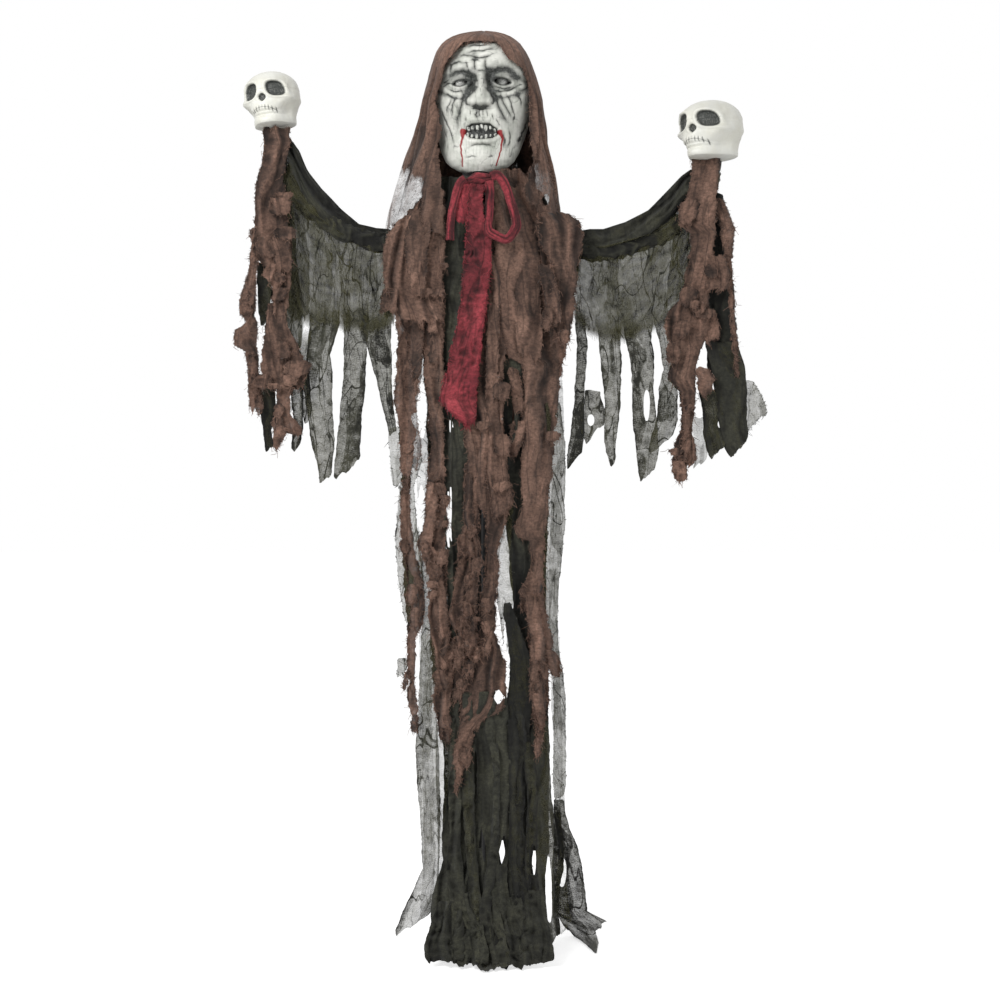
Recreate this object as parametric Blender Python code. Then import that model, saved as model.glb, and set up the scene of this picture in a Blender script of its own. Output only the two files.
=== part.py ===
"""Animated ghost figure: a masked, hooded figure on a pole, whose arms and head move.

Metres, +Z up, front at -Y. The origin is the centre of the base plate's underside.
Left and right are the figure's own, so its left arm points to +X.
"""

from math import acos, atan2, ceil, cos, exp, hypot, pi, radians, sin, tan

import bmesh
import bpy
import numpy as np
from mathutils import Matrix, Vector

# Clearances
SEAT_GAP = 0.0003
TURN_GAP = 0.0005
RUN_GAP = 0.0006
SLIDE_GAP = 0.0004
CUT_OVERRUN = 0.010
WELD = 0.000001

# Base plate and poles
BASE_RADIUS = 0.120
BASE_THICKNESS = 0.006
BASE_EDGE = 0.0015
SOCKET_WALL = 0.003
SOCKET_HEIGHT = 0.060
POLE_RADIUS = 0.011
POLE_WALL = 0.0012
LOWER_POLE_LENGTH = 0.440
MIDDLE_POLE_LENGTH = 0.440
UPPER_POLE_LENGTH = 0.440
SPIGOT_LENGTH = 0.045

# Spine bracket
BRACKET_WIDTH = 0.028
BRACKET_DEPTH = 0.026
BRACKET_SOCKET_DEPTH = 0.050
BRACKET_TO_PIVOT = 0.127
PIVOT_TO_FLANGE = 0.052
FLANGE_WIDTH = 0.056
FLANGE_DEPTH = 0.050
FLANGE_THICKNESS = 0.004

# Arm gears
GEAR_MODULE = 0.002
ARM_GEAR_TEETH = 30
PINION_TEETH = 10
TOOTH_WIDTH = 0.0024
TOOTH_ADDENDUM = 0.0016
TOOTH_DEDENDUM = 0.0023
TOOTH_SLOPE = 20
GEAR_THICKNESS = 0.008
GEAR_HUB_RADIUS = 0.012
GEAR_HUB_LENGTH = 0.014
GEAR_PIN_RADIUS = 0.003
LEFT_SECTOR = (138, 312)
RIGHT_SECTOR = (-42, 42)
ROD_SOCKET_RADIUS = 0.008
ROD_SOCKET_LENGTH = 0.060
ROD_SOCKET_START = 0.020
ROD_SOCKET_DEPTH = 0.040
GEAR_NECK_HEIGHT = 0.012
GEAR_NECK_THICKNESS = 0.006
GEAR_WEB_RADIUS = 0.010

# Gear case
CASE_PLATE = 0.003
CASE_HALF_WIDTH = 0.047
CASE_TOP = 0.035
CASE_BOTTOM = 0.062
CASE_CORNER = 0.006
POST_RADIUS = 0.0035
POST_INSET = 0.005

# Arm motor and pinion
ARM_MOTOR_RADIUS = 0.0115
ARM_MOTOR_LENGTH = 0.030
ARM_MOTOR_NOSE = 0.008
ARM_MOTOR_NOSE_LENGTH = 0.003
ARM_SHAFT_RADIUS = 0.002
SHAFT_TIP = 0.001

# Arm rods: bent steel rod, kinked at the socket's mouth
ARM_ROD_RADIUS = 0.004
ROD_LEAD = 0.005
ROD_KINK_RADIUS = 0.030
ARM_KINK = 5
ROD_RUN = 0.085
ROD_BEND_RADIUS = 0.250
ROD_BEND = 65
ROD_RISER = 0.035
ROD_END_RADIUS = 0.030
ROD_END = 25
ROD_NECK = 0.014
ROD_PEG = 0.050

# Sleeves over the rods
SLEEVE_RADIUS = 0.020
SLEEVE_WALL = 0.002
SLEEVE_START = 0.045
SLEEVE_SIDES = 8
SLEEVE_RINGS = 12
SLEEVE_PUCKER = 0.0015
SLEEVE_GATHER_shares = ((0.0, 0.0), (0.08, 1.0), (0.91, 1.0), (1.0, 0.0))

# Skulls
SKULL_WIDTH = 0.100
SKULL_DEPTH = 0.122
SKULL_HEIGHT = 0.116
SKULL_WALL = 0.003
SKULL_TURN = 32
SKULL_COLUMNS = 18
SKULL_LEVEL_shares = (1.0, 0.97, 0.89, 0.77, 0.64, 0.54, 0.45, 0.36, 0.27, 0.18, 0.08, 0.0)
SKULL_WIDTH_shares = (0.0, 0.38, 0.70, 0.92, 1.0, 0.98, 0.94, 0.88, 0.76, 0.69, 0.64, 0.54)
SKULL_FRONT_shares = (0.0, 0.38, 0.70, 0.90, 0.98, 0.96, 0.94, 0.95, 0.95, 0.92, 0.90, 0.80)
SKULL_BACK_shares = (0.0, 0.38, 0.70, 0.91, 1.0, 1.0, 0.96, 0.87, 0.74, 0.58, 0.46, 0.38)
SKULL_FRONT_share = 0.46
SKULL_SOCKET_DEPTH = 0.010
SKULL_SOCKET_RADIUS = 0.013
SKULL_NOSE_DEPTH = 0.006
SKULL_CHEEK = 0.006

# Torso shells
TORSO_WALL = 0.0025
TORSO_HALF_WIDTH = 0.104
TORSO_HALF_DEPTH = 0.060
TORSO_LENGTH = 0.318
TORSO_SQUARENESS = (2, 2, 2, 2, 3, 3, 3, 3, 2)
TORSO_COLUMNS = 14
TORSO_DROP_shares = (0.0, 0.014, 0.065, 0.15, 0.38, 0.66, 0.93, 0.985, 1.0)
TORSO_WIDTH_shares = (0.23, 0.52, 0.88, 1.0, 0.94, 0.80, 0.74, 0.62, 0.0)
TORSO_DEPTH_shares = (0.38, 0.66, 0.88, 1.0, 1.0, 1.0, 0.98, 0.80, 0.0)
ARM_SLOT_HALF_HEIGHT = 0.033
ARM_SLOT_MARGIN = 0.004
SHELL_SEAM = 0.0004

# Control box in the torso's back
BOX_WIDTH = 0.084
BOX_HEIGHT = 0.100
BOX_DEPTH = 0.046
BOX_PROUD = 0.006
BOX_WALL = 0.003
BOX_ABOVE_TORSO = 0.030
CELL_RADIUS = 0.00725
CELL_LENGTH = 0.0495
CELL_NUB_RADIUS = 0.0026
CELL_NUB = 0.0014
CELL_COUNT = 3
CELL_GAP = 0.0004
DOOR_THICKNESS = 0.0024
DOOR_MARGIN = 0.004
DOOR_GRIP = 0.0012
DOOR_GRIP_HEIGHT = 0.003
DOOR_GRIP_COUNT = 3
SPEAKER_RADIUS = 0.014
SPEAKER_DEPTH = 0.009
GRILLE_SLOT = 0.0018
GRILLE_SLOTS = 4
BOARD_WIDTH = 0.074
BOARD_THICKNESS = 0.0016
SWITCH_FROM_CENTRE = 0.029
SWITCH_SLOT_WIDTH = 0.014
SWITCH_SLOT_HEIGHT = 0.0056
SWITCH_WIDTH = 0.007
SWITCH_PROUD = 0.0022
BUTTON_RADIUS = 0.006
BUTTON_PROUD = 0.004
BUTTON_FLANGE = 0.0015
BUTTON_FLANGE_THICKNESS = 0.0015
BUTTON_TRAVEL = 0.0025

# Neck motor and head hub
NECK_MOTOR_WIDTH = 0.046
NECK_MOTOR_DEPTH = 0.040
NECK_MOTOR_HEIGHT = 0.040
NECK_MOTOR_BEVEL = 0.002
NECK_BOSS_RADIUS = 0.009
NECK_BOSS_HEIGHT = 0.004
NECK_SHAFT_RADIUS = 0.004
NECK_SHAFT_LENGTH = 0.018
HUB_RADIUS = 0.040
HUB_THICKNESS = 0.005
HUB_BOSS_RADIUS = 0.010
HUB_BOSS_HEIGHT = 0.020

# Head and mask
CHIN_ABOVE_HUB = 0.051
FACE_WIDTH = 0.204
FACE_HEIGHT = 0.260
FACE_DEPTH = 0.086
HEAD_BACK = 0.096
HEAD_FRONT = 0.040
HEAD_OFFSET = -0.008
HEAD_LEAN = 3
NECK_RADIUS = 0.036
FORMER_WALL = 0.003
FORMER_INSET = 0.0008
JAW_share = 0.36
FORMER_COLUMNS = 16
MASK_WALL = 0.0025
MASK_COLUMNS = 20
MASK_ROW_COUNTS = (2, 3, 4, 4, 4, 3, 2)
CHIN_RIM_FORWARD = 0.045
CHIN_RIM_share = 0.3
FACE_HEIGHT_shares = (0.0, 0.08, 0.20, 0.36, 0.55, 0.73, 0.90, 1.0)
FACE_WIDTH_shares = (0.24, 0.44, 0.67, 0.87, 1.0, 0.98, 0.82, 0.52)
FACE_DEPTH_shares = (0.78, 0.88, 0.93, 0.92, 0.98, 1.0, 0.92, 0.64)
NOSE_LENGTH_share = 0.22
NOSE_TIP_share = 0.55
NOSE_HEIGHT = 0.024
NOSE_HALF_WIDTH = 0.017
EYE_HEIGHT_share = 0.705
EYE_SPACING = 0.0455
EYE_RADIUS = 0.013
EYE_SINK = 0.0006
EYE_SOCKET_DEPTH = 0.012
EYE_SOCKET_SIZE = 0.024
EYE_OPENING_COLUMNS = 2
BROW_share = 0.81
BROW_HEIGHT = 0.007
CHEEK_share = 0.53
CHEEK_SPACING = 0.058
CHEEK_HEIGHT = 0.007
MOUTH_share = 0.32
MOUTH_DEPTH = 0.010
MOUTH_HALF_WIDTH = 0.032
CHIN_share = 0.10
CHIN_HEIGHT = 0.006
FEATURE_SIZE_share = 0.07

# Cloth
CLOTH = 0.002
SLIT_share = 0.10
TIP_share = 0.62
TIP_ZIGZAG = 0.018
FLOOR_CLEARANCE = 0.003

# Hood, by distance under its crown
HOOD_RISE = 0.014
HOOD_COLUMNS = 20
HOOD_TO_FACE_share = 0.79411765
HOOD_HALF_WIDTH = HOOD_TO_FACE_share * FACE_WIDTH
HOOD_BACK_DEPTH = 0.114
HOOD_LENGTH = 0.380
HOOD_DROP_shares = (0.0, 0.008, 0.032, 0.084, 0.176, 0.34, 0.52, 0.70, 0.86, 1.0)
HOOD_WIDTH_shares = (0.0, 0.21, 0.41, 0.56, 0.665, 0.715, 0.77, 0.86, 0.94, 1.0)
HOOD_BACK_shares = (0.0, 0.28, 0.58, 0.80, 0.94, 1.0, 1.0, 0.97, 0.93, 0.90)
HOOD_FRONT_shares = (0.0, 0.30, 0.60, 0.62, 0.40, 0.36, 0.36, 0.40, 0.44, 0.46)
HOOD_FACE_HALF_ANGLE = 81
HOOD_STRIP_END_shares = (0.86, 0.97, 1.0, 0.98, 0.84)

# Gown and robe: collar, then half width and half depth by distance under the collar
COLLAR_ABOVE_FLANGE = 0.046
COLLAR_RADIUS = 0.040
ROBE_COLLAR_RISE = 0.020
ROBE_STANDOFF = 0.014
ROBE_REST = 0.0038
GOWN_HALF_WIDTH = 0.146
GOWN_HALF_DEPTH = 0.104
GOWN_REST = 0.0032
GOWN_ARM_DROP = 0.130
GOWN_CHEST_DROP = 0.200
GOWN_WAIST_DROP = 0.330
GOWN_HIP_DROP = 0.500
GOWN_NECK_SLOPE_share = 0.70
GOWN_WIDTH_shares = (0.875, 0.89, 1.03, 1.06, 1.03, 1.0)
GOWN_DEPTH_shares = (0.82, 0.84, 0.87, 0.93, 1.0, 1.05)
GOWN_FLARE = 0.014
GOWN_FLARE_HEIGHT = 0.160
FOLD_DEPTH = 0.004
FOLD_COUNT = 9
ARMHOLE_ANGLE = 52
SEAM_ANGLE = 89.8
GOWN_STRIP_FLOOR = (0.030, 0.010, 0.020, 0.060, 0.020, -0.020, 0.120)
GOWN_BACK_FLOOR = (0.050, -0.040, 0.020, -0.030, 0.040, -0.010, 0.070)
ROBE_FRONT_ENDS = (1.080, 1.100, 1.020, 1.200, 1.110, 0.970)
ROBE_BACK_ENDS = (0.970, 1.110, 1.000, 1.090, 0.990, 1.070)

# Each strip's foot: angle of its middle from the panel's, and half angle
LEAN_LENGTH_share = 0.4
GOWN_FRONT_FEET = ((-66, 7), (-47, 7), (-20, 12), (4, 11), (27, 11), (50, 11), (76, 10))
GOWN_BACK_FEET = ((-74, 9), (-50, 10), (-29.5, 9), (-2, 8), (19, 9), (46, 12), (73, 9))
ROBE_FRONT_FEET = ((-76, 8), (-40, 10), (-14.5, 6), (3.5, 9), (35, 9), (55, 8))
ROBE_BACK_FEET = ((-46, 8), (-27, 7), (2.5, 6.5), (16.5, 6.5), (38, 8.5), (75, 9))

# Shoulder rags
RAG_START = 0.151
RAG_WIDTH = 0.056
RAG_FRONT_DROPS = (0.110, 0.135, 0.120, 0.095, 0.125)
RAG_BACK_DROPS = (0.090, 0.110, 0.120, 0.100, 0.085)
RAG_FLARE_share = 0.12

# Wings and arm-end rags
WING_START_share = 0.10
WING_END_share = 0.80
WING_BAND = 0.130
WING_ENDS = (0.270, 0.370, 0.300, 0.420, 0.330, 0.470, 0.400)
WING_FOLD = 0.006
TASSEL_ANGLE = 118
TASSEL_RADIUS = 0.056
TASSEL_BAND = 0.150
TASSEL_ENDS = (0.450, 0.560, 0.500, 0.570, 0.480)
TASSEL_DROP_shares = (0.0, 0.01, 0.03, 0.07, 0.18, 0.5, 1.0)
TASSEL_RADIUS_shares = (0.0, 0.0, 0.30, 0.50, 0.70, 0.92, 1.0)
TASSEL_BELOW_SKULL = 0.0005

# Scarf
SCARF_THICKNESS = 0.008
SCARF_FRONT = 0.088
SCARF_LOOP_DEPTH = 0.010
KNOT_OFFSET = -0.016
KNOT_HALF_WIDTH = 0.017
KNOT_HALF_DEPTH = 0.016
KNOT_HALF_HEIGHT = 0.017
LEFT_LOOP_WIDTH = 0.058
LEFT_LOOP_HEIGHT = 0.112
RIGHT_LOOP_WIDTH = 0.034
RIGHT_LOOP_HEIGHT = 0.116
LOOP_AHEAD = 0.022
LOOP_END_share = 0.5
LOOP_ROLL_share = 0.85
LEFT_LOOP_shares = ((0.0, 0.09), (0.4, 0.12), (0.82, -0.02), (1.0, -0.34), (0.96, -0.68), (0.72, -0.94),
                    (0.44, -0.92), (0.28, -0.64), (0.30, -0.22), (0.0, -0.10))
RIGHT_LOOP_shares = ((0.0, 0.06), (0.36, 0.05), (0.78, -0.14), (1.0, -0.5), (0.98, -0.94), (0.62, -1.0),
                     (0.46, -0.7), (0.42, -0.32), (0.30, -0.14), (0.0, -0.10))
TAIL_LENGTH = 0.450
TAIL_TOP_WIDTH = 0.034
TAIL_WIDTH = 0.072
TAIL_DRIFT = -0.036
TAIL_COLUMNS = 4
TAIL_STANDOFF = 0.003
TAIL_FOLD = 0.0025

# Heights and places worked out from the sizes above
POLE_FOOT = BASE_THICKNESS + SEAT_GAP
MIDDLE_POLE_FOOT = POLE_FOOT + LOWER_POLE_LENGTH + SEAT_GAP
UPPER_POLE_FOOT = MIDDLE_POLE_FOOT + MIDDLE_POLE_LENGTH + SEAT_GAP
POLE_TOP = UPPER_POLE_FOOT + UPPER_POLE_LENGTH
BRACKET_FOOT = POLE_TOP + SEAT_GAP - BRACKET_SOCKET_DEPTH
PIVOT_Z = BRACKET_FOOT + BRACKET_TO_PIVOT
FLANGE_Z = PIVOT_Z + PIVOT_TO_FLANGE
NECK_MOTOR_Z = FLANGE_Z + FLANGE_THICKNESS + SEAT_GAP
HUB_Z = NECK_MOTOR_Z + NECK_MOTOR_HEIGHT + NECK_BOSS_HEIGHT + RUN_GAP
NECK_Z = HUB_Z + HUB_THICKNESS + SEAT_GAP
CHIN_Z = HUB_Z + CHIN_ABOVE_HUB
CROWN_Z = CHIN_Z + FACE_HEIGHT + HOOD_RISE
GEAR_PITCH_RADIUS = GEAR_MODULE * ARM_GEAR_TEETH / 2
PINION_PITCH_RADIUS = GEAR_MODULE * PINION_TEETH / 2
PIVOT_X = GEAR_PITCH_RADIUS
PINION_Z = PIVOT_Z - GEAR_PITCH_RADIUS - PINION_PITCH_RADIUS
CASE_REAR_Y = -BRACKET_DEPTH / 2 - SEAT_GAP
CASE_INNER_Y = CASE_REAR_Y - CASE_PLATE
ARM_Y = CASE_INNER_Y - RUN_GAP - GEAR_HUB_LENGTH / 2
CASE_FRONT_INNER_Y = ARM_Y - GEAR_HUB_LENGTH / 2 - RUN_GAP
CASE_FRONT_Y = CASE_FRONT_INNER_Y - CASE_PLATE
SOCKET_MOUTH_X = PIVOT_X + ROD_SOCKET_START + ROD_SOCKET_LENGTH
TORSO_TOP_Z = FLANGE_Z - SEAT_GAP
TORSO_BOTTOM_Z = TORSO_TOP_Z - TORSO_LENGTH
BOX_BACK_Y = TORSO_HALF_DEPTH + BOX_PROUD
BOX_FRONT_Y = BOX_BACK_Y - BOX_DEPTH
BOX_BOTTOM_Z = TORSO_BOTTOM_Z + BOX_ABOVE_TORSO
GOWN_COLLAR_Z = FLANGE_Z + COLLAR_ABOVE_FLANGE
ROBE_COLLAR_Z = GOWN_COLLAR_Z + ROBE_COLLAR_RISE
GOWN_SHOULDER_DROP = COLLAR_ABOVE_FLANGE + SEAT_GAP + TORSO_LENGTH * TORSO_DROP_shares[2]
SCARF_REACH = COLLAR_RADIUS + ROBE_STANDOFF + SCARF_THICKNESS + RUN_GAP


def clear_scene():
    for thing in list(bpy.data.objects):
        bpy.data.objects.remove(thing)


def material(name, colour, roughness, metallic=0.0):
    made = bpy.data.materials.new(name)
    made.use_nodes = True
    shader = made.node_tree.nodes["Principled BSDF"]
    shader.inputs["Base Color"].default_value = (*colour, 1.0)
    shader.inputs["Roughness"].default_value = roughness
    shader.inputs["Metallic"].default_value = metallic
    return made


def make_materials():
    return {
        "black_steel": material("black_steel", (0.03, 0.03, 0.03), 0.45, 0.6),
        "bright_steel": material("bright_steel", (0.55, 0.55, 0.56), 0.3, 1.0),
        "grey_plastic": material("grey_plastic", (0.22, 0.22, 0.23), 0.5),
        "gear_plastic": material("gear_plastic", (0.72, 0.70, 0.62), 0.45),
        "black_plastic": material("black_plastic", (0.025, 0.025, 0.025), 0.5),
        "red_plastic": material("red_plastic", (0.55, 0.03, 0.03), 0.4),
        "board_green": material("board_green", (0.02, 0.16, 0.06), 0.5),
        "cell_wrap": material("cell_wrap", (0.08, 0.08, 0.09), 0.35, 0.3),
        "mask_latex": material("mask_latex", (0.72, 0.72, 0.66), 0.65),
        "skull_plastic": material("skull_plastic", (0.83, 0.83, 0.77), 0.6),
        "eye_white": material("eye_white", (0.85, 0.85, 0.80), 0.2),
        "brown_gauze": material("brown_gauze", (0.155, 0.082, 0.064), 0.95),
        "black_gauze": material("black_gauze", (0.02, 0.022, 0.019), 0.9),
        "red_gauze": material("red_gauze", (0.21, 0.024, 0.036), 0.9),
    }


def new_object(name, mesh, finish, smooth_angle=35):
    thing = bpy.data.objects.new(name, mesh)
    bpy.context.scene.collection.objects.link(thing)
    if not mesh.materials:
        mesh.materials.append(finish)
    mesh.shade_smooth()
    mesh.set_sharp_from_angle(angle=radians(smooth_angle))
    return thing


def mesh_object(name, build, finish):
    """A new object whose mesh is made by build(bm)."""
    bm = bmesh.new()
    build(bm)
    bmesh.ops.remove_doubles(bm, verts=bm.verts, dist=WELD)
    bmesh.ops.recalc_face_normals(bm, faces=bm.faces)
    mesh = bpy.data.meshes.new(name)
    bm.to_mesh(mesh)
    bm.free()
    return new_object(name, mesh, finish)


def place(thing, location=(0, 0, 0), rotation=(0, 0, 0)):
    thing.location = location
    thing.rotation_euler = rotation
    return thing


def carry(parent, *things):
    """Parent things to parent and leave them where they are."""
    bpy.context.view_layer.update()
    for thing in things:
        thing.parent = parent
        thing.matrix_parent_inverse = parent.matrix_world.inverted()


def empty_at(name, location, rotation=(0, 0, 0)):
    empty = bpy.data.objects.new(name, None)
    bpy.context.scene.collection.objects.link(empty)
    return place(empty, location, rotation)


def combine(target, pieces, operation):
    for piece in pieces:
        piece.hide_render = True
        piece.display_type = "WIRE"
        step = target.modifiers.new(piece.name, "BOOLEAN")
        step.operation = operation
        step.object = piece
        step.solver = "EXACT"
    return target


def cut(target, *cutters):
    return combine(target, cutters, "DIFFERENCE")


def join(target, *pieces):
    return combine(target, pieces, "UNION")


def one_cutter(name, *things):
    """Several plain bodies as one object, so that they cut in a single step."""
    bpy.context.view_layer.update()
    bm = bmesh.new()
    for thing in things:
        before = set(bm.verts)
        bm.from_mesh(thing.data)
        added = [vert for vert in bm.verts if vert not in before]
        bmesh.ops.transform(bm, matrix=thing.matrix_world, verts=added)
        bpy.data.objects.remove(thing)
    mesh = bpy.data.meshes.new(name)
    bm.to_mesh(mesh)
    bm.free()
    cutter = bpy.data.objects.new(name, mesh)
    bpy.context.scene.collection.objects.link(cutter)
    return cutter


def turned(name, profile, finish, steps=24):
    """Spin a profile of (radius, height) points round Z."""
    def build(bm):
        points = [bm.verts.new((radius, 0, height)) for radius, height in profile]
        edges = [bm.edges.new(pair) for pair in zip(points, points[1:])]
        bmesh.ops.spin(bm, geom=points + edges, cent=(0, 0, 0), axis=(0, 0, 1), angle=2 * pi, steps=steps)
    return mesh_object(name, build, finish)


def closed_profile(points):
    return [*points, points[0]]


def rod(name, radius, length, finish, steps=24):
    return turned(name, [(0, 0), (radius, 0), (radius, length), (0, length)], finish, steps)


def box(name, lows, highs, finish):
    def build(bm):
        bmesh.ops.create_cube(bm, size=1)
        size = Vector(highs) - Vector(lows)
        middle = (Vector(highs) + Vector(lows)) / 2
        bmesh.ops.transform(bm, matrix=Matrix.Translation(middle) @ Matrix.Diagonal((*size, 1)), verts=bm.verts)
    return mesh_object(name, build, finish)


def bevelled(thing, width):
    step = thing.modifiers.new("soft_edges", "BEVEL")
    step.width = width
    step.segments = 1
    return thing


def slab(name, outline, rear_y, front_y, finish):
    """An outline of (x, z) points, extruded along Y from rear_y to front_y."""
    def build(bm):
        face = bm.faces.new([bm.verts.new((x, rear_y, z)) for x, z in outline])
        grown = bmesh.ops.extrude_face_region(bm, geom=[face])
        moved = [item for item in grown["geom"] if isinstance(item, bmesh.types.BMVert)]
        bmesh.ops.translate(bm, verts=moved, vec=(0, front_y - rear_y, 0))
    return mesh_object(name, build, finish)


def cross_pin(name, radius, rear_y, front_y, x, z, finish, steps=16):
    """A round bar along Y."""
    pin = rod(name, radius, rear_y - front_y, finish, steps)
    return place(pin, (x, rear_y, z), (pi / 2, 0, 0))


def read_table(places, values, where):
    return float(np.interp(where, places, values))


# Thin closed solids over a grid of (u, v)

def surface_normal(surface, u, v, u_step, v_step):
    across = surface(u + u_step, v) - surface(u - u_step, v)
    down = surface(u, v + v_step) - surface(u, v - v_step)
    return across.cross(down)


def thin_solid(name, faces, surface, wall, finish, outward=1, steps=(0.01, 0.0005), pole_normal=(0, 0, 1)):
    """Give a surface a wall on its inner side. A face is a loop of (label, u, v) keys."""
    def build(bm):
        outer = {}
        inner = {}
        for key in {key for face in faces for key in face}:
            _, u, v = key
            point = surface(u, v)
            if key[0] == "pole":
                normal = Vector(pole_normal)
            else:
                normal = surface_normal(surface, u, v, *steps).normalized() * outward
            outer[key] = bm.verts.new(point)
            inner[key] = bm.verts.new(point - normal * wall)
        edges = {pair for face in faces for pair in zip(face, face[1:] + face[:1])}
        for face in faces:
            bm.faces.new([outer[key] for key in face])
            bm.faces.new([inner[key] for key in reversed(face)])
        for start, end in edges:
            if (end, start) not in edges:
                bm.faces.new((outer[end], outer[start], inner[start], inner[end]))
    return mesh_object(name, build, finish)


def grid_faces(us, vs, closed=False, pole=False, missing=()):
    """Faces of a plain grid. The first row is one point where pole is set."""
    def key(column, row):
        if pole and row == 0:
            return ("pole", 0.0, vs[0])
        return ("grid", us[0] if closed and column == len(us) - 1 else us[column], vs[row])

    faces = []
    for column in range(len(us) - 1):
        for row in range(len(vs) - 1):
            if (column, row) in missing:
                continue
            loop = [key(column, row), key(column + 1, row), key(column + 1, row + 1), key(column, row + 1)]
            faces.append([item for place_in, item in enumerate(loop) if item not in loop[:place_in]])
    return faces


def strip_faces(us, top, strips, rows, zigzag=TIP_ZIGZAG, feet=None):
    """Strips that hang from a row of keys at v = top. Each is (first column, last column, end v).

    feet, where given, is the middle and half width that each strip has soon under its top.
    """
    faces = []
    for number, (first, last, end) in enumerate(strips):
        middle = (us[first] + us[last]) / 2
        half = (us[last] - us[first]) / 2
        foot = feet[number] if feet else (middle, TIP_share * (1 - SLIT_share) * half)

        def key(column, row, number=number, middle=middle, half=half, foot=foot, end=end):
            if row == 0:
                return ("grid", us[column], top)
            share = row / rows
            settled = min(1.0, share / LEAN_LENGTH_share) if feet else share
            reach = (1 - SLIT_share) * half * (1 - settled) + foot[1] * settled
            place = middle + (foot[0] - middle) * settled
            jag = zigzag * (column % 2) * (row == rows)
            return (number, place + (us[column] - middle) / half * reach, top + (end - jag - top) * share)

        for column in range(first, last):
            for row in range(rows):
                faces.append([key(column, row), key(column + 1, row), key(column + 1, row + 1),
                              key(column, row + 1)])
    return faces


def even_strips(ends, columns_each):
    return [(number * columns_each, (number + 1) * columns_each, end) for number, end in enumerate(ends)]


def swept(name, points, radii, across, finish, sides=10, closed=False, bores=None, across_share=1.0):
    """A tube along points. radii has one radius a point; bores, where given, makes it hollow."""
    across = Vector(across).normalized()
    count = len(points)

    def ring(bm, index, radius):
        if closed:
            ahead, behind = points[(index + 1) % count], points[index - 1]
        else:
            ahead, behind = points[min(index + 1, count - 1)], points[max(index - 1, 0)]
        along = (ahead - behind).normalized()
        side = across.cross(along).normalized()
        flat = along.cross(side).normalized()
        turns = [2 * pi * step / sides for step in range(sides)]
        return [bm.verts.new(points[index] + radius * (cos(turn) * side + across_share * sin(turn) * flat))
                for turn in turns]

    def skin(bm, rings, ends):
        for near, far in ends:
            for step in range(sides):
                after = (step + 1) % sides
                bm.faces.new((rings[near][step], rings[near][after], rings[far][after], rings[far][step]))

    def build(bm):
        spans = [(index, (index + 1) % count) for index in range(count if closed else count - 1)]
        outer = [ring(bm, index, radii[index]) for index in range(count)]
        skin(bm, outer, spans)
        if bores:
            inner = [ring(bm, index, bores[index]) for index in range(count)]
            skin(bm, inner, spans)
            for end in (0, count - 1):
                for step in range(sides):
                    after = (step + 1) % sides
                    bm.faces.new((outer[end][step], outer[end][after], inner[end][after], inner[end][step]))
        elif not closed:
            bm.faces.new(outer[0])
            bm.faces.new(outer[-1])
    return mesh_object(name, build, finish)


# Base, poles and bracket

def make_base(finish):
    socket_inner = POLE_RADIUS + SEAT_GAP
    socket_outer = socket_inner + SOCKET_WALL
    socket_top = BASE_THICKNESS + SOCKET_HEIGHT
    profile = [(0, 0), (BASE_RADIUS, 0), (BASE_RADIUS, BASE_THICKNESS - BASE_EDGE),
               (BASE_RADIUS - BASE_EDGE, BASE_THICKNESS), (socket_outer, BASE_THICKNESS),
               (socket_outer, socket_top), (socket_inner, socket_top), (socket_inner, BASE_THICKNESS),
               (0, BASE_THICKNESS)]
    return turned("base_plate", profile, finish, 36)


def make_pole(name, foot, length, finish, spigot=True):
    """A tube. Its top is swaged down to a spigot that plugs into the next one."""
    bore = POLE_RADIUS - POLE_WALL
    top = foot + length
    if not spigot:
        profile = [(POLE_RADIUS, foot), (POLE_RADIUS, top), (bore, top), (bore, foot)]
        return turned(name, closed_profile(profile), finish, 16)
    spigot_radius = bore - SEAT_GAP
    spigot_bore = spigot_radius - POLE_WALL
    profile = [(POLE_RADIUS, foot), (POLE_RADIUS, top), (spigot_radius, top),
               (spigot_radius, top + SPIGOT_LENGTH), (spigot_bore, top + SPIGOT_LENGTH),
               (spigot_bore, top - POLE_RADIUS), (bore, top - 2 * POLE_RADIUS), (bore, foot)]
    return turned(name, closed_profile(profile), finish, 16)


def make_bracket(finish):
    column = box("spine_bracket", (-BRACKET_WIDTH / 2, -BRACKET_DEPTH / 2, BRACKET_FOOT),
                 (BRACKET_WIDTH / 2, BRACKET_DEPTH / 2, FLANGE_Z + FLANGE_THICKNESS / 2), finish)
    flange = box("bracket_flange", (-FLANGE_WIDTH / 2, -FLANGE_DEPTH / 2, FLANGE_Z),
                 (FLANGE_WIDTH / 2, FLANGE_DEPTH / 2, FLANGE_Z + FLANGE_THICKNESS), finish)
    bore = rod("bracket_bore", POLE_RADIUS + SEAT_GAP, BRACKET_SOCKET_DEPTH + CUT_OVERRUN, finish)
    place(bore, (0, 0, BRACKET_FOOT - CUT_OVERRUN))
    join(column, flange)
    return cut(column, bore)


# Arm gears, case and motor

def tooth_points(teeth, centre):
    """The four corners of one tooth, as (radius, angle), going up in angle."""
    pitch_radius = GEAR_MODULE * teeth / 2
    corners = []
    for side, reach in ((-1, -TOOTH_DEDENDUM), (-1, TOOTH_ADDENDUM), (1, TOOTH_ADDENDUM), (1, -TOOTH_DEDENDUM)):
        half_width = TOOTH_WIDTH / 2 - reach * tan(radians(TOOTH_SLOPE))
        radius = pitch_radius + reach
        corners.append((radius, centre + side * half_width / radius))
    return corners


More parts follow.
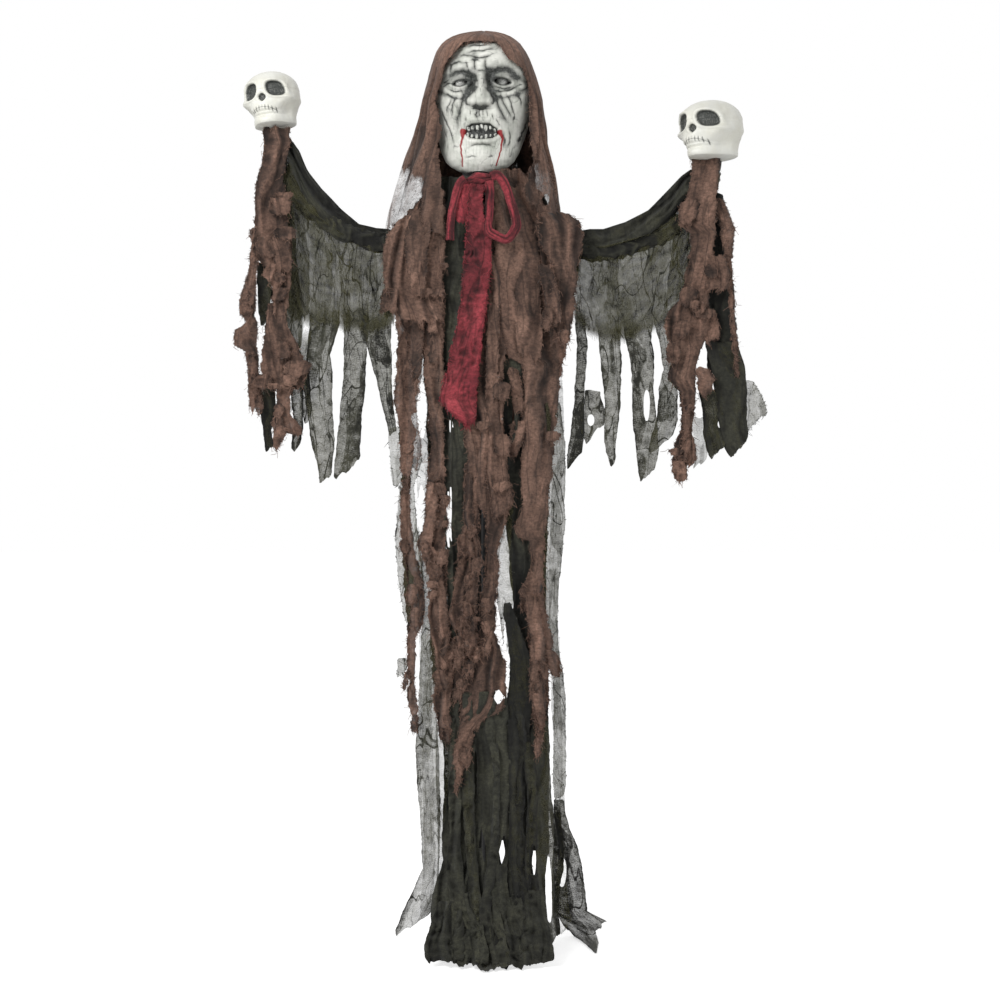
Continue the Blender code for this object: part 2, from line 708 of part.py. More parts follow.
def toothed_outline(teeth, first_angle):
    """All the teeth of a pinion, as (x, z) points round its axis."""
    pitch = 2 * pi / teeth
    corners = [corner for tooth in range(teeth) for corner in tooth_points(teeth, first_angle + tooth * pitch)]
    return [(radius * cos(angle), radius * sin(angle)) for radius, angle in corners]


def sector_outline(teeth, first_angle, sector):
    """Teeth within the sector's two angles, in degrees, and an arc inside the hub round the rest."""
    pitch = 2 * pi / teeth
    start, end = (radians(angle) for angle in sector)
    root = GEAR_MODULE * teeth / 2 - TOOTH_DEDENDUM
    corners = [(root, start)]
    number = ceil((start - first_angle) / pitch)
    while first_angle + number * pitch < end:
        corners += tooth_points(teeth, first_angle + number * pitch)
        number += 1
    corners.append((root, end))
    arc_steps = 8
    gap = 2 * pi - (end - start)
    corners += [(GEAR_WEB_RADIUS, end + gap * step / arc_steps) for step in range(arc_steps + 1)]
    return [(radius * cos(angle), radius * sin(angle)) for radius, angle in corners]


def make_arm_gear(name, side, sector, first_angle, finish):
    """One moulding: toothed sector, hub and the socket that takes the arm rod."""
    pivot_x = side * PIVOT_X
    outline = [(pivot_x + x, PIVOT_Z + z) for x, z in sector_outline(ARM_GEAR_TEETH, first_angle, sector)]
    gear = slab(name, outline, ARM_Y + GEAR_THICKNESS / 2, ARM_Y - GEAR_THICKNESS / 2, finish)
    hub = cross_pin(name + "_hub", GEAR_HUB_RADIUS, ARM_Y + GEAR_HUB_LENGTH / 2, ARM_Y - GEAR_HUB_LENGTH / 2,
                    pivot_x, PIVOT_Z, finish)
    neck_ends = sorted((pivot_x + side * 2 * GEAR_PIN_RADIUS,
                        pivot_x + side * (ROD_SOCKET_START + ROD_SOCKET_RADIUS)))
    neck = box(name + "_neck", (neck_ends[0], ARM_Y - GEAR_NECK_THICKNESS / 2, PIVOT_Z - GEAR_NECK_HEIGHT / 2),
               (neck_ends[1], ARM_Y + GEAR_NECK_THICKNESS / 2, PIVOT_Z + GEAR_NECK_HEIGHT / 2), finish)
    along_x = (0, side * pi / 2, 0)
    socket = place(rod(name + "_socket", ROD_SOCKET_RADIUS, ROD_SOCKET_LENGTH, finish, 12),
                   (pivot_x + side * ROD_SOCKET_START, ARM_Y, PIVOT_Z), along_x)
    pin_bore = cross_pin(name + "_pin_bore", GEAR_PIN_RADIUS + TURN_GAP, ARM_Y + GEAR_HUB_LENGTH,
                         ARM_Y - GEAR_HUB_LENGTH, pivot_x, PIVOT_Z, finish)
    rod_bore = place(rod(name + "_rod_bore", ARM_ROD_RADIUS + SEAT_GAP, ROD_SOCKET_DEPTH + CUT_OVERRUN, finish, 12),
                     (side * (SOCKET_MOUTH_X - ROD_SOCKET_DEPTH), ARM_Y, PIVOT_Z), along_x)
    join(gear, hub, neck, socket)
    return cut(gear, one_cutter(name + "_bores", pin_bore, rod_bore))


def rounded_rectangle(half_width, bottom, top, corner, steps=3):
    points = []
    centres = ((half_width - corner, top - corner, 0), (-half_width + corner, top - corner, 1),
               (-half_width + corner, bottom + corner, 2), (half_width - corner, bottom + corner, 3))
    for x, z, quarter in centres:
        for step in range(steps + 1):
            angle = (quarter + step / steps) * pi / 2
            points.append((x + corner * cos(angle), z + corner * sin(angle)))
    return points


def make_gear_case(finish):
    outline = rounded_rectangle(CASE_HALF_WIDTH, PIVOT_Z - CASE_BOTTOM, PIVOT_Z + CASE_TOP, CASE_CORNER)
    back = slab("gear_case_back", outline, CASE_REAR_Y, CASE_INNER_Y, finish)
    front = slab("gear_case_front", outline, CASE_FRONT_INNER_Y, CASE_FRONT_Y, finish)
    for side, label in ((1, "left"), (-1, "right")):
        hole = cross_pin(label + "_pin_hole", GEAR_PIN_RADIUS + SEAT_GAP, CASE_REAR_Y + CUT_OVERRUN,
                         CASE_FRONT_Y - CUT_OVERRUN, side * PIVOT_X, PIVOT_Z, finish)
        cut(back, hole)
        cut(front, hole)
        for height in (PIVOT_Z + CASE_TOP - POST_INSET, PIVOT_Z - CASE_BOTTOM + POST_INSET):
            post = cross_pin("case_post", POST_RADIUS, CASE_INNER_Y + CASE_PLATE / 2,
                             CASE_FRONT_INNER_Y + SEAT_GAP, side * (CASE_HALF_WIDTH - POST_INSET), height, finish, 8)
            join(back, post)
    shaft_hole = cross_pin("shaft_hole", ARM_SHAFT_RADIUS + TURN_GAP, CASE_REAR_Y + CUT_OVERRUN,
                           CASE_INNER_Y - SEAT_GAP, PIVOT_X, PINION_Z, finish, 16)
    cut(back, shaft_hole)
    return back, front


def make_gear_pin(name, side, finish):
    return cross_pin(name, GEAR_PIN_RADIUS, CASE_REAR_Y, CASE_FRONT_Y, side * PIVOT_X, PIVOT_Z, finish)


def make_pinion(finish):
    outline = [(PIVOT_X + x, PINION_Z + z) for x, z in toothed_outline(PINION_TEETH, pi / 2)]
    pinion = slab("motor_pinion", outline, ARM_Y + GEAR_THICKNESS / 2, ARM_Y - GEAR_THICKNESS / 2, finish)
    bore = cross_pin("pinion_bore", ARM_SHAFT_RADIUS + TURN_GAP, ARM_Y + GEAR_THICKNESS, ARM_Y - GEAR_THICKNESS,
                     PIVOT_X, PINION_Z, finish, 16)
    return cut(pinion, bore)


def make_arm_motor(finish):
    nose = CASE_REAR_Y + SEAT_GAP
    tip = nose - (ARM_Y - GEAR_THICKNESS / 2 - SHAFT_TIP)
    profile = [(0, -ARM_MOTOR_NOSE_LENGTH - ARM_MOTOR_LENGTH), (ARM_MOTOR_RADIUS, -ARM_MOTOR_NOSE_LENGTH - ARM_MOTOR_LENGTH),
               (ARM_MOTOR_RADIUS, -ARM_MOTOR_NOSE_LENGTH), (ARM_MOTOR_NOSE, -ARM_MOTOR_NOSE_LENGTH),
               (ARM_MOTOR_NOSE, 0), (ARM_SHAFT_RADIUS, 0), (ARM_SHAFT_RADIUS, tip), (0, tip)]
    motor = turned("arm_motor", profile, finish, 16)
    return place(motor, (PIVOT_X, nose, PINION_Z), (pi / 2, 0, 0))


# Arm rods, sleeves and skulls

def rod_route(side):
    """The rod's centre line as (point, heading) pairs, from inside its socket to the top of its peg."""
    x = SOCKET_MOUTH_X - ROD_SOCKET_DEPTH + SEAT_GAP
    z = PIVOT_Z
    heading = 0.0
    route = [(Vector((side * x, ARM_Y, z)), heading)]
    kink = -side * radians(ARM_KINK)
    legs = [("line", ROD_SOCKET_DEPTH - SEAT_GAP + ROD_LEAD, 0, 1), ("arc", ROD_KINK_RADIUS, kink, 2),
            ("line", ROD_RUN, 0, 2), ("arc", ROD_BEND_RADIUS, radians(ROD_BEND), 9), ("line", ROD_RISER, 0, 1),
            ("arc", ROD_END_RADIUS, radians(ROD_END), 2), ("line", ROD_NECK, 0, 1), ("line", ROD_PEG, 0, 1)]
    for kind, size, turn, steps in legs:
        for _ in range(steps):
            half_turn = turn / steps / 2
            length = size / steps if kind == "line" else 2 * size * abs(sin(half_turn))
            x += length * cos(heading + half_turn)
            z += length * sin(heading + half_turn)
            heading += 2 * half_turn
            route.append((Vector((side * x, ARM_Y, z)), heading))
    return route


def make_arm_rod(name, side, finish):
    points = [point for point, _ in rod_route(side)]
    return swept(name, points, [ARM_ROD_RADIUS] * len(points), (0, 1, 0), finish, 8)


def along_route(route, share):
    """Point and heading at a share of the route's length."""
    lengths = [0.0]
    for (near, _), (far, _) in zip(route, route[1:]):
        lengths.append(lengths[-1] + (far - near).length)
    where = share * lengths[-1]
    point = Vector([read_table(lengths, [item[0][axis] for item in route], where) for axis in range(3)])
    return point, read_table(lengths, [item[1] for item in route], where)


def sleeve_route(side):
    """The stretch of the rod from just outside its socket to the foot of its end bend."""
    route = rod_route(side)
    start = Vector((side * (SOCKET_MOUTH_X + SLEEVE_START), ARM_Y, route[4][0].z))
    return [(start, route[4][1])] + [step for step in route[5:-4] if side * step[0].x > side * start.x]


def make_sleeve(name, side, finish):
    route = sleeve_route(side)
    places, sizes = zip(*SLEEVE_GATHER_shares)
    rest = ARM_ROD_RADIUS + 2 * SEAT_GAP
    points, radii, bores = [], [], []
    for step in range(SLEEVE_RINGS + 1):
        share = step / SLEEVE_RINGS
        size = read_table(places, sizes, share)
        pucker = SLEEVE_PUCKER * size * ((step + 1) % 2)
        bore = rest + (SLEEVE_RADIUS - SLEEVE_WALL - rest) * size - pucker
        points.append(along_route(route, share)[0])
        bores.append(bore)
        radii.append(bore + SLEEVE_WALL)
    return swept(name, points, radii, (0, 1, 0), finish, SLEEVE_SIDES, bores=bores)


def bump(distance, size):
    return exp(-(distance / size) ** 2)


def skull_point(u, v):
    """u runs round from the face's middle in degrees, v from the crown (0) to the neck hole (1)."""
    around = radians(u)
    rows = len(SKULL_LEVEL_shares)
    rim = (rows - 1) / rows
    if v > (rim + 1) / 2:
        hole = ARM_ROD_RADIUS + 2 * SEAT_GAP
        return Vector((hole * sin(around), -hole * cos(around), 0))
    places = [row / rows for row in range(rows)]
    level = read_table(places, SKULL_LEVEL_shares, v)
    half_width = SKULL_WIDTH / 2 * read_table(places, SKULL_WIDTH_shares, v)
    front = SKULL_DEPTH * SKULL_FRONT_share * read_table(places, SKULL_FRONT_shares, v)
    back = SKULL_DEPTH * (1 - SKULL_FRONT_share) * read_table(places, SKULL_BACK_shares, v)
    x = half_width * sin(around)
    y = -(front if cos(around) > 0 else back) * cos(around)
    facing = max(0.0, cos(around))
    side_place = abs(x) / SKULL_WIDTH
    dent = SKULL_SOCKET_DEPTH * bump(side_place - 0.21, 0.12) * bump(level - 0.53, 0.10)
    dent += SKULL_NOSE_DEPTH * bump(side_place, 0.07) * bump(level - 0.36, 0.07)
    dent -= SKULL_CHEEK * bump(side_place - 0.36, 0.10) * bump(level - 0.36, 0.07)
    return Vector((x, y + dent * facing, SKULL_HEIGHT * level))


def make_skulls(finish):
    us = [360 * step / SKULL_COLUMNS for step in range(SKULL_COLUMNS + 1)]
    rows = len(SKULL_LEVEL_shares)
    vs = [row / rows for row in range(rows + 1)]
    faces = grid_faces(us, vs, closed=True, pole=True)
    left = thin_solid("left_skull", faces, skull_point, SKULL_WALL, finish, outward=-1, steps=(4.0, 0.02))
    right = new_object("right_skull", left.data, finish)
    for skull, side in ((left, 1), (right, -1)):
        seat, heading = rod_route(side)[-2]
        lean = side * (pi / 2 - heading)
        place(skull, seat, (Matrix.Rotation(lean, 3, "Y") @ Matrix.Rotation(-radians(SKULL_TURN), 3, "Z")).to_euler())
    return left, right


# Torso shells and the control box

def torso_point(u, v):
    """u is the angle from the front in degrees, v the distance under the shells' top."""
    share = v / TORSO_LENGTH
    rest = POLE_RADIUS + RUN_GAP
    half_width = rest + (TORSO_HALF_WIDTH - rest) * read_table(TORSO_DROP_shares, TORSO_WIDTH_shares, share)
    half_depth = rest + (TORSO_HALF_DEPTH - rest) * read_table(TORSO_DROP_shares, TORSO_DEPTH_shares, share)
    power = 2 / read_table(TORSO_DROP_shares, TORSO_SQUARENESS, share)
    sine, cosine = sin(radians(u)), cos(radians(u))
    x = half_width * abs(sine) ** power * (1 if sine > 0 else -1)
    y = -half_depth * abs(cosine) ** power * (1 if cosine > 0 else -1)
    return Vector((x, y, TORSO_TOP_Z - v))


def make_torso_shells(finish):
    levels = [TORSO_LENGTH * share for share in TORSO_DROP_shares]
    shells = []
    for name, middle in (("torso_front_shell", 0), ("torso_back_shell", 180)):
        us = [middle + 180 * (step / TORSO_COLUMNS - 0.5) for step in range(TORSO_COLUMNS + 1)]
        faces = grid_faces(us, levels)
        shells.append(thin_solid(name, faces, torso_point, TORSO_WALL, finish, outward=-1, steps=(1.0, 0.001)))
    seam = box("shell_seam", (-TORSO_HALF_WIDTH - CUT_OVERRUN, -SHELL_SEAM / 2, TORSO_BOTTOM_Z - CUT_OVERRUN),
               (TORSO_HALF_WIDTH + CUT_OVERRUN, SHELL_SEAM / 2, TORSO_TOP_Z + CUT_OVERRUN), finish)
    slot_y = ROD_SOCKET_RADIUS + ARM_SLOT_MARGIN
    slot = box("arm_slots", (-TORSO_HALF_WIDTH - CUT_OVERRUN, ARM_Y - slot_y, PIVOT_Z - ARM_SLOT_HALF_HEIGHT),
               (TORSO_HALF_WIDTH + CUT_OVERRUN, ARM_Y + slot_y, PIVOT_Z + ARM_SLOT_HALF_HEIGHT), finish)
    window = box("box_window", (-BOX_WIDTH / 2 - SEAT_GAP, BOX_FRONT_Y, BOX_BOTTOM_Z - SEAT_GAP),
                 (BOX_WIDTH / 2 + SEAT_GAP, BOX_BACK_Y + CUT_OVERRUN, BOX_BOTTOM_Z + BOX_HEIGHT + SEAT_GAP), finish)
    front, back = shells
    cut(front, seam, slot)
    cut(back, seam, window)
    return front, back


def bay_size():
    width = CELL_COUNT * (2 * CELL_RADIUS + CELL_GAP) + CELL_GAP
    height = CELL_LENGTH + CELL_NUB + 2 * SEAT_GAP
    return width, height


def make_control_box(finish):
    """A moulding whose back face holds the battery bay, the speaker's grille, the switch and the button."""
    half_width = BOX_WIDTH / 2
    top = BOX_BOTTOM_Z + BOX_HEIGHT
    body = box("control_box", (-half_width, BOX_FRONT_Y, BOX_BOTTOM_Z), (half_width, BOX_BACK_Y, top), finish)
    bay_width, bay_height = bay_size()
    bay_bottom = BOX_BOTTOM_Z + BOX_WALL + DOOR_MARGIN
    rebate = DOOR_THICKNESS + SLIDE_GAP
    cells_y = BOX_BACK_Y - rebate - 2 * CELL_RADIUS - CELL_GAP
    bay = box("battery_bay", (-bay_width / 2, cells_y, bay_bottom),
              (bay_width / 2, BOX_BACK_Y + CUT_OVERRUN, bay_bottom + bay_height), finish)
    door_half = bay_width / 2 + DOOR_MARGIN
    door_top = bay_bottom + bay_height + DOOR_MARGIN
    door_slot = box("door_rebate", (-door_half - SLIDE_GAP, BOX_BACK_Y - rebate, BOX_BOTTOM_Z - CUT_OVERRUN),
                    (door_half + SLIDE_GAP, BOX_BACK_Y + CUT_OVERRUN, door_top + SLIDE_GAP), finish)
    room_bottom = door_top + BOX_WALL
    room_top = top - BOX_WALL
    room = box("board_room", (-half_width + BOX_WALL, BOX_FRONT_Y - CUT_OVERRUN, room_bottom),
               (half_width - BOX_WALL, BOX_BACK_Y - BOX_WALL, room_top), finish)
    room_z = (room_bottom + room_top) / 2
    switch_slot = box("switch_slot", (-SWITCH_FROM_CENTRE - SWITCH_SLOT_WIDTH / 2, BOX_BACK_Y - BOX_WALL - CUT_OVERRUN,
                                      room_z - SWITCH_SLOT_HEIGHT / 2),
                      (-SWITCH_FROM_CENTRE + SWITCH_SLOT_WIDTH / 2, BOX_BACK_Y + CUT_OVERRUN,
                       room_z + SWITCH_SLOT_HEIGHT / 2), finish)
    button_hole = cross_pin("button_hole", BUTTON_RADIUS + SLIDE_GAP, BOX_BACK_Y + CUT_OVERRUN,
                            BOX_BACK_Y - BOX_WALL - CUT_OVERRUN, SWITCH_FROM_CENTRE, room_z, finish)
    cut(body, bay, door_slot, room, switch_slot, button_hole)
    pitch = 2 * SPEAKER_RADIUS * 0.8 / GRILLE_SLOTS
    for number in range(GRILLE_SLOTS):
        slot_z = room_z + (number - (GRILLE_SLOTS - 1) / 2) * pitch
        cut(body, box("grille_slot", (-SPEAKER_RADIUS * 0.7, BOX_BACK_Y - BOX_WALL - CUT_OVERRUN / 2,
                                      slot_z - GRILLE_SLOT / 2),
                      (SPEAKER_RADIUS * 0.7, BOX_BACK_Y + CUT_OVERRUN, slot_z + GRILLE_SLOT / 2), finish))
    return body, bay_bottom, bay_width, bay_height, cells_y, door_half, door_top, room_bottom, room_top


def make_door(door_half, door_top, finish):
    rear = BOX_BACK_Y - DOOR_THICKNESS
    door = box("battery_door", (-door_half, rear, BOX_BOTTOM_Z), (door_half, BOX_BACK_Y, door_top), finish)
    for number in range(DOOR_GRIP_COUNT):
        low = BOX_BOTTOM_Z + DOOR_GRIP_HEIGHT * (1.5 + 2 * number)
        rib = box("door_grip", (-door_half / 2, BOX_BACK_Y - DOOR_THICKNESS / 2, low),
                  (door_half / 2, BOX_BACK_Y + DOOR_GRIP, low + DOOR_GRIP_HEIGHT), finish)
        join(door, rib)
    return door


def make_cells(bay_bottom, cells_y, finish):
    cells = []
    for number in range(CELL_COUNT):
        x = (number - (CELL_COUNT - 1) / 2) * (2 * CELL_RADIUS + CELL_GAP)
        profile = [(0, 0), (CELL_RADIUS, 0), (CELL_RADIUS, CELL_LENGTH), (CELL_NUB_RADIUS, CELL_LENGTH),
                   (CELL_NUB_RADIUS, CELL_LENGTH + CELL_NUB), (0, CELL_LENGTH + CELL_NUB)]
        cell = turned("battery_cell_" + str(number + 1), profile, finish, 14)
        cells.append(place(cell, (x, cells_y + CELL_RADIUS + CELL_GAP / 2, bay_bottom + SEAT_GAP)))
    return cells


def make_electronics(room_bottom, room_top, materials):
    room_z = (room_bottom + room_top) / 2
    speaker_back = BOX_BACK_Y - BOX_WALL - SEAT_GAP
    speaker_profile = [(0, 0), (SPEAKER_RADIUS, 0), (SPEAKER_RADIUS, SPEAKER_DEPTH / 3),
                       (SPEAKER_RADIUS * 0.7, SPEAKER_DEPTH * 0.6), (SPEAKER_RADIUS * 0.7, SPEAKER_DEPTH),
                       (0, SPEAKER_DEPTH)]
    speaker = place(turned("speaker", speaker_profile, materials["black_steel"], 20),
                    (0, speaker_back, room_z), (pi / 2, 0, 0))
    board_back = speaker_back - SPEAKER_DEPTH - SEAT_GAP
    board = box("circuit_board", (-BOARD_WIDTH / 2, board_back - BOARD_THICKNESS, room_bottom + SEAT_GAP),
                (BOARD_WIDTH / 2, board_back, room_top - SEAT_GAP), materials["board_green"])
    knob_half = SWITCH_SLOT_HEIGHT / 2 - SLIDE_GAP
    switch = box("power_switch", (-SWITCH_FROM_CENTRE - SWITCH_SLOT_WIDTH / 2 + SLIDE_GAP, BOX_BACK_Y - BOX_WALL,
                                  room_z - knob_half),
                 (-SWITCH_FROM_CENTRE - SWITCH_SLOT_WIDTH / 2 + SLIDE_GAP + SWITCH_WIDTH, BOX_BACK_Y + SWITCH_PROUD,
                  room_z + knob_half), materials["black_plastic"])
    flange = BUTTON_RADIUS + BUTTON_FLANGE
    wall_face = -BOX_WALL - SLIDE_GAP
    profile = [(0, wall_face - BUTTON_FLANGE_THICKNESS), (flange, wall_face - BUTTON_FLANGE_THICKNESS),
               (flange, wall_face), (BUTTON_RADIUS, wall_face), (BUTTON_RADIUS, BUTTON_PROUD), (0, BUTTON_PROUD)]
    button = place(turned("try_button", profile, materials["red_plastic"], 20),
                   (SWITCH_FROM_CENTRE, BOX_BACK_Y, room_z), (-pi / 2, 0, 0))
    return speaker, board, switch, button


# Neck, head, mask and eyes

def make_neck_motor(finish):
    top = NECK_MOTOR_Z + NECK_MOTOR_HEIGHT
    body = bevelled(box("neck_motor", (-NECK_MOTOR_WIDTH / 2, -NECK_MOTOR_DEPTH / 2, NECK_MOTOR_Z),
                        (NECK_MOTOR_WIDTH / 2, NECK_MOTOR_DEPTH / 2, top), finish), NECK_MOTOR_BEVEL)
    base = -NECK_BOSS_HEIGHT
    profile = [(0, base), (NECK_BOSS_RADIUS, base), (NECK_BOSS_RADIUS, NECK_BOSS_HEIGHT),
               (NECK_SHAFT_RADIUS, NECK_BOSS_HEIGHT), (NECK_SHAFT_RADIUS, NECK_BOSS_HEIGHT + NECK_SHAFT_LENGTH),
               (0, NECK_BOSS_HEIGHT + NECK_SHAFT_LENGTH)]
    shaft = place(turned("neck_shaft", profile, finish, 20), (0, 0, top))
    return join(body, shaft)


def make_head_hub(finish):
    bore = NECK_SHAFT_RADIUS + TURN_GAP
    bore_depth = NECK_SHAFT_LENGTH + SEAT_GAP - RUN_GAP
    profile = [(0, bore_depth), (bore, bore_depth), (bore, 0), (HUB_RADIUS, 0), (HUB_RADIUS, HUB_THICKNESS),
               (HUB_BOSS_RADIUS, HUB_THICKNESS), (HUB_BOSS_RADIUS, HUB_BOSS_HEIGHT), (0, HUB_BOSS_HEIGHT)]
    return place(turned("head_hub", profile, finish, 16), (0, 0, HUB_Z))


def head_axis_x(z):
    """The head leans a little, and sits to the figure's right of the neck. The neck itself is on the axis."""
    foot = NECK_Z + 2 * FORMER_WALL
    settled = min(1.0, max(0.0, (z - foot) / (CHIN_Z - foot)))
    middle = CHIN_Z + FACE_HEIGHT / 2
    return settled * (HEAD_OFFSET + (max(z, CHIN_Z) - middle) * tan(radians(HEAD_LEAN)))


def face_half_width(share):
    return FACE_WIDTH / 2 * read_table(FACE_HEIGHT_shares, FACE_WIDTH_shares, share)


def rim_forward(share):
    """How far the mask's rim lies in front of the head's middle plane, which it leaves under the jaw."""
    return CHIN_RIM_FORWARD * max(0.0, 1 - share / CHIN_RIM_share)


def face_relief(x, share):
    """Height of the face's features over its plain curve."""
    side = abs(x)
    above_tip = (share - NOSE_TIP_share) / NOSE_LENGTH_share
    bridge = max(0.0, 1 - above_tip) if above_tip > 0 else bump(above_tip, 0.25)
    size = FEATURE_SIZE_share
    relief = NOSE_HEIGHT * bridge * bump(side, NOSE_HALF_WIDTH)
    relief -= EYE_SOCKET_DEPTH * bump(side - EYE_SPACING, EYE_SOCKET_SIZE) * bump(share - EYE_HEIGHT_share, size)
    relief += BROW_HEIGHT * bump(share - BROW_share, size)
    relief += CHEEK_HEIGHT * bump(side - CHEEK_SPACING, EYE_SOCKET_SIZE) * bump(share - CHEEK_share, size)
    relief -= MOUTH_DEPTH * bump(side, MOUTH_HALF_WIDTH) * bump(share - MOUTH_share, size)
    relief += CHIN_HEIGHT * bump(side, MOUTH_HALF_WIDTH) * bump(share - CHIN_share, size)
    return relief


def mask_point(u, v):
    """u is the angle from the face's middle in degrees, v the share of the face's height over the chin."""
    share = min(1.0, max(0.0, v))
    turn = radians(u)
    x = face_half_width(share) * sin(turn)
    rim = rim_forward(share)
    depth = FACE_DEPTH * read_table(FACE_HEIGHT_shares, FACE_DEPTH_shares, share)
    y = -rim - (depth - rim) * cos(turn) - face_relief(x, share) * cos(turn)
    z = CHIN_Z + FACE_HEIGHT * v
    return Vector((x + head_axis_x(z), y, z))


def make_mask(finish):
    us = [180 * (step / MASK_COLUMNS - 0.5) for step in range(MASK_COLUMNS + 1)]
    vs = [0.0]
    for low, high, rows in zip(FACE_HEIGHT_shares, FACE_HEIGHT_shares[1:], MASK_ROW_COUNTS):
        vs += [low + (high - low) * (row + 1) / rows for row in range(rows)]
    eye_row = sum(v <= EYE_HEIGHT_share for v in vs) - 1
    eye_column = int((acos(-2 * EYE_SPACING / FACE_WIDTH) / pi) * MASK_COLUMNS)
    openings = set()
    for step in range(EYE_OPENING_COLUMNS):
        openings.add((eye_column - 1 + step, eye_row))
        openings.add((MASK_COLUMNS - eye_column - step, eye_row))
    faces = grid_faces(us, vs, missing=openings)
    return thin_solid("face_mask", faces, mask_point, MASK_WALL, finish, outward=1, steps=(1.0, 0.004))


def make_eye(name, side, finish):
    turn = side * (90 - acos(2 * EYE_SPACING / FACE_WIDTH) * 180 / pi)
    seat = mask_point(turn, EYE_HEIGHT_share)

    def build(bm):
        bmesh.ops.create_uvsphere(bm, u_segments=12, v_segments=8, radius=EYE_RADIUS)
    eye = mesh_object(name, build, finish)
    return place(eye, (seat.x, seat.y + MASK_WALL + EYE_RADIUS - EYE_SINK, seat.z))


def mask_room(share):
    """Half the room between the mask's rims, whose wall is measured square to their slope."""
    step = FEATURE_SIZE_share / 10
    here = face_half_width(share)
    slope = max(abs(face_half_width(share + step) - here), abs(here - face_half_width(share - step)))
    return here - (MASK_WALL + FORMER_INSET) * hypot(1, slope / (step * FACE_HEIGHT))


def former_point(u, v):
    """u is the angle from the front in degrees, v runs from the crown (0) to the neck's foot (1)."""
    top = CROWN_Z - CLOTH - SEAT_GAP
    z = top - v * (top - NECK_Z)
    share = (z - CHIN_Z) / FACE_HEIGHT
    over_mask = (top - CHIN_Z) / FACE_HEIGHT - 1
    closing = (1 - min(1.0, max(0.0, (share - 1) / over_mask)) ** 2) ** 0.5
    rim_half = mask_room(min(share, 1.0))
    narrowing = rim_half / (FACE_WIDTH / 2 - MASK_WALL - FORMER_INSET) if share > JAW_share else 1.0
    grown = min(1.0, max(0.0, share / JAW_share))
    half_width = NECK_RADIUS + (rim_half - NECK_RADIUS) * grown
    front = (NECK_RADIUS + (HEAD_FRONT - NECK_RADIUS) * grown) * narrowing
    back = (NECK_RADIUS + (HEAD_BACK - NECK_RADIUS) * grown) * narrowing
    turn = radians(u)
    y = -(front if cos(turn) > 0 else back) * cos(turn) * closing
    return Vector((half_width * sin(turn) * closing + head_axis_x(z), y, z))


def make_former(finish):
    us = [360 * step / FORMER_COLUMNS for step in range(FORMER_COLUMNS + 1)]
    whole = CROWN_Z - CLOTH - SEAT_GAP - NECK_Z
    mask_top = CROWN_Z - CLOTH - SEAT_GAP - CHIN_Z - FACE_HEIGHT
    levels = [FACE_HEIGHT * (1 - share) + mask_top for share in FACE_HEIGHT_shares[::-1]]
    vs = [0.0, mask_top / whole / 3] + [level / whole for level in levels] + [1.0]
    faces = grid_faces(us, vs, closed=True, pole=True)
    return thin_solid("head_former", faces, former_point, FORMER_WALL, finish, outward=-1, steps=(4.0, 0.004))


# Hood, gown and robe

def hood_point(u, v):
    """u is the angle from the front in degrees, v the distance under the crown."""
    share = v / HOOD_LENGTH
    turn = radians(u)
    half_width = HOOD_HALF_WIDTH * read_table(HOOD_DROP_shares, HOOD_WIDTH_shares, share)
    front = HOOD_BACK_DEPTH * read_table(HOOD_DROP_shares, HOOD_FRONT_shares, share)
    back = HOOD_BACK_DEPTH * read_table(HOOD_DROP_shares, HOOD_BACK_shares, share)
    z = CROWN_Z - v
    y = -(front if cos(turn) > 0 else back) * cos(turn)
    return Vector((half_width * sin(turn) + head_axis_x(max(z, CHIN_Z)), y, z))


def make_hood(finish):
    levels = [HOOD_LENGTH * share for share in HOOD_DROP_shares]
    us = [360 * step / HOOD_COLUMNS for step in range(HOOD_COLUMNS + 1)]
    face_columns = round(HOOD_FACE_HALF_ANGLE * HOOD_COLUMNS / 360)
    band = 7
    rim_row = 2
    open_columns = [*range(face_columns), *range(HOOD_COLUMNS - face_columns, HOOD_COLUMNS)]
    missing = {(column, row) for column in open_columns for row in range(rim_row, band)}
    faces = grid_faces(us, levels[:band + 1], closed=True, pole=True, missing=missing)
    columns = HOOD_COLUMNS - 2 * face_columns
    count = len(HOOD_STRIP_END_shares)
    bounds = [face_columns + round(columns * step / count) for step in range(count + 1)]
    ends = [HOOD_LENGTH * share for share in HOOD_STRIP_END_shares]
    faces += strip_faces(us, levels[band], list(zip(bounds, bounds[1:], ends)), 2)
    return thin_solid("hood", faces, hood_point, CLOTH, finish, outward=-1, steps=(4.0, 0.002))


def gown_levels():
    """Distances under the gown's collar where its table of widths is given, from the collar to the floor."""
    floor = GOWN_COLLAR_Z - FLOOR_CLEARANCE - CLOTH
    flare = floor - GOWN_FLARE_HEIGHT
    middle = (GOWN_HIP_DROP + flare) / 2
    shoulder_edge = GOWN_SHOULDER_DROP / 2
    return [0.0, shoulder_edge, GOWN_SHOULDER_DROP, GOWN_ARM_DROP, GOWN_CHEST_DROP, GOWN_WAIST_DROP,
            GOWN_HIP_DROP, middle, flare]


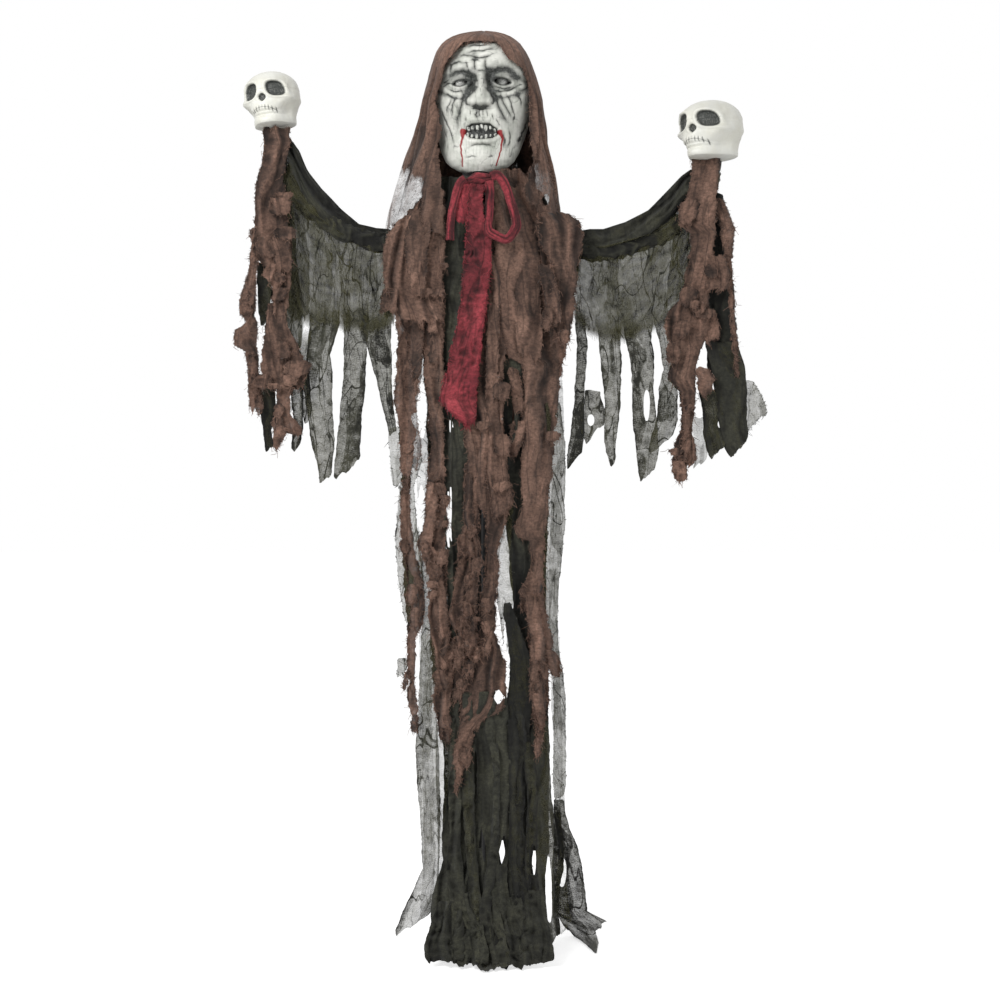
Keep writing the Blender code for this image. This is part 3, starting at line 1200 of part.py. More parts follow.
def gown_radii(v):
    """Half width and half depth at a distance under the gown's collar, and the drop there.

    The gown is worn: at the shoulder level it rests on the torso shells.
    """
    floor = GOWN_COLLAR_Z - FLOOR_CLEARANCE - CLOTH
    levels = gown_levels()
    shoulder_v = TORSO_LENGTH * TORSO_DROP_shares[2]
    shoulder_width = torso_point(90, shoulder_v).x + GOWN_REST
    shoulder_depth = -torso_point(0, shoulder_v).y + GOWN_REST
    widths = [COLLAR_RADIUS, GOWN_NECK_SLOPE_share * shoulder_width, shoulder_width]
    depths = [COLLAR_RADIUS, GOWN_NECK_SLOPE_share * shoulder_depth, shoulder_depth]
    widths += [GOWN_HALF_WIDTH * share for share in GOWN_WIDTH_shares]
    depths += [GOWN_HALF_DEPTH * share for share in GOWN_DEPTH_shares]
    half_width = read_table(levels, widths, v)
    half_depth = read_table(levels, depths, v)
    flare = max(0.0, min(v, floor) - levels[-1]) / GOWN_FLARE_HEIGHT
    on_floor = max(0.0, v - floor)
    grow = GOWN_FLARE * flare ** 2 + on_floor
    return half_width + grow, half_depth + grow, min(max(v, 0.0), floor)


def fold_height(u, v):
    """The gown's main folds deepen from the shoulders down."""
    deep = min(1.0, max(0.0, (v - GOWN_SHOULDER_DROP) / (GOWN_CHEST_DROP - GOWN_SHOULDER_DROP)))
    return FOLD_DEPTH * deep * cos(radians(u) * FOLD_COUNT)


def robe_standoff(v):
    """The robe rests on the gown at the shoulders, and stands off it above and below."""
    places = (0.0, GOWN_SHOULDER_DROP, GOWN_ARM_DROP)
    return read_table(places, (ROBE_STANDOFF, ROBE_REST, ROBE_STANDOFF), v)


def gown_point(u, v):
    half_width, half_depth, drop = gown_radii(v)
    fold = fold_height(u, v)
    turn = radians(u)
    return Vector(((half_width + fold) * sin(turn), -(half_depth + fold) * cos(turn), GOWN_COLLAR_Z - drop))


def robe_point(u, v):
    half_width, half_depth, drop = gown_radii(v - ROBE_COLLAR_RISE)
    grow = robe_standoff(v - ROBE_COLLAR_RISE) + fold_height(u, v - ROBE_COLLAR_RISE)
    turn = radians(u)
    z = ROBE_COLLAR_Z - min(v, drop + ROBE_COLLAR_RISE)
    return Vector(((half_width + grow) * sin(turn), -(half_depth + grow) * cos(turn), z))


def panel_faces(middle, levels, ends, feet, columns_each, armholes=None, strip_rows=6):
    """A front or back panel: a band to levels[-1], then strips. armholes gives the rows left open."""
    feet = [(middle + angle, half_angle) for angle, half_angle in feet]
    columns = columns_each * len(ends)
    us = [middle + SEAM_ANGLE * (2 * step / columns - 1) for step in range(columns + 1)]
    missing = set()
    if armholes is not None:
        for column in range(columns):
            outer_edge = min(abs(us[column] - middle), abs(us[column + 1] - middle))
            if outer_edge >= ARMHOLE_ANGLE - SEAM_ANGLE / columns:
                missing |= {(column, row) for row in armholes}
    faces = grid_faces(us, levels, missing=missing)
    return faces + strip_faces(us, levels[-1], even_strips(ends, columns_each), strip_rows, feet=feet)


def make_gown(finish):
    floor = GOWN_COLLAR_Z - FLOOR_CLEARANCE - CLOTH
    levels = gown_levels()[:7]
    front_ends = [floor + beyond for beyond in GOWN_STRIP_FLOOR]
    back_ends = [floor + beyond for beyond in GOWN_BACK_FLOOR]
    front_faces = panel_faces(0, levels, front_ends, GOWN_FRONT_FEET, 2, armholes=(2,))
    back_faces = panel_faces(180, levels, back_ends, GOWN_BACK_FEET, 2)
    front = thin_solid("gown_front", front_faces, gown_point, CLOTH, finish, outward=-1, steps=(1.0, 0.002))
    back = thin_solid("gown_back", back_faces, gown_point, CLOTH, finish, outward=-1, steps=(1.0, 0.002))
    return front, back


def make_robe(finish):
    levels = [0.0] + [level + ROBE_COLLAR_RISE for level in gown_levels()[:6]]
    front_faces = panel_faces(0, levels, ROBE_FRONT_ENDS, ROBE_FRONT_FEET, 2, armholes=(3,))
    back_faces = panel_faces(180, levels, ROBE_BACK_ENDS, ROBE_BACK_FEET, 2)
    front = thin_solid("robe_front", front_faces, robe_point, CLOTH, finish, outward=-1, steps=(1.0, 0.002))
    back = thin_solid("robe_back", back_faces, robe_point, CLOTH, finish, outward=-1, steps=(1.0, 0.002))
    return front, back


# Rags, wings and tassels on the arms

def make_shoulder_rag(name, side, finish):
    """A short cloth that lies over the sleeve and hangs down at its front and back."""
    radius = SLEEVE_RADIUS + RUN_GAP + CLOTH
    quarter = radius * pi / 2
    route = rod_route(side)
    places = [side * point.x for point, _ in route]
    heights = [point.z for point, _ in route]

    def rag_point(u, v):
        x = RAG_START + RAG_WIDTH * u
        over = max(-quarter, min(quarter, v)) / radius
        beyond = max(0.0, abs(v) - quarter)
        way = 1 if v > 0 else -1
        y = ARM_Y + radius * sin(over) + way * RAG_FLARE_share * beyond
        z = read_table(places, heights, x) + radius * cos(over) - beyond
        return Vector((side * x, y, z))

    def key(column, row):
        u = column / (len(RAG_FRONT_DROPS) - 1)
        if row <= 3:
            v = -quarter - RAG_FRONT_DROPS[column] * (3 - row) / 3
        elif row >= 7:
            v = quarter + RAG_BACK_DROPS[column] * (row - 7) / 3
        else:
            v = quarter * (row - 5) / 2
        return ("grid", u, v)

    faces = [[key(column, row), key(column + 1, row), key(column + 1, row + 1), key(column, row + 1)]
             for column in range(len(RAG_FRONT_DROPS) - 1) for row in range(10)]
    return thin_solid(name, faces, rag_point, CLOTH, finish, outward=side, steps=(0.02, 0.0005))


def make_wing(name, side, finish):
    """A gauze sheet that hangs from the sleeve's underside."""
    route = sleeve_route(side)

    def wing_point(u, v):
        point, heading = along_route(route, WING_START_share + (WING_END_share - WING_START_share) * u)
        top = point.z - SLEEVE_RADIUS / cos(heading) - RUN_GAP
        fold = WING_FOLD * min(1.0, max(0.0, v) / WING_BAND) * sin(u * len(WING_ENDS) * pi)
        return Vector((point.x, ARM_Y + fold, top - v))

    columns = 2 * len(WING_ENDS)
    us = [step / columns for step in range(columns + 1)]
    levels = [WING_BAND * step / 3 for step in range(4)]
    faces = grid_faces(us, levels) + strip_faces(us, WING_BAND, even_strips(WING_ENDS, 2), 4)
    return thin_solid(name, faces, wing_point, CLOTH, finish, steps=(0.01, 0.001))


def make_tassel(name, side, finish):
    """Ragged cloth gathered round the rod under the skull, open on the side where the sleeve comes in."""
    seat, heading = rod_route(side)[-2]
    back_along = Vector((-side * cos(heading), 0, -sin(heading)))
    top = seat + back_along * (TASSEL_BELOW_SKULL + CLOTH)
    length = max(TASSEL_ENDS)
    rest = ARM_ROD_RADIUS + SEAT_GAP + CLOTH

    def tassel_point(u, v):
        radius = rest + (TASSEL_RADIUS - rest) * read_table(TASSEL_DROP_shares, TASSEL_RADIUS_shares, v / length)
        turn = radians(u)
        return Vector((top.x + side * radius * cos(turn), top.y + radius * sin(turn), top.z - max(v, 0.0)))

    columns = 2 * len(TASSEL_ENDS)
    us = [TASSEL_ANGLE * (2 * step / columns - 1) for step in range(columns + 1)]
    levels = [length * share for share in TASSEL_DROP_shares[:5]] + [TASSEL_BAND]
    faces = grid_faces(us, levels) + strip_faces(us, TASSEL_BAND, even_strips(TASSEL_ENDS, 2), 4)
    return thin_solid(name, faces, tassel_point, CLOTH, finish, outward=-side, steps=(1.0, 0.001))


# Scarf with its bow

def scarf_point(turn):
    """The band's centre line: a half circle behind the collar, and a longer half ellipse out to the knot."""
    depth = SCARF_REACH if sin(turn) > 0 else SCARF_FRONT
    return Vector((SCARF_REACH * cos(turn), depth * sin(turn), ROBE_COLLAR_Z - SCARF_THICKNESS))


def knot_turn():
    return -acos(KNOT_OFFSET / SCARF_REACH)


def knot_centre():
    return scarf_point(knot_turn()) - Vector((0, SCARF_THICKNESS + SEAT_GAP + KNOT_HALF_DEPTH, 0))


def make_scarf_band(finish):
    steps = 20
    points = [scarf_point(knot_turn() + 2 * pi * step / steps) for step in range(steps)]
    return swept("scarf_band", points, [SCARF_THICKNESS] * steps, (0, 0, 1), finish, 6, closed=True)


def make_knot(finish):
    def build(bm):
        bmesh.ops.create_uvsphere(bm, u_segments=12, v_segments=8, radius=1)
        size = Matrix.Diagonal((KNOT_HALF_WIDTH, KNOT_HALF_DEPTH, KNOT_HALF_HEIGHT, 1))
        bmesh.ops.transform(bm, matrix=size, verts=bm.verts)
    return place(mesh_object("bow_knot", build, finish), knot_centre())


def make_bow_loop(name, side, width, height, shares, finish):
    """A rolled band that leaves the knot, hangs in a loop and comes back to it."""
    centre = knot_centre()
    start = centre + Vector((side * KNOT_HALF_WIDTH, 0, 0))
    points = []
    for number, (across, up) in enumerate(shares):
        near_knot = number < 2 or number > len(shares) - 3
        ahead = 0.0 if near_knot else LOOP_AHEAD * max(across, -up)
        points.append(start + Vector((side * width * across, -ahead, height * up)))
    end_radius = SCARF_THICKNESS * LOOP_END_share
    for point in (points[0], points[-1]):
        off_axis = max(0.0, abs(point.z - centre.z) - end_radius) / KNOT_HALF_HEIGHT
        point.x = centre.x + side * (KNOT_HALF_WIDTH * (1 - min(1.0, off_axis) ** 2) ** 0.5 + RUN_GAP)
        point.y = centre.y
    radii = [end_radius] + [SCARF_THICKNESS * LOOP_ROLL_share] * (len(points) - 2) + [end_radius]
    return swept(name, points, radii, (0, 1, 0), finish, 8, across_share=SCARF_LOOP_DEPTH / SCARF_THICKNESS)


def make_bow_tail(finish):
    centre = knot_centre()
    top = centre.z - KNOT_HALF_HEIGHT - SEAT_GAP

    def tail_point(u, v):
        share = v / TAIL_LENGTH
        width = TAIL_TOP_WIDTH + (TAIL_WIDTH - TAIL_TOP_WIDTH) * min(1.0, max(0.0, share)) ** 0.7
        x = centre.x + TAIL_DRIFT * max(0.0, share - 0.3) / 0.7 + width * (u - 0.5)
        robe_depth = gown_radii(GOWN_COLLAR_Z - top + v)[1] + ROBE_STANDOFF + FOLD_DEPTH
        front = max(robe_depth + TAIL_STANDOFF, -centre.y)
        y = -front - TAIL_FOLD * (1 + cos(4 * pi * u)) * min(1.0, max(0.0, 4 * share))
        return Vector((x, y, top - v))

    us = [step / TAIL_COLUMNS for step in range(TAIL_COLUMNS + 1)]
    rows = 12
    length = TAIL_LENGTH
    levels = [length * step / rows for step in range(rows + 1)]
    faces = grid_faces(us, levels)
    return thin_solid("bow_tail", faces, tail_point, CLOTH, finish, outward=-1, steps=(0.05, 0.002))


def main():
    clear_scene()
    finishes = make_materials()
    base = make_base(finishes["black_steel"])
    poles = [make_pole("lower_pole", POLE_FOOT, LOWER_POLE_LENGTH, finishes["black_steel"]),
             make_pole("middle_pole", MIDDLE_POLE_FOOT, MIDDLE_POLE_LENGTH, finishes["black_steel"]),
             make_pole("upper_pole", UPPER_POLE_FOOT, UPPER_POLE_LENGTH, finishes["black_steel"], spigot=False)]
    bracket = make_bracket(finishes["grey_plastic"])
    case_back, case_front = make_gear_case(finishes["grey_plastic"])
    pins = [make_gear_pin("left_gear_pin", 1, finishes["bright_steel"]),
            make_gear_pin("right_gear_pin", -1, finishes["bright_steel"])]
    arm_motor = make_arm_motor(finishes["bright_steel"])
    neck_motor = make_neck_motor(finishes["black_plastic"])
    torso = make_torso_shells(finishes["black_plastic"])
    control = make_control_box(finishes["black_plastic"])
    body, bay_bottom, _, _, cells_y, door_half, door_top, room_bottom, room_top = control
    door = make_door(door_half, door_top, finishes["black_plastic"])
    cells = make_cells(bay_bottom, cells_y, finishes["cell_wrap"])
    speaker, board, switch, button = make_electronics(room_bottom, room_top, finishes)
    gown = make_gown(finishes["black_gauze"])
    robe = make_robe(finishes["brown_gauze"])
    scarf = [make_scarf_band(finishes["red_gauze"]), make_knot(finishes["red_gauze"]),
             make_bow_loop("bow_left_loop", 1, LEFT_LOOP_WIDTH, LEFT_LOOP_HEIGHT, LEFT_LOOP_shares,
                           finishes["red_gauze"]),
             make_bow_loop("bow_right_loop", -1, RIGHT_LOOP_WIDTH, RIGHT_LOOP_HEIGHT, RIGHT_LOOP_shares,
                           finishes["red_gauze"]),
             make_bow_tail(finishes["red_gauze"])]
    carry(base, *poles, bracket, case_back, case_front, *pins, arm_motor, neck_motor, *torso, body, door, *cells,
          speaker, board, switch, button, *gown, *robe, *scarf)

    head = empty_at("head_axis", (0, 0, HUB_Z))
    carry(head, make_head_hub(finishes["grey_plastic"]), make_former(finishes["grey_plastic"]),
          make_mask(finishes["mask_latex"]), make_eye("left_eye", 1, finishes["eye_white"]),
          make_eye("right_eye", -1, finishes["eye_white"]), make_hood(finishes["brown_gauze"]))

    carry(empty_at("pinion_axis", (PIVOT_X, ARM_Y, PINION_Z)), make_pinion(finishes["gear_plastic"]))
    skulls = make_skulls(finishes["skull_plastic"])
    half_pitch = pi / ARM_GEAR_TEETH
    for side, label, sector, first in ((1, "left", LEFT_SECTOR, 0.0), (-1, "right", RIGHT_SECTOR, half_pitch)):
        gear = make_arm_gear(label + "_arm_gear", side, sector, first, finishes["gear_plastic"])
        arm = [gear, make_arm_rod(label + "_arm_rod", side, finishes["black_steel"]),
               make_sleeve(label + "_sleeve", side, finishes["black_gauze"]),
               make_shoulder_rag(label + "_shoulder_rag", side, finishes["brown_gauze"]),
               make_wing(label + "_wing", side, finishes["black_gauze"]),
               make_tassel(label + "_tassel", side, finishes["brown_gauze"]), skulls[0 if side > 0 else 1]]
        carry(empty_at(label + "_arm_axis", (side * PIVOT_X, ARM_Y, PIVOT_Z)), *arm)


main()
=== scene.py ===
"""The looks of the animated ghost figure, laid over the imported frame.

Metres, +Z up, front at -Y. Cloth outlines are in picture units: one unit is 2 mm at the
pole, and they count right and down from the top left corner of a picture 1000 units wide.
"""

from math import ceil, cos, pi, radians, sin, tan

import bpy
import numpy as np
from mathutils import Matrix, Vector


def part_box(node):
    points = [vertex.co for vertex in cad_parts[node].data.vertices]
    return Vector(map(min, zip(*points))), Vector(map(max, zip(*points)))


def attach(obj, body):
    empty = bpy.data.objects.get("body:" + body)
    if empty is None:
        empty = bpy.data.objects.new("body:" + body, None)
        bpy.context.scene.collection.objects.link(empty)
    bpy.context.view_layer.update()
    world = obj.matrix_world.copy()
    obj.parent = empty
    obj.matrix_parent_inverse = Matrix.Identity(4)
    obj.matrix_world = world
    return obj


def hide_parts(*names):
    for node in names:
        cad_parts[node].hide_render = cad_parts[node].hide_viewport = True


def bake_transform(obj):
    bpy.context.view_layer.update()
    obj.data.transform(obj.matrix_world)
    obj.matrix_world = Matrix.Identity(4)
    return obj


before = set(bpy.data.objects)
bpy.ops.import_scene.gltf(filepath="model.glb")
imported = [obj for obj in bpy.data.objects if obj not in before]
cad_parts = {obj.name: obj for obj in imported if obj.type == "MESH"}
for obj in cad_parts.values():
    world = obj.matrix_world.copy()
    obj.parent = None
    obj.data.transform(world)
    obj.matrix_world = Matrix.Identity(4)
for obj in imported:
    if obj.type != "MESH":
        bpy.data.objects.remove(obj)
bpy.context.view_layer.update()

# Camera and picture units
UNIT = 0.002
CAMERA_DISTANCE = 4.0
CAMERA_X = 0.026
CAMERA_Z = 0.9
PICTURE_MIDDLE = 500
LENS = 72
SENSOR = 36

# Frame sizes the looks have to agree with
ARM_Y = -0.0239
PIVOT_Z = 1.4042
CHIN_Z = 1.5561
CHIN_DROP = 0.009
FACE_HEIGHT = 0.260
FACE_WIDTH = 0.204
FACE_DEPTH = 0.086
HEAD_OFFSET = -0.008
HEAD_LEAN = 3
FLOOR_GAP = 0.0025
FRONT_LIMIT = -0.196

# Cloth: its grid, the rounding of its cut corners, and its loose threads
CELL = 0.003
CORNER = 0.0022
THREAD_WIDTH = 0.0011
THREAD_LENGTH = 0.010
THREAD_ROOT = 0.0015
THREAD_STEPS = 4
NOISE_SIZE = 64
UV_SHIFT = 0.37

# Cloth: how large its unevenness is, across it and down it
RAG_SIZE = (0.011, 0.013)
FINE_RAG_SIZE = (0.0045, 0.0045)
JAG_SIZE = 0.009
FINE_JAG_SIZE = 0.004
TEAR_SIZE = (0.012, 0.04)
WANDER_SIZE = (0.05, 0.09)
FOLD_LENGTH = 0.16
SMALL_FOLD_LENGTH = 0.06
CREASE_SIZE = (0.013, 0.018)
CREASE_BEND_SIZE = (0.02, 0.02)
SWAY_SIZE = (0.02, 0.05)
SHADE_SIZE = (0.03, 0.05)
EDGE_WIDTH = 0.004
# Width of the painted shadow along a strip's side edges
EDGE_SHADOW_WIDTH = 0.003


# Noise and small sums

def noise(seed, x, y):
    """Smooth random values from -1 to 1, in cells of size 1."""
    table = np.random.default_rng(seed).uniform(-1, 1, (NOISE_SIZE, NOISE_SIZE))
    x, y = np.broadcast_arrays(np.asarray(x, float), np.asarray(y, float))
    column, row = np.floor(x).astype(int), np.floor(y).astype(int)
    across, down = x - column, y - row
    across = across * across * (3 - 2 * across)
    down = down * down * (3 - 2 * down)
    here = table[column % NOISE_SIZE, row % NOISE_SIZE]
    right = table[(column + 1) % NOISE_SIZE, row % NOISE_SIZE]
    below = table[column % NOISE_SIZE, (row + 1) % NOISE_SIZE]
    both = table[(column + 1) % NOISE_SIZE, (row + 1) % NOISE_SIZE]
    upper = here + (right - here) * across
    lower = below + (both - below) * across
    return upper + (lower - upper) * down


def patches(seed, across_m, down_m, size):
    """Smooth random values over cloth, in patches of a size across and down it."""
    return noise(seed, across_m / size[0], down_m / size[1])


def smooth(low, high, value):
    share = np.clip((value - low) / (high - low), 0, 1)
    return share * share * (3 - 2 * share)


def bell(value, middle, half):
    """1 at the middle, falling off over half a width."""
    return np.exp(-((value - middle) / half) ** 2)


def listed(*grids):
    """Grids of values as one list, a column a grid."""
    return np.stack(grids, -1).reshape(-1, len(grids))


def to_world(px, py, y):
    """Picture units at a depth y, in metres."""
    scale = UNIT * (y + CAMERA_DISTANCE) / CAMERA_DISTANCE
    return CAMERA_X + (px - PICTURE_MIDDLE) * scale, CAMERA_Z + (PICTURE_MIDDLE - py) * scale


def to_picture(x, y, z):
    scale = UNIT * (y + CAMERA_DISTANCE) / CAMERA_DISTANCE
    return PICTURE_MIDDLE + (x - CAMERA_X) / scale, PICTURE_MIDDLE - (z - CAMERA_Z) / scale


def line_distance(px, py, points):
    """Distance from a line through points, and the share of its length at the nearest place."""
    best = np.full(px.shape, 1e9)
    where = np.zeros(px.shape)
    count = len(points) - 1
    for number, (start, end) in enumerate(zip(points, points[1:])):
        along = (end[0] - start[0], end[1] - start[1])
        size = along[0] ** 2 + along[1] ** 2
        share = np.clip(((px - start[0]) * along[0] + (py - start[1]) * along[1]) / size, 0, 1)
        distance = np.hypot(px - start[0] - share * along[0], py - start[1] - share * along[1])
        nearer = distance < best
        best = np.where(nearer, distance, best)
        where = np.where(nearer, (number + share) / count, where)
    return best, where


# Cutting a grid along a field

def cut_grid(field):
    """Faces of a grid where field is over zero. The edge's points move onto the zero line."""
    rows, columns = field.shape
    inside = field > 0
    shift = np.zeros((rows, columns, 2))
    count = np.zeros((rows, columns))
    for down, right in ((0, 1), (0, -1), (1, 0), (-1, 0)):
        near = np.full(field.shape, -1.0)
        source = (slice(max(down, 0), rows + min(down, 0)), slice(max(right, 0), columns + min(right, 0)))
        target = (slice(max(-down, 0), rows + min(-down, 0)), slice(max(-right, 0), columns + min(-right, 0)))
        near[target] = field[source]
        crosses = ~inside & (near > 0)
        left_over = np.where(crosses, -field / np.maximum(near - field, 1e-9), 0)
        shift[..., 0] += left_over * down
        shift[..., 1] += left_over * right
        count += crosses
    shift /= np.maximum(count, 1)[..., None]
    kept = inside | (count > 0)
    index = np.arange(rows * columns).reshape(rows, columns)
    corners = [(slice(0, -1), slice(0, -1)), (slice(0, -1), slice(1, None)), (slice(1, None), slice(1, None)),
               (slice(1, None), slice(0, -1))]
    have = np.stack([kept[corner] for corner in corners], -1)
    sure = np.stack([inside[corner] for corner in corners], -1).any(-1)
    names = np.stack([index[corner] for corner in corners], -1)
    quads = names[(have.sum(-1) == 4) & sure]
    faces = [quads]
    for missing in range(4):
        three = (have.sum(-1) == 3) & ~have[..., missing] & sure
        order = [corner for corner in range(4) if corner != missing]
        faces.append(names[three][:, order])
    return faces, shift, ~inside & (count > 0)


def store_values(mesh, label, values):
    """Keep one value a point, for the materials to read."""
    store = mesh.attributes.new(label, "FLOAT", "POINT")
    store.data.foreach_set("value", np.ravel(values).astype(np.float32))


class Piece:
    """One mesh, grown from several cut or swept parts."""

    def __init__(self, name, with_fringe=True):
        self.name = name
        self.fringe = Piece(name + "_fringe", False) if with_fringe else None
        self.points, self.quads, self.triangles, self.uvs, self.density, self.shade = [], [], [], [], [], []
        self.count = 0
        self.area = 0.0
        self.length = 0.0

    def add(self, points, faces, uvs, density, shade=0.5):
        """faces is a list of index arrays, each with 3 or 4 columns."""
        used = np.unique(np.concatenate([face.ravel() for face in faces if len(face)]))
        order = np.full(len(points), -1)
        order[used] = np.arange(len(used)) + self.count
        for face in faces:
            if len(face):
                (self.quads if face.shape[1] == 4 else self.triangles).append(order[face])
        self.points.append(points[used])
        self.uvs.append(uvs[used])
        self.density.append(np.broadcast_to(density, len(points))[used])
        self.shade.append(np.broadcast_to(shade, len(points))[used])
        self.count += len(used)

    def build(self, material):
        points = np.concatenate(self.points)
        quads = np.concatenate(self.quads) if self.quads else np.zeros((0, 4), int)
        triangles = np.concatenate(self.triangles) if self.triangles else np.zeros((0, 3), int)
        mesh = bpy.data.meshes.new(self.name)
        loops = np.concatenate([quads.ravel(), triangles.ravel()]).astype(np.int32)
        sizes = np.concatenate([np.full(len(quads), 4), np.full(len(triangles), 3)])
        mesh.vertices.add(len(points))
        mesh.vertices.foreach_set("co", points.astype(np.float32).ravel())
        mesh.loops.add(len(loops))
        mesh.loops.foreach_set("vertex_index", loops)
        mesh.polygons.add(len(sizes))
        mesh.polygons.foreach_set("loop_start", (np.cumsum(sizes) - sizes).astype(np.int32))
        mesh.update(calc_edges=True)
        layer = mesh.uv_layers.new(name="cloth")
        layer.data.foreach_set("uv", np.concatenate(self.uvs)[loops].astype(np.float32).ravel())
        for label, values in (("cover", self.density), ("shade", self.shade)):
            store_values(mesh, label, np.concatenate(values))
        mesh.validate()
        mesh.polygons.foreach_set("use_smooth", np.full(len(mesh.polygons), True))
        mesh.materials.append(material)
        thing = bpy.data.objects.new(self.name, mesh)
        bpy.context.scene.collection.objects.link(thing)
        return thing


# Where cloth hangs

BODY_HEIGHTS = (0.0, 0.16, 0.58, 1.00, 1.17, 1.30, 1.37, 1.435, 1.468, 1.50, 1.56)
BODY_WIDTHS = (0.162, 0.150, 0.153, 0.158, 0.154, 0.146, 0.138, 0.112, 0.092, 0.074, 0.070)
BODY_FRONTS = (0.125, 0.112, 0.106, 0.100, 0.094, 0.094, 0.094, 0.086, 0.082, 0.078, 0.074)
BODY_BACKS = (0.122, 0.110, 0.104, 0.097, 0.092, 0.090, 0.086, 0.072, 0.064, 0.056, 0.050)
BODY_X = -0.006
SIDE_share = 0.97


def body_depth(x, z, way):
    """How far the body's front (way -1) or back (way 1) lies from the pole at x and z."""
    half_width = np.interp(z, BODY_HEIGHTS, BODY_WIDTHS)
    half_depth = np.interp(z, BODY_HEIGHTS, BODY_FRONTS if way < 0 else BODY_BACKS)
    ratio = np.clip((x - BODY_X) / half_width, -SIDE_share, SIDE_share)
    return way * half_depth * np.sqrt(1 - ratio ** 2)


def on_body(lift, way=-1):
    """A place on the body, lift outside it."""
    def depth(px, py):
        y = np.full(np.shape(px), way * BODY_FRONTS[3])
        for _ in range(3):
            x, z = to_world(px, py, y)
            y = body_depth(x, z, way) + way * lift
        return y
    return depth


def hanging(*stops):
    """A depth read off a table of (py, y)."""
    places, depths = zip(*stops)

    def depth(px, py):
        return np.interp(py, places, depths) + 0 * px
    return depth


def floor_depth(py):
    """The depth at which a point of the floor is seen at py."""
    below = np.maximum(py - PICTURE_MIDDLE, 1.0)
    return CAMERA_DISTANCE * (CAMERA_Z - FLOOR_GAP) / (UNIT * below) - CAMERA_DISTANCE


def soft_least(first, second):
    """The smaller of two distances, with the corner between them rounded."""
    least = np.minimum(first, second)
    apart = np.clip(np.abs(first - second) / CORNER, 0, 30)
    return least - CORNER * np.log1p(np.exp(-apart)) * (least < 4 * CORNER)


def set_down(px, py, y):
    """World points of cloth at a depth. What would pass the floor lies on it instead."""
    y = np.maximum(np.minimum(y, floor_depth(py)), FRONT_LIMIT)
    x, z = to_world(px, py, y)
    return x, y, np.maximum(z, FLOOR_GAP)


def strip_place(rows, s, t, upright):
    """Where shares s across and t along a strip lie: picture units, its width, metres across and down."""
    along = rows[:, 0]
    place = along[0] + t * (along[-1] - along[0])
    low, high = np.interp(place, along, rows[:, 1]), np.interp(place, along, rows[:, 2])
    across_size = np.maximum(high - low, 1.0) * UNIT
    across = low + s * (high - low)
    px, py = (across, place) if upright else (place, across)
    return px, py, across_size, (s - 0.5) * across_size, t * ((along[-1] - along[0]) * UNIT)


def strip_field(seed, s, strip, length, cell, fray, tip, clean, slant, tears):
    """Signed distance inside a strip's torn outline, and how ragged it is, in metres."""
    _, _, across_size, across_m, down_m = strip
    rag = fray * (0.75 * patches(seed, across_m, down_m, RAG_SIZE)
                  + 0.65 * patches(seed + 1, across_m, down_m, FINE_RAG_SIZE))
    low_side = s * across_size - ("low" not in clean) * (rag + 0.3 * fray)
    high_side = (1 - s) * across_size - (rag + 0.3 * fray)
    jag = tip * (0.5 + 0.6 * noise(seed + 2, across_m / JAG_SIZE, seed)
                 + 0.4 * noise(seed + 3, across_m / FINE_JAG_SIZE, seed))
    end_side = length - down_m - ("end" not in clean) * jag
    if slant:
        toward = slant * (1 if seed % 2 else -1)
        end_side = end_side - np.maximum(0, toward * across_m + 0.5 * slant * across_size)
    field = soft_least(np.minimum(low_side, high_side), end_side)
    field = soft_least(field, down_m - 0.5 * np.maximum(jag, 0) - cell)
    if tears:
        field = field - tears * np.maximum(0, patches(seed + 4, across_m, down_m, TEAR_SIZE) - 0.35)
    return field, rag


def cut_holes(field, rag, px, py, holes):
    """Cut holes out of a field. Each has its middle, half sizes and power, in picture units."""
    for hole_x, hole_y, half_x, half_y, power in holes:
        across, down = np.abs((px - hole_x) / half_x), np.abs((py - hole_y) / half_y)
        reach = (across ** power + down ** power) ** (1 / power)
        field = np.minimum(field, (reach - 1) * min(half_x, half_y) * UNIT + 0.35 * rag)
    return field


def strip_folds(seed, across_m, down_m, fold, fold_width, crumple):
    """Folds down a strip, with creases in them, as a height off it."""
    bent = across_m + fold_width * 1.2 * patches(seed + 5, across_m, down_m, WANDER_SIZE)
    relief = fold * noise(seed + 6, bent / fold_width, down_m / FOLD_LENGTH)
    relief += 0.32 * fold * noise(seed + 7, bent / (0.45 * fold_width), down_m / SMALL_FOLD_LENGTH)
    bend = patches(seed + 9, across_m, down_m, CREASE_BEND_SIZE)
    crease = np.abs(noise(seed + 8, across_m / CREASE_SIZE[0] + bend, down_m / CREASE_SIZE[1]))
    return relief + crumple * (1 - 2.5 * crease)


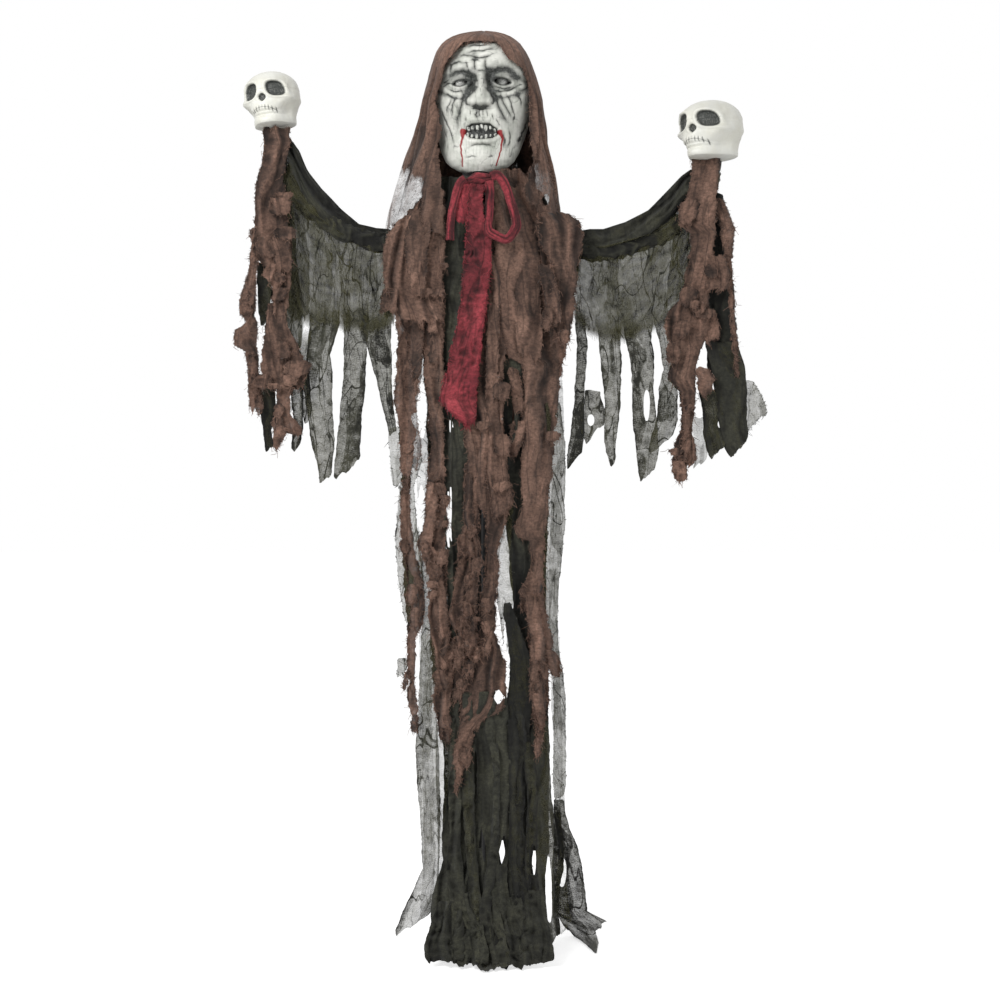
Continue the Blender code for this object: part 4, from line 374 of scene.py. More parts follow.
def banner(piece, rows, depth, seed, upright=True, fray=0.0030, tip=0.012, fold=0.006, fold_width=0.015,
           crumple=0.0018, density=1.0, tears=0.0, holes=(), curl=0.0, edge=0.0, threads=1.0, cell=CELL,
           clean=(), fades=(0.0, 0.0, 0.0), slant=0.0, tufts=0, tone=0.34):
    """A strip of torn cloth. rows are (along, low edge, high edge) in picture units.

    An upright banner runs down the picture; the other kind runs across it.
    """
    rows = np.array(rows, float)
    length = (rows[-1, 0] - rows[0, 0]) * UNIT
    width = (rows[:, 2] - rows[:, 1]).max() * UNIT
    row_count, column_count = ceil(length / cell) + 3, ceil(width / cell) + 5
    overrun, margin = 2 * cell / length, 2 * cell / width
    s, t = np.meshgrid(np.linspace(-margin, 1 + margin, column_count), np.linspace(0, 1 + overrun, row_count))
    strip = strip_place(rows, s, t, upright)
    field, rag = strip_field(seed, s, strip, length, cell, fray, tip, clean, slant, tears)
    field = cut_holes(field, rag, strip[0], strip[1], holes)
    faces, shift, edge_points = cut_grid(field)
    if not any(len(face) for face in faces):
        return
    grid_cell = (length + 2 * cell) / (row_count - 1) * (width + 4 * cell) / (column_count - 1)
    t = t + shift[..., 0] * (1 + overrun) / (row_count - 1)
    s = s + shift[..., 1] * (1 + 2 * margin) / (column_count - 1)
    px, py, across_size, across_m, down_m = strip_place(rows, s, t, upright)
    folds = strip_folds(seed, across_m, down_m, fold, fold_width, crumple)
    relief = folds + curl * (2 * s - 1) ** 2
    x, y, z = set_down(px, py, depth(px, py) - relief)
    x = x + 0.35 * fold * patches(seed + 10, across_m, down_m, SWAY_SIZE)
    z = z + np.where(z < 4 * FLOOR_GAP, 0.5 * np.abs(relief), 0)
    to_edge = np.minimum(s, 1 - s) * across_size
    dark = density + edge * np.exp(-to_edge / EDGE_WIDTH)
    for fade, distance in zip(fades, (down_m, length - down_m, (1 - s) * across_size)):
        if fade:
            dark = dark - 1.1 * density * (1 - smooth(0, fade, distance))
    # Painted shade and highlight: the shade value is low in the fold hollows and high on the fold ridges.
    shade = 0.5 + 0.5 * folds / (fold + crumple) + 0.10 * patches(seed + 12, across_m, down_m, SHADE_SIZE)
    shade = shade + tone * (np.random.default_rng(seed + 17).random() - 0.5)
    # Painted shadow: darker along the strip's side edges.
    shade = shade - 0.30 * np.exp(-to_edge / EDGE_SHADOW_WIDTH)
    points = listed(x, y, z)
    uvs = listed(across_m + UV_SHIFT * (seed % 17), down_m)
    if not upright:
        uvs = uvs[:, ::-1]
    piece.add(points, faces, uvs, dark.ravel(), shade.ravel())
    piece.area += grid_cell * float(((field > 0) * across_size / width).sum())
    piece.length = max(piece.length, length if upright else width)
    if threads:
        add_threads(piece, points, edge_points, uvs, seed, threads)
    add_tufts(piece, rows, depth, seed, tufts, fold, fray=fray, density=density, cell=cell,
              threads=1.3 * threads)


# A tuft's outline: shares of its reach down it, and of its half width to each side
TUFT_shares = ((0, -0.5, 0.5), (0.35, -1, 1), (0.8, -0.9, 0.8), (1, -0.2, 0.2))
TUFT_LIFT = 0.003
TUFT_LIFT_MORE = 0.004
TUFT_CUT = dict(tip=0.006, fold_width=0.008, crumple=0.003, fades=(0.006, 0.0, 0.0))


def add_tufts(piece, rows, depth, seed, tufts, fold, **cut):
    """Short torn flaps that stand off a strip."""
    along, low, high = rows.T
    random = np.random.default_rng(seed + 21)
    for number in range(tufts):
        start = random.uniform(along[0] + 0.3 * (along[-1] - along[0]), along[-1] - 10)
        reach = random.uniform(9, 26)
        left, right = np.interp(start, along, low), np.interp(start, along, high)
        middle = random.uniform(left + 1, right - 1)
        half = random.uniform(0.16, 0.34) * (right - left) + 1.2
        lean = random.uniform(-0.25, 0.25) * reach
        off = TUFT_LIFT + TUFT_LIFT_MORE * random.random() + fold
        flap = [(start + down * reach, middle + down * lean + first * half, middle + down * lean + last * half)
                for down, first, last in TUFT_shares]
        banner(piece, flap, lambda px, py: depth(px, py) - off, seed + 31 + number, fold=0.6 * fold,
               **TUFT_CUT, **cut)


def add_threads(piece, points, edge_points, uvs, seed, amount):
    """Loose threads along a cut edge."""
    random = np.random.default_rng(seed + 11)
    rows, columns = edge_points.shape
    found = np.argwhere(edge_points)
    row, column = found.T
    found = found[(row > 1) & (column > 0) & (row < rows - 1) & (column < columns - 1)]
    found = np.repeat(found, random.poisson(0.95 * amount, len(found)), axis=0)
    if not len(found):
        return
    here = found[:, 0] * columns + found[:, 1]
    start = points[here]
    flat = points.reshape(rows, columns, 3)
    middle = np.zeros((len(found), 3))
    weight = np.zeros((len(found), 1))
    for down, right in ((0, 2), (0, -2), (-2, 0)):
        row = np.clip(found[:, 0] + down, 0, rows - 1)
        column = np.clip(found[:, 1] + right, 0, columns - 1)
        inner = ~edge_points[row, column]
        middle += flat[row, column] * inner[:, None]
        weight += inner[:, None]
    away = start - middle / np.maximum(weight, 1)
    away /= np.maximum(np.linalg.norm(away, axis=1, keepdims=True), 1e-6)
    spread = random.normal(0, 0.6, away.shape)
    heading = away + spread * 0.75 + np.array([0, 0, -0.25])
    heading /= np.linalg.norm(heading, axis=1, keepdims=True)
    start = start - THREAD_ROOT * away
    size = THREAD_LENGTH * (0.22 + random.random(len(found)) ** 3 * 0.9)[:, None]
    bend = random.normal(0, 0.45, away.shape)
    curl = random.normal(0, 0.28, away.shape)
    side = np.cross(heading, np.array([0, -1.0, 0.15]))
    side /= np.maximum(np.linalg.norm(side, axis=1, keepdims=True), 1e-6)
    strand = []
    for step in range(THREAD_STEPS + 1):
        share = step / THREAD_STEPS
        middle_line = start + size * (heading * share + bend * share ** 2 + curl * sin(2.6 * pi * share)
                                      + np.array([0, 0, -0.30]) * share ** 2)
        half = THREAD_WIDTH / 2 * (1 - 0.4 * share)
        strand += [middle_line - side * half, middle_line + side * half]
    strand = np.stack(strand, 1)
    strand[..., 2] = np.maximum(strand[..., 2], FLOOR_GAP)
    base = np.arange(len(found))[:, None] * (2 * (THREAD_STEPS + 1))
    faces = np.concatenate([base + np.array([2 * step, 2 * step + 1, 2 * step + 3, 2 * step + 2])
                            for step in range(THREAD_STEPS)])
    thread_uvs = np.repeat(uvs[here], 2 * (THREAD_STEPS + 1), axis=0)
    lightness = 0.5 + 0.4 * random.random(strand.shape[0] * strand.shape[1])
    piece.fringe.add(strand.reshape(-1, 3), [faces], thread_uvs, 1.5, lightness)


# Swept cloth: sleeves, scarf and rolled loops

# How far apart the unevenness of a roll lies, along it
ROLL_WANDER = 0.04
GATHER_WANDER = 0.05
GATHER_LENGTH = 0.07
ROLL_UNEVENNESS = 0.03


def roll_line(path):
    """A path's centre line at even steps with its corners rounded, and the places along it."""
    lengths = np.concatenate([[0], np.cumsum(np.linalg.norm(np.diff(path, axis=0), axis=1))])
    places = np.linspace(0, lengths[-1], ceil(lengths[-1] / (CELL * 0.6)))
    centre = np.stack([np.interp(places, lengths, path[:, axis]) for axis in range(3)], 1)
    blur = np.array([1, 2, 3, 2, 1]) / 9
    for _ in range(3):
        padded = np.concatenate([centre[:1]] * 2 + [centre] + [centre[-1:]] * 2)
        centre = np.stack([np.convolve(padded[:, axis], blur, "valid") for axis in range(3)], 1)
    return lengths, places, centre


def roll_ridges(seed, turn, place, pitch, gathered):
    """Ridges round a roll of cloth; gathered cloth has them close together."""
    if gathered:
        wander = 0.8 * noise(seed + 4, place / GATHER_WANDER, np.cos(turn) * 1.5 + 9)
        ridges = 0.8 * np.abs(noise(seed, place / pitch + wander, 0.7 * np.cos(turn) + 5))
        ridges += 0.5 * np.abs(noise(seed + 1, 1.8 * place / pitch + 2 * wander, 1.6 * np.sin(turn) + 7))
        return ridges + 0.35 * np.abs(noise(seed + 3, place / GATHER_LENGTH, 2.4 * np.cos(turn) + 3 * wander))
    wander = 0.5 * noise(seed + 4, place / ROLL_WANDER, 2.0)
    ridges = np.abs(noise(seed, 2.4 * np.cos(turn) + wander + 5, place / (4 * pitch) + 0.4 * np.sin(turn)))
    return ridges + 0.5 * np.abs(noise(seed + 1, 4.5 * np.cos(turn) + 2 * wander + 9,
                                       place / (2 * pitch) + np.sin(turn)))


def sweep(piece, path, radii, seed, sides=28, across=(0, 1, 0), wrinkle=0.12, pitch=0.012, squash=1.0,
          cover=1.3, gathered=False):
    """A wrinkled roll of cloth along path. radii is one radius a point."""
    lengths, places, centre = roll_line(np.array(path, float))
    radius = np.interp(places, lengths, radii)
    along = np.gradient(centre, axis=0)
    along /= np.linalg.norm(along, axis=1, keepdims=True)
    side = np.cross(np.array(across, float), along)
    side /= np.linalg.norm(side, axis=1, keepdims=True)
    flat = np.cross(along, side)
    turn, place = np.meshgrid(np.linspace(0, 2 * pi, sides + 1), places)
    ridges = roll_ridges(seed, turn, place, pitch, gathered)
    uneven = noise(seed + 2, np.cos(turn) * 3, place / ROLL_UNEVENNESS + np.sin(turn) * 3)
    size = radius[:, None] * (1 + wrinkle * (1.1 - 2.4 * ridges) + 0.4 * wrinkle * uneven)
    points = centre[:, None] + size[..., None] * (np.cos(turn)[..., None] * side[:, None]
                                                  + squash * np.sin(turn)[..., None] * flat[:, None])
    faces, _, _ = cut_grid(np.ones(turn.shape))
    uvs = listed(turn * radius[:, None], place)
    # Painted shade: darker where the ridges pull the roll in.
    shade = np.clip(1.05 - 1.3 * ridges, 0, 1)
    cover = np.interp(place / lengths[-1], np.linspace(0, 1, np.size(cover)), np.atleast_1d(cover))
    if gathered:
        cover = cover + 0.30 * ridges
    piece.add(points.reshape(-1, 3), faces, uvs, cover.ravel(), shade.ravel())
    girth = 2 * pi * float(np.mean(radius)) * ((1 + squash ** 2) / 2) ** 0.5
    piece.area += float(lengths[-1]) * girth
    piece.length = max(piece.length, float(lengths[-1]))


# Materials

def shader(name, roughness):
    material = bpy.data.materials.new(name)
    material.use_nodes = True
    surface = material.node_tree.nodes["Principled BSDF"]
    surface.inputs["Roughness"].default_value = roughness
    return material, material.node_tree, surface


def add(tree, kind, inputs=(), **settings):
    """A node with its settings. Input values may be numbers, colours or other nodes' sockets."""
    node = tree.nodes.new(kind)
    for key, value in settings.items():
        setattr(node, key, value)
    for key, value in dict(inputs).items():
        if isinstance(value, bpy.types.NodeSocket):
            tree.links.new(value, node.inputs[key])
        else:
            node.inputs[key].default_value = value
    return node


def ramp(tree, source, *stops):
    node = add(tree, "ShaderNodeValToRGB", {0: source})
    elements = node.color_ramp.elements
    while len(elements) < len(stops):
        elements.new(0.5)
    for element, (place, colour) in zip(elements, stops):
        element.position = place
        element.color = (*colour, 1.0) if len(colour) == 3 else colour
    return node.outputs["Color"]


def noise_value(tree, coordinates, scale, detail=3.0, stretch=(1, 1, 1), roughness=0.6):
    mapped = add(tree, "ShaderNodeMapping", {"Vector": coordinates, "Scale": stretch})
    texture = add(tree, "ShaderNodeTexNoise", {"Vector": mapped.outputs[0], "Scale": scale, "Detail": detail,
                                               "Roughness": roughness})
    return texture.outputs["Fac"]


def calculate(tree, operation, first, second=0.0):
    return add(tree, "ShaderNodeMath", {0: first, 1: second}, operation=operation).outputs[0]


def blend_colours(tree, share, first, second, mode="MIX"):
    node = add(tree, "ShaderNodeMix", {"Factor": share}, data_type="RGBA", blend_type=mode)
    for socket, value in ((node.inputs[6], first), (node.inputs[7], second)):
        if isinstance(value, bpy.types.NodeSocket):
            tree.links.new(value, socket)
        else:
            socket.default_value = (*value, 1.0)
    return node.outputs[2]


def span(tree, value, low, high, first=0.0, last=1.0):
    """A value from low to high, brought to the range from first to last."""
    ends = {"Value": value, "From Min": low, "From Max": high, "To Min": first, "To Max": last}
    return add(tree, "ShaderNodeMapRange", ends).outputs[0]


def swing(tree, value, middle, amount):
    """How far a value is from its middle, times an amount."""
    return calculate(tree, "MULTIPLY", calculate(tree, "SUBTRACT", value, middle), amount)


def from_middle(tree, value):
    return calculate(tree, "ABSOLUTE", calculate(tree, "SUBTRACT", value, 0.5))


def point_value(tree, name):
    return add(tree, "ShaderNodeAttribute", attribute_name=name).outputs["Fac"]


def shaded_by(tree, colour, source, *stops):
    """A colour times a grey that the source picks from stops."""
    greys = [(place, grey(value)) for place, value in stops]
    return blend_colours(tree, 1.0, colour, ramp(tree, source, *greys), "MULTIPLY")


def bumped(tree, surface, height, strength, distance):
    bump = add(tree, "ShaderNodeBump", {"Height": height, "Strength": strength, "Distance": distance})
    tree.links.new(bump.outputs[0], surface.inputs["Normal"])


CLOTH_ROUGHNESS = 0.95
WEAVE_RELIEF = 0.0012
PAINT_RELIEF = 0.0008
MOULD_RELIEF = 0.0005


def thin_lines(tree, uv, cover, lines):
    """Pulled threads: (noise scale, turn, stretch, width, strength) each."""
    drawn_lines = [(240.0, 0.3, (1, 0.5, 1), 0.028, 0.35)]
    if lines:
        drawn_lines = [
            (17.0, 0.7, (1, 0.30, 1), 0.008, 1.6 * lines), (34.0, -0.6, (1, 0.20, 1), 0.008, lines),
            (60.0, 1.0, (1, 0.35, 1), 0.010, 0.6 * lines), (26.0, 0.1, (1, 0.10, 1), 0.010, lines)]
        doubled = noise_value(tree, uv, 20.0, 1.0, (1, 0.30, 1))
        cover = calculate(tree, "ADD", cover, span(tree, doubled, 0.535, 0.545, 0.0, 0.15))
    for scale, slant, stretch, width, strength in drawn_lines:
        slanted = add(tree, "ShaderNodeMapping", {"Vector": uv, "Rotation": (0, 0, slant), "Scale": stretch})
        line = add(tree, "ShaderNodeTexNoise", {"Vector": slanted.outputs[0], "Scale": scale, "Detail": 2.0,
                                                "Distortion": 0.5})
        away = from_middle(tree, line.outputs["Fac"])
        cover = calculate(tree, "ADD", cover, span(tree, away, 0.25 * width, width, strength, 0.0))
    return cover


def cloth_material(name, dark, middle, light, mesh_size, mottle, lines=0.0, thin=None):
    """Woven cloth. The cover attribute says how closed the weave is, and shade where it lies in a fold."""
    material, tree, surface = shader(name, CLOTH_ROUGHNESS)
    uv = add(tree, "ShaderNodeUVMap", uv_map="cloth").outputs[0]
    broad = noise_value(tree, uv, 14.0, 4.0)
    weave = noise_value(tree, uv, 1 / mesh_size, 2.0)
    down_threads = noise_value(tree, uv, 1 / mesh_size, 1.0, (1.6, 0.22, 1))
    cross_threads = noise_value(tree, uv, 1 / mesh_size, 1.0, (0.22, 1.6, 1))
    threads = calculate(tree, "MAXIMUM", down_threads, cross_threads)
    fine = calculate(tree, "ADD", swing(tree, weave, 0.0, 0.5), swing(tree, threads, 0.0, 0.5))
    colour = ramp(tree, broad, (0.25, dark), (0.5, middle), (0.8, light))
    colour = shaded_by(tree, colour, fine, (0.30, 0.50), (0.62, 1.15))
    # Painted shade and highlight: the shade attribute darkens the cloth in fold hollows and along strip edges and
    # lightens it on fold ridges. It also carries a random tone a strip and a random lightness a thread.
    colour = shaded_by(tree, colour, point_value(tree, "shade"), (0.05, 0.22), (0.45, 0.82), (0.95, 1.38))
    colour = shaded_by(tree, colour, noise_value(tree, uv, 170.0, 4.0), (0.34, 0.60), (0.64, 1.26))
    # Painted shade: thin dark lines along noise creases running down the cloth, not in its shape.
    crease = noise_value(tree, uv, 24.0, 2.0, (1, 0.16, 1))
    colour = shaded_by(tree, colour, from_middle(tree, crease), (0.004, 0.55), (0.030, 1))
    worn = swing(tree, noise_value(tree, uv, 55.0, 4.0), 0.5, mottle)
    cover = calculate(tree, "ADD", point_value(tree, "cover"), worn)
    cover = calculate(tree, "ADD", cover, swing(tree, fine, 0.54, 1.6 * mottle))
    cover = thin_lines(tree, uv, cover, lines)
    if thin:
        colour = blend_colours(tree, span(tree, cover, 0.70, 1.05), thin, colour)
    alpha = add(tree, "ShaderNodeClamp", {"Value": cover})
    tree.links.new(alpha.outputs[0], surface.inputs["Alpha"])
    tree.links.new(colour, surface.inputs["Base Color"])
    bumped(tree, surface, fine, 0.5, WEAVE_RELIEF)
    surface.inputs["Sheen Weight"].default_value = 0.08
    return material


DRIP_RED = (0.27, 0.014, 0.016)


def painted_material(name, pale, shaded, wash, roughness):
    """A painted moulding. The wash attribute darkens it, and the marks attribute reddens it."""
    material, tree, surface = shader(name, roughness)
    place = add(tree, "ShaderNodeTexCoord").outputs["Object"]
    mottle = noise_value(tree, place, 30.0, 5.0)
    grain = noise_value(tree, place, 420.0, 3.0)
    colour = ramp(tree, mottle, (0.30, shaded), (0.62, pale))
    uneven = calculate(tree, "ADD", calculate(tree, "MULTIPLY", grain, 0.9), 0.55)
    spread = calculate(tree, "MULTIPLY", point_value(tree, "wash"), uneven)
    colour = blend_colours(tree, spread, colour, wash)
    colour = blend_colours(tree, point_value(tree, "marks"), colour, DRIP_RED)
    tree.links.new(colour, surface.inputs["Base Color"])
    bumped(tree, surface, grain, 0.12, PAINT_RELIEF)
    return material


def hard_material(name, low, high, roughness, metallic=0.0):
    material, tree, surface = shader(name, roughness)
    place = add(tree, "ShaderNodeTexCoord").outputs["Object"]
    mottle = noise_value(tree, place, 60.0, 4.0)
    tree.links.new(ramp(tree, mottle, (0.3, low), (0.7, high)), surface.inputs["Base Color"])
    surface.inputs["Metallic"].default_value = metallic
    grain = noise_value(tree, place, 500.0, 2.0)
    bumped(tree, surface, grain, 0.08, MOULD_RELIEF)
    return material


def grey(value):
    return (value, value, value)


def make_materials():
    return {
        "brown_gauze": cloth_material("brown_gauze_cloth", (0.066, 0.038, 0.027), (0.150, 0.086, 0.062),
                                      (0.240, 0.142, 0.104), 0.0022, 0.7),
        "black_gauze": cloth_material("black_gauze_cloth", (0.009, 0.009, 0.006), (0.026, 0.026, 0.018),
                                      (0.054, 0.053, 0.034), 0.0020, 0.62, 0.20, (0.047, 0.044, 0.016)),
        "red_gauze": cloth_material("red_gauze_cloth", (0.105, 0.012, 0.018), (0.235, 0.029, 0.038),
                                    (0.330, 0.052, 0.062), 0.0016, 0.1),
        "mask_latex": painted_material("mask_paint", (0.78, 0.78, 0.72), (0.50, 0.52, 0.46),
                                       (0.030, 0.033, 0.030), 0.55),
        "skull_plastic": painted_material("skull_paint", (0.82, 0.82, 0.76), (0.74, 0.73, 0.64),
                                          (0.040, 0.044, 0.040), 0.5),
        "eye_white": painted_material("eye_paint", (0.80, 0.80, 0.76), (0.60, 0.62, 0.58),
                                      (0.05, 0.055, 0.05), 0.25),
        "black_steel": hard_material("black_steel_paint", grey(0.018), grey(0.035), 0.45, 0.4),
        "bright_steel": hard_material("bright_steel_metal", (0.42, 0.42, 0.43), (0.62, 0.62, 0.63), 0.3, 1.0),
        "grey_plastic": hard_material("grey_plastic_mould", (0.18, 0.18, 0.19), (0.25, 0.25, 0.26), 0.5),
        "gear_plastic": hard_material("gear_plastic_mould", (0.62, 0.60, 0.52), (0.76, 0.74, 0.66), 0.45),
        "black_plastic": hard_material("black_plastic_mould", grey(0.018), grey(0.032), 0.5),
        "red_plastic": hard_material("red_plastic_mould", (0.45, 0.02, 0.02), (0.60, 0.04, 0.04), 0.4),
        "board_green": hard_material("board_green_resin", (0.015, 0.12, 0.045), (0.03, 0.19, 0.08), 0.5),
        "cell_wrap": hard_material("cell_wrap_film", (0.05, 0.05, 0.06), (0.11, 0.11, 0.12), 0.35, 0.3),
    }


def repaint_frame(materials):
    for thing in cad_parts.values():
        for number, used in enumerate(thing.data.materials):
            thing.data.materials[number] = materials[used.name.split(".")[0]]


# The robe and the gown

def torn(rows, seed, **settings):
    """A strip to cut, with the settings that banner takes."""
    return dict(rows=rows, seed=seed, **settings)


ROBE_RIGHT_PANEL = [
    (166, 494, 519), (178, 490, 528), (195, 490, 540), (210, 492, 546), (230, 494, 550), (260, 492, 553),
    (290, 490, 557), (320, 490, 566), (345, 498, 567), (358, 508, 565), (364, 522, 564), (380, 523, 561),
    (400, 523, 557), (440, 522, 554), (480, 521, 551), (500, 522, 548), (514, 519, 547), (528, 514, 545),
    (538, 518, 545), (541, 530, 545), (565, 530, 544), (580, 525, 544), (592, 521, 544), (610, 521, 546),
    (615, 528, 547), (640, 528, 551), (662, 531, 553), (676, 531, 549), (700, 530, 549), (714, 531, 546),
    (722, 535, 544), (746, 537, 542)]
ROBE_MIDDLE = [
    (200, 486, 500), (225, 484, 502), (260, 483, 503), (313, 484, 506), (341, 481, 505), (400, 477, 503),
    (430, 476, 505), (458, 475, 507), (486, 474, 512), (503, 478, 513), (519, 484, 505), (535, 485, 501),
    (553, 487, 498), (572, 484, 499), (610, 480, 496), (632, 478, 494), (649, 476, 502), (664, 471, 506),
    (677, 465, 507), (692, 463, 506), (705, 461, 504), (712, 460, 500), (719, 459, 486), (730, 458, 475),
    (748, 455, 469), (762, 453, 466), (772, 455, 463), (794, 455, 457)]
ROBE_LEFT_INNER = [
    (300, 424, 443), (345, 424, 443), (400, 427, 443), (438, 430, 444), (476, 428, 445), (515, 425, 448),
    (534, 419, 448), (548, 420, 448), (552, 429, 448), (575, 432, 447), (610, 428, 448), (649, 434, 455),
    (668, 435, 454), (700, 434, 452), (722, 436, 450), (740, 440, 448)]
ROBE_LEFT_OUTER = [
    (300, 392, 426), (330, 396, 425), (345, 398, 421), (380, 396, 418), (400, 394, 416), (430, 398, 417),
    (457, 400, 413), (486, 401, 410), (505, 400, 410), (522, 399, 411), (545, 403, 414), (575, 406, 420),
    (600, 409, 424), (622, 412, 425), (640, 406, 415), (690, 407, 414), (700, 408, 418), (720, 410, 418),
    (732, 411, 415)]
ROBE_SHAGGY = [
    (415, 464, 478), (440, 463, 482), (470, 464, 481), (500, 465, 479), (525, 463, 479), (545, 460, 476),
    (560, 457, 473), (590, 453, 468), (615, 450, 472), (640, 455, 477), (650, 458, 477), (657, 454, 474),
    (668, 451, 467), (680, 450, 466), (702, 450, 463)]
ROBE_UPPER_LEFT = [
    (196, 430, 447), (230, 426, 446), (270, 424, 445), (310, 420, 443), (345, 420, 442), (368, 424, 436)]
ROBE_LEFT_TUFT = [(310, 400, 424), (330, 404, 424), (350, 408, 423), (372, 413, 421), (384, 415, 419)]
ROBE_HAND = [(540, 464, 478), (550, 461, 473), (556, 458, 468), (562, 456, 461)]
ROBE_RIGHT_TIP = [(648, 545, 556), (662, 548, 560), (676, 553, 566)]
ROBE_SMALL_TUFT = [(418, 512, 527), (432, 510, 524), (446, 508, 520), (458, 510, 515)]

ROBE_EDGE_SHAG = [(365, 506, 514), (380, 510, 522), (400, 512, 524), (415, 513, 522)]
ROBE_MIDDLE_OVER = [
    (300, 488, 500), (360, 486, 498), (420, 486, 499), (470, 486, 508), (500, 490, 510), (520, 492, 504)]
ROBE_SHAG_OVER = [
    (470, 466, 474), (510, 462, 474), (540, 466, 480), (560, 470, 482), (590, 468, 478), (620, 460, 476),
    (650, 455, 472), (662, 452, 464)]
ROBE_LEFT_OVER = [
    (480, 428, 438), (520, 422, 436), (545, 418, 432), (556, 424, 440), (600, 434, 446), (640, 440, 450),
    (662, 438, 452), (672, 442, 450)]
ROBE_NET = [
    (300, 404, 424), (345, 406, 424), (390, 405, 420), (430, 406, 424), (455, 408, 421), (474, 410, 418)]
ROBE_RIGHT_LOW = [(592, 524, 538), (640, 530, 546), (690, 530, 546), (712, 534, 546), (730, 538, 544)]
ROBE_CHEST_FOLD = [
    (178, 504, 520), (205, 508, 532), (240, 512, 538), (280, 514, 540), (330, 516, 542), (370, 520, 540)]
ROBE_CHEST_SIDE = [
    (184, 520, 534), (205, 528, 546), (235, 536, 553), (270, 542, 558), (310, 545, 564), (345, 548, 566)]

ROBE_FRONT_CUTS = [
    torn(ROBE_LEFT_OUTER, 11, tufts=10, lift=0.008, density=0.98, tears=0.02, edge=0.2, fold=0.006,
         fold_width=0.01, threads=2.2),
    torn(ROBE_NET, 13, lift=0.004, density=0.62, tears=0.01, edge=0.3, fold=0.006, threads=1.0),
    torn(ROBE_LEFT_INNER, 23, tufts=10, lift=0.01, density=1.3, tears=0.006, fold=0.008, fold_width=0.012,
         threads=2.4),
    torn(ROBE_LEFT_OVER, 29, tufts=5, lift=0.018, density=1.2, fold=0.006, fold_width=0.009, threads=3.0,
         tears=0.006),
    torn(ROBE_UPPER_LEFT, 31, tufts=3, lift=0.014, density=1.3, fold=0.009, threads=2.0),
    torn(ROBE_LEFT_TUFT, 37, lift=0.016, density=1.1, tears=0.012, threads=2.8),
    torn(ROBE_SHAGGY, 41, tufts=14, lift=0.01, density=1.05, tears=0.018, fold=0.008, fold_width=0.01,
         threads=3.4),
    torn(ROBE_SHAG_OVER, 43, tufts=8, lift=0.02, density=1.1, tears=0.012, fold=0.007, fold_width=0.009,
         threads=3.4),
    torn(ROBE_MIDDLE, 53, tufts=9, lift=0.016, density=1.4, holes=((498, 697, 6.5, 9.5, 1),), fold=0.009,
         fold_width=0.012, threads=2.4),
    torn(ROBE_MIDDLE_OVER, 59, lift=0.024, density=1.3, fold=0.006, fold_width=0.009, threads=2.0,
         clean=('low',)),
    torn(ROBE_RIGHT_PANEL, 61, tufts=4, lift=0.012, density=1.4, fold=0.01, fold_width=0.022, threads=2.2),
    torn(ROBE_CHEST_FOLD, 67, lift=0.02, density=1.4, fold=0.009, fold_width=0.014, threads=0.6, tip=0.03),
    torn(ROBE_CHEST_SIDE, 69, lift=0.022, density=1.4, fold=0.01, fold_width=0.014, threads=0.8, tip=0.03),
    torn(ROBE_RIGHT_LOW, 70, tufts=3, lift=0.022, density=1.2, fold=0.007, fold_width=0.01, threads=2.6,
         tears=0.006),
    torn(ROBE_HAND, 71, lift=0.024, density=1.2, threads=3.0),
    torn(ROBE_RIGHT_TIP, 73, lift=0.016, density=1.1, threads=3.4),
    torn(ROBE_SMALL_TUFT, 79, lift=0.008, density=1.0, threads=3.4, tears=0.01),
    torn(ROBE_EDGE_SHAG, 83, lift=0.014, density=1.0, threads=3.0, tears=0.01),
]

GOWN_LEFT_CORE = [
    (174, 437, 474), (200, 436, 470), (332, 437, 470), (400, 440, 470), (480, 443, 469), (600, 446, 472),
    (700, 452, 476), (720, 452, 480), (750, 449, 480), (800, 447, 480), (835, 442, 480), (860, 443, 480),
    (878, 436, 478), (892, 434, 476), (915, 430, 478), (940, 430, 480), (962, 436, 480)]
GOWN_RIGHT_CORE = [
    (200, 480, 540), (330, 495, 540), (364, 499, 526), (400, 502, 526), (522, 504, 529), (550, 508, 534),
    (590, 511, 534), (620, 511, 531), (700, 509, 530), (800, 507, 533), (880, 508, 537), (920, 500, 541),
    (948, 500, 546), (964, 505, 545)]
GOWN_FRONT_FOLDS = [
    (690, 474, 506), (730, 474, 509), (760, 477, 511), (820, 475, 513), (880, 474, 508), (920, 470, 512),
    (945, 474, 522), (962, 480, 526), (972, 483, 515)]
GOWN_ROPE = [
    (740, 488, 498), (780, 494, 501), (830, 491, 500), (870, 486, 496), (910, 479, 491), (950, 480, 497),
    (973, 483, 490)]
GOWN_LIGHT = [
    (498, 495, 514), (530, 496, 512), (553, 494, 510), (572, 496, 512), (600, 496, 513), (620, 500, 512),
    (640, 503, 512), (655, 505, 511)]
GOWN_RIGHT_GAUZE = [
    (400, 545, 560), (440, 548, 565), (475, 546, 566), (520, 543, 565), (550, 543, 563), (590, 542, 559),
    (620, 545, 558), (650, 548, 559), (672, 552, 563), (700, 553, 566), (750, 553, 566), (790, 553, 566),
    (804, 554, 563)]
GOWN_RIGHT_TAIL = [
    (796, 554, 564), (815, 554, 566), (830, 556, 571), (846, 558, 578), (868, 559, 583), (889, 555, 585),
    (911, 555, 587), (920, 560, 604), (926, 564, 617), (936, 573, 626), (944, 584, 633), (950, 590, 622),
    (957, 598, 612)]
GOWN_LEFT_PATCH = [(425, 388, 402), (460, 390, 402), (474, 391, 402), (490, 394, 401)]
GOWN_LEFT_GAUZE = [
    (455, 408, 424), (486, 400, 414), (520, 397, 416), (540, 395, 419), (560, 396, 421), (590, 400, 424),
    (610, 403, 425), (628, 406, 424)]
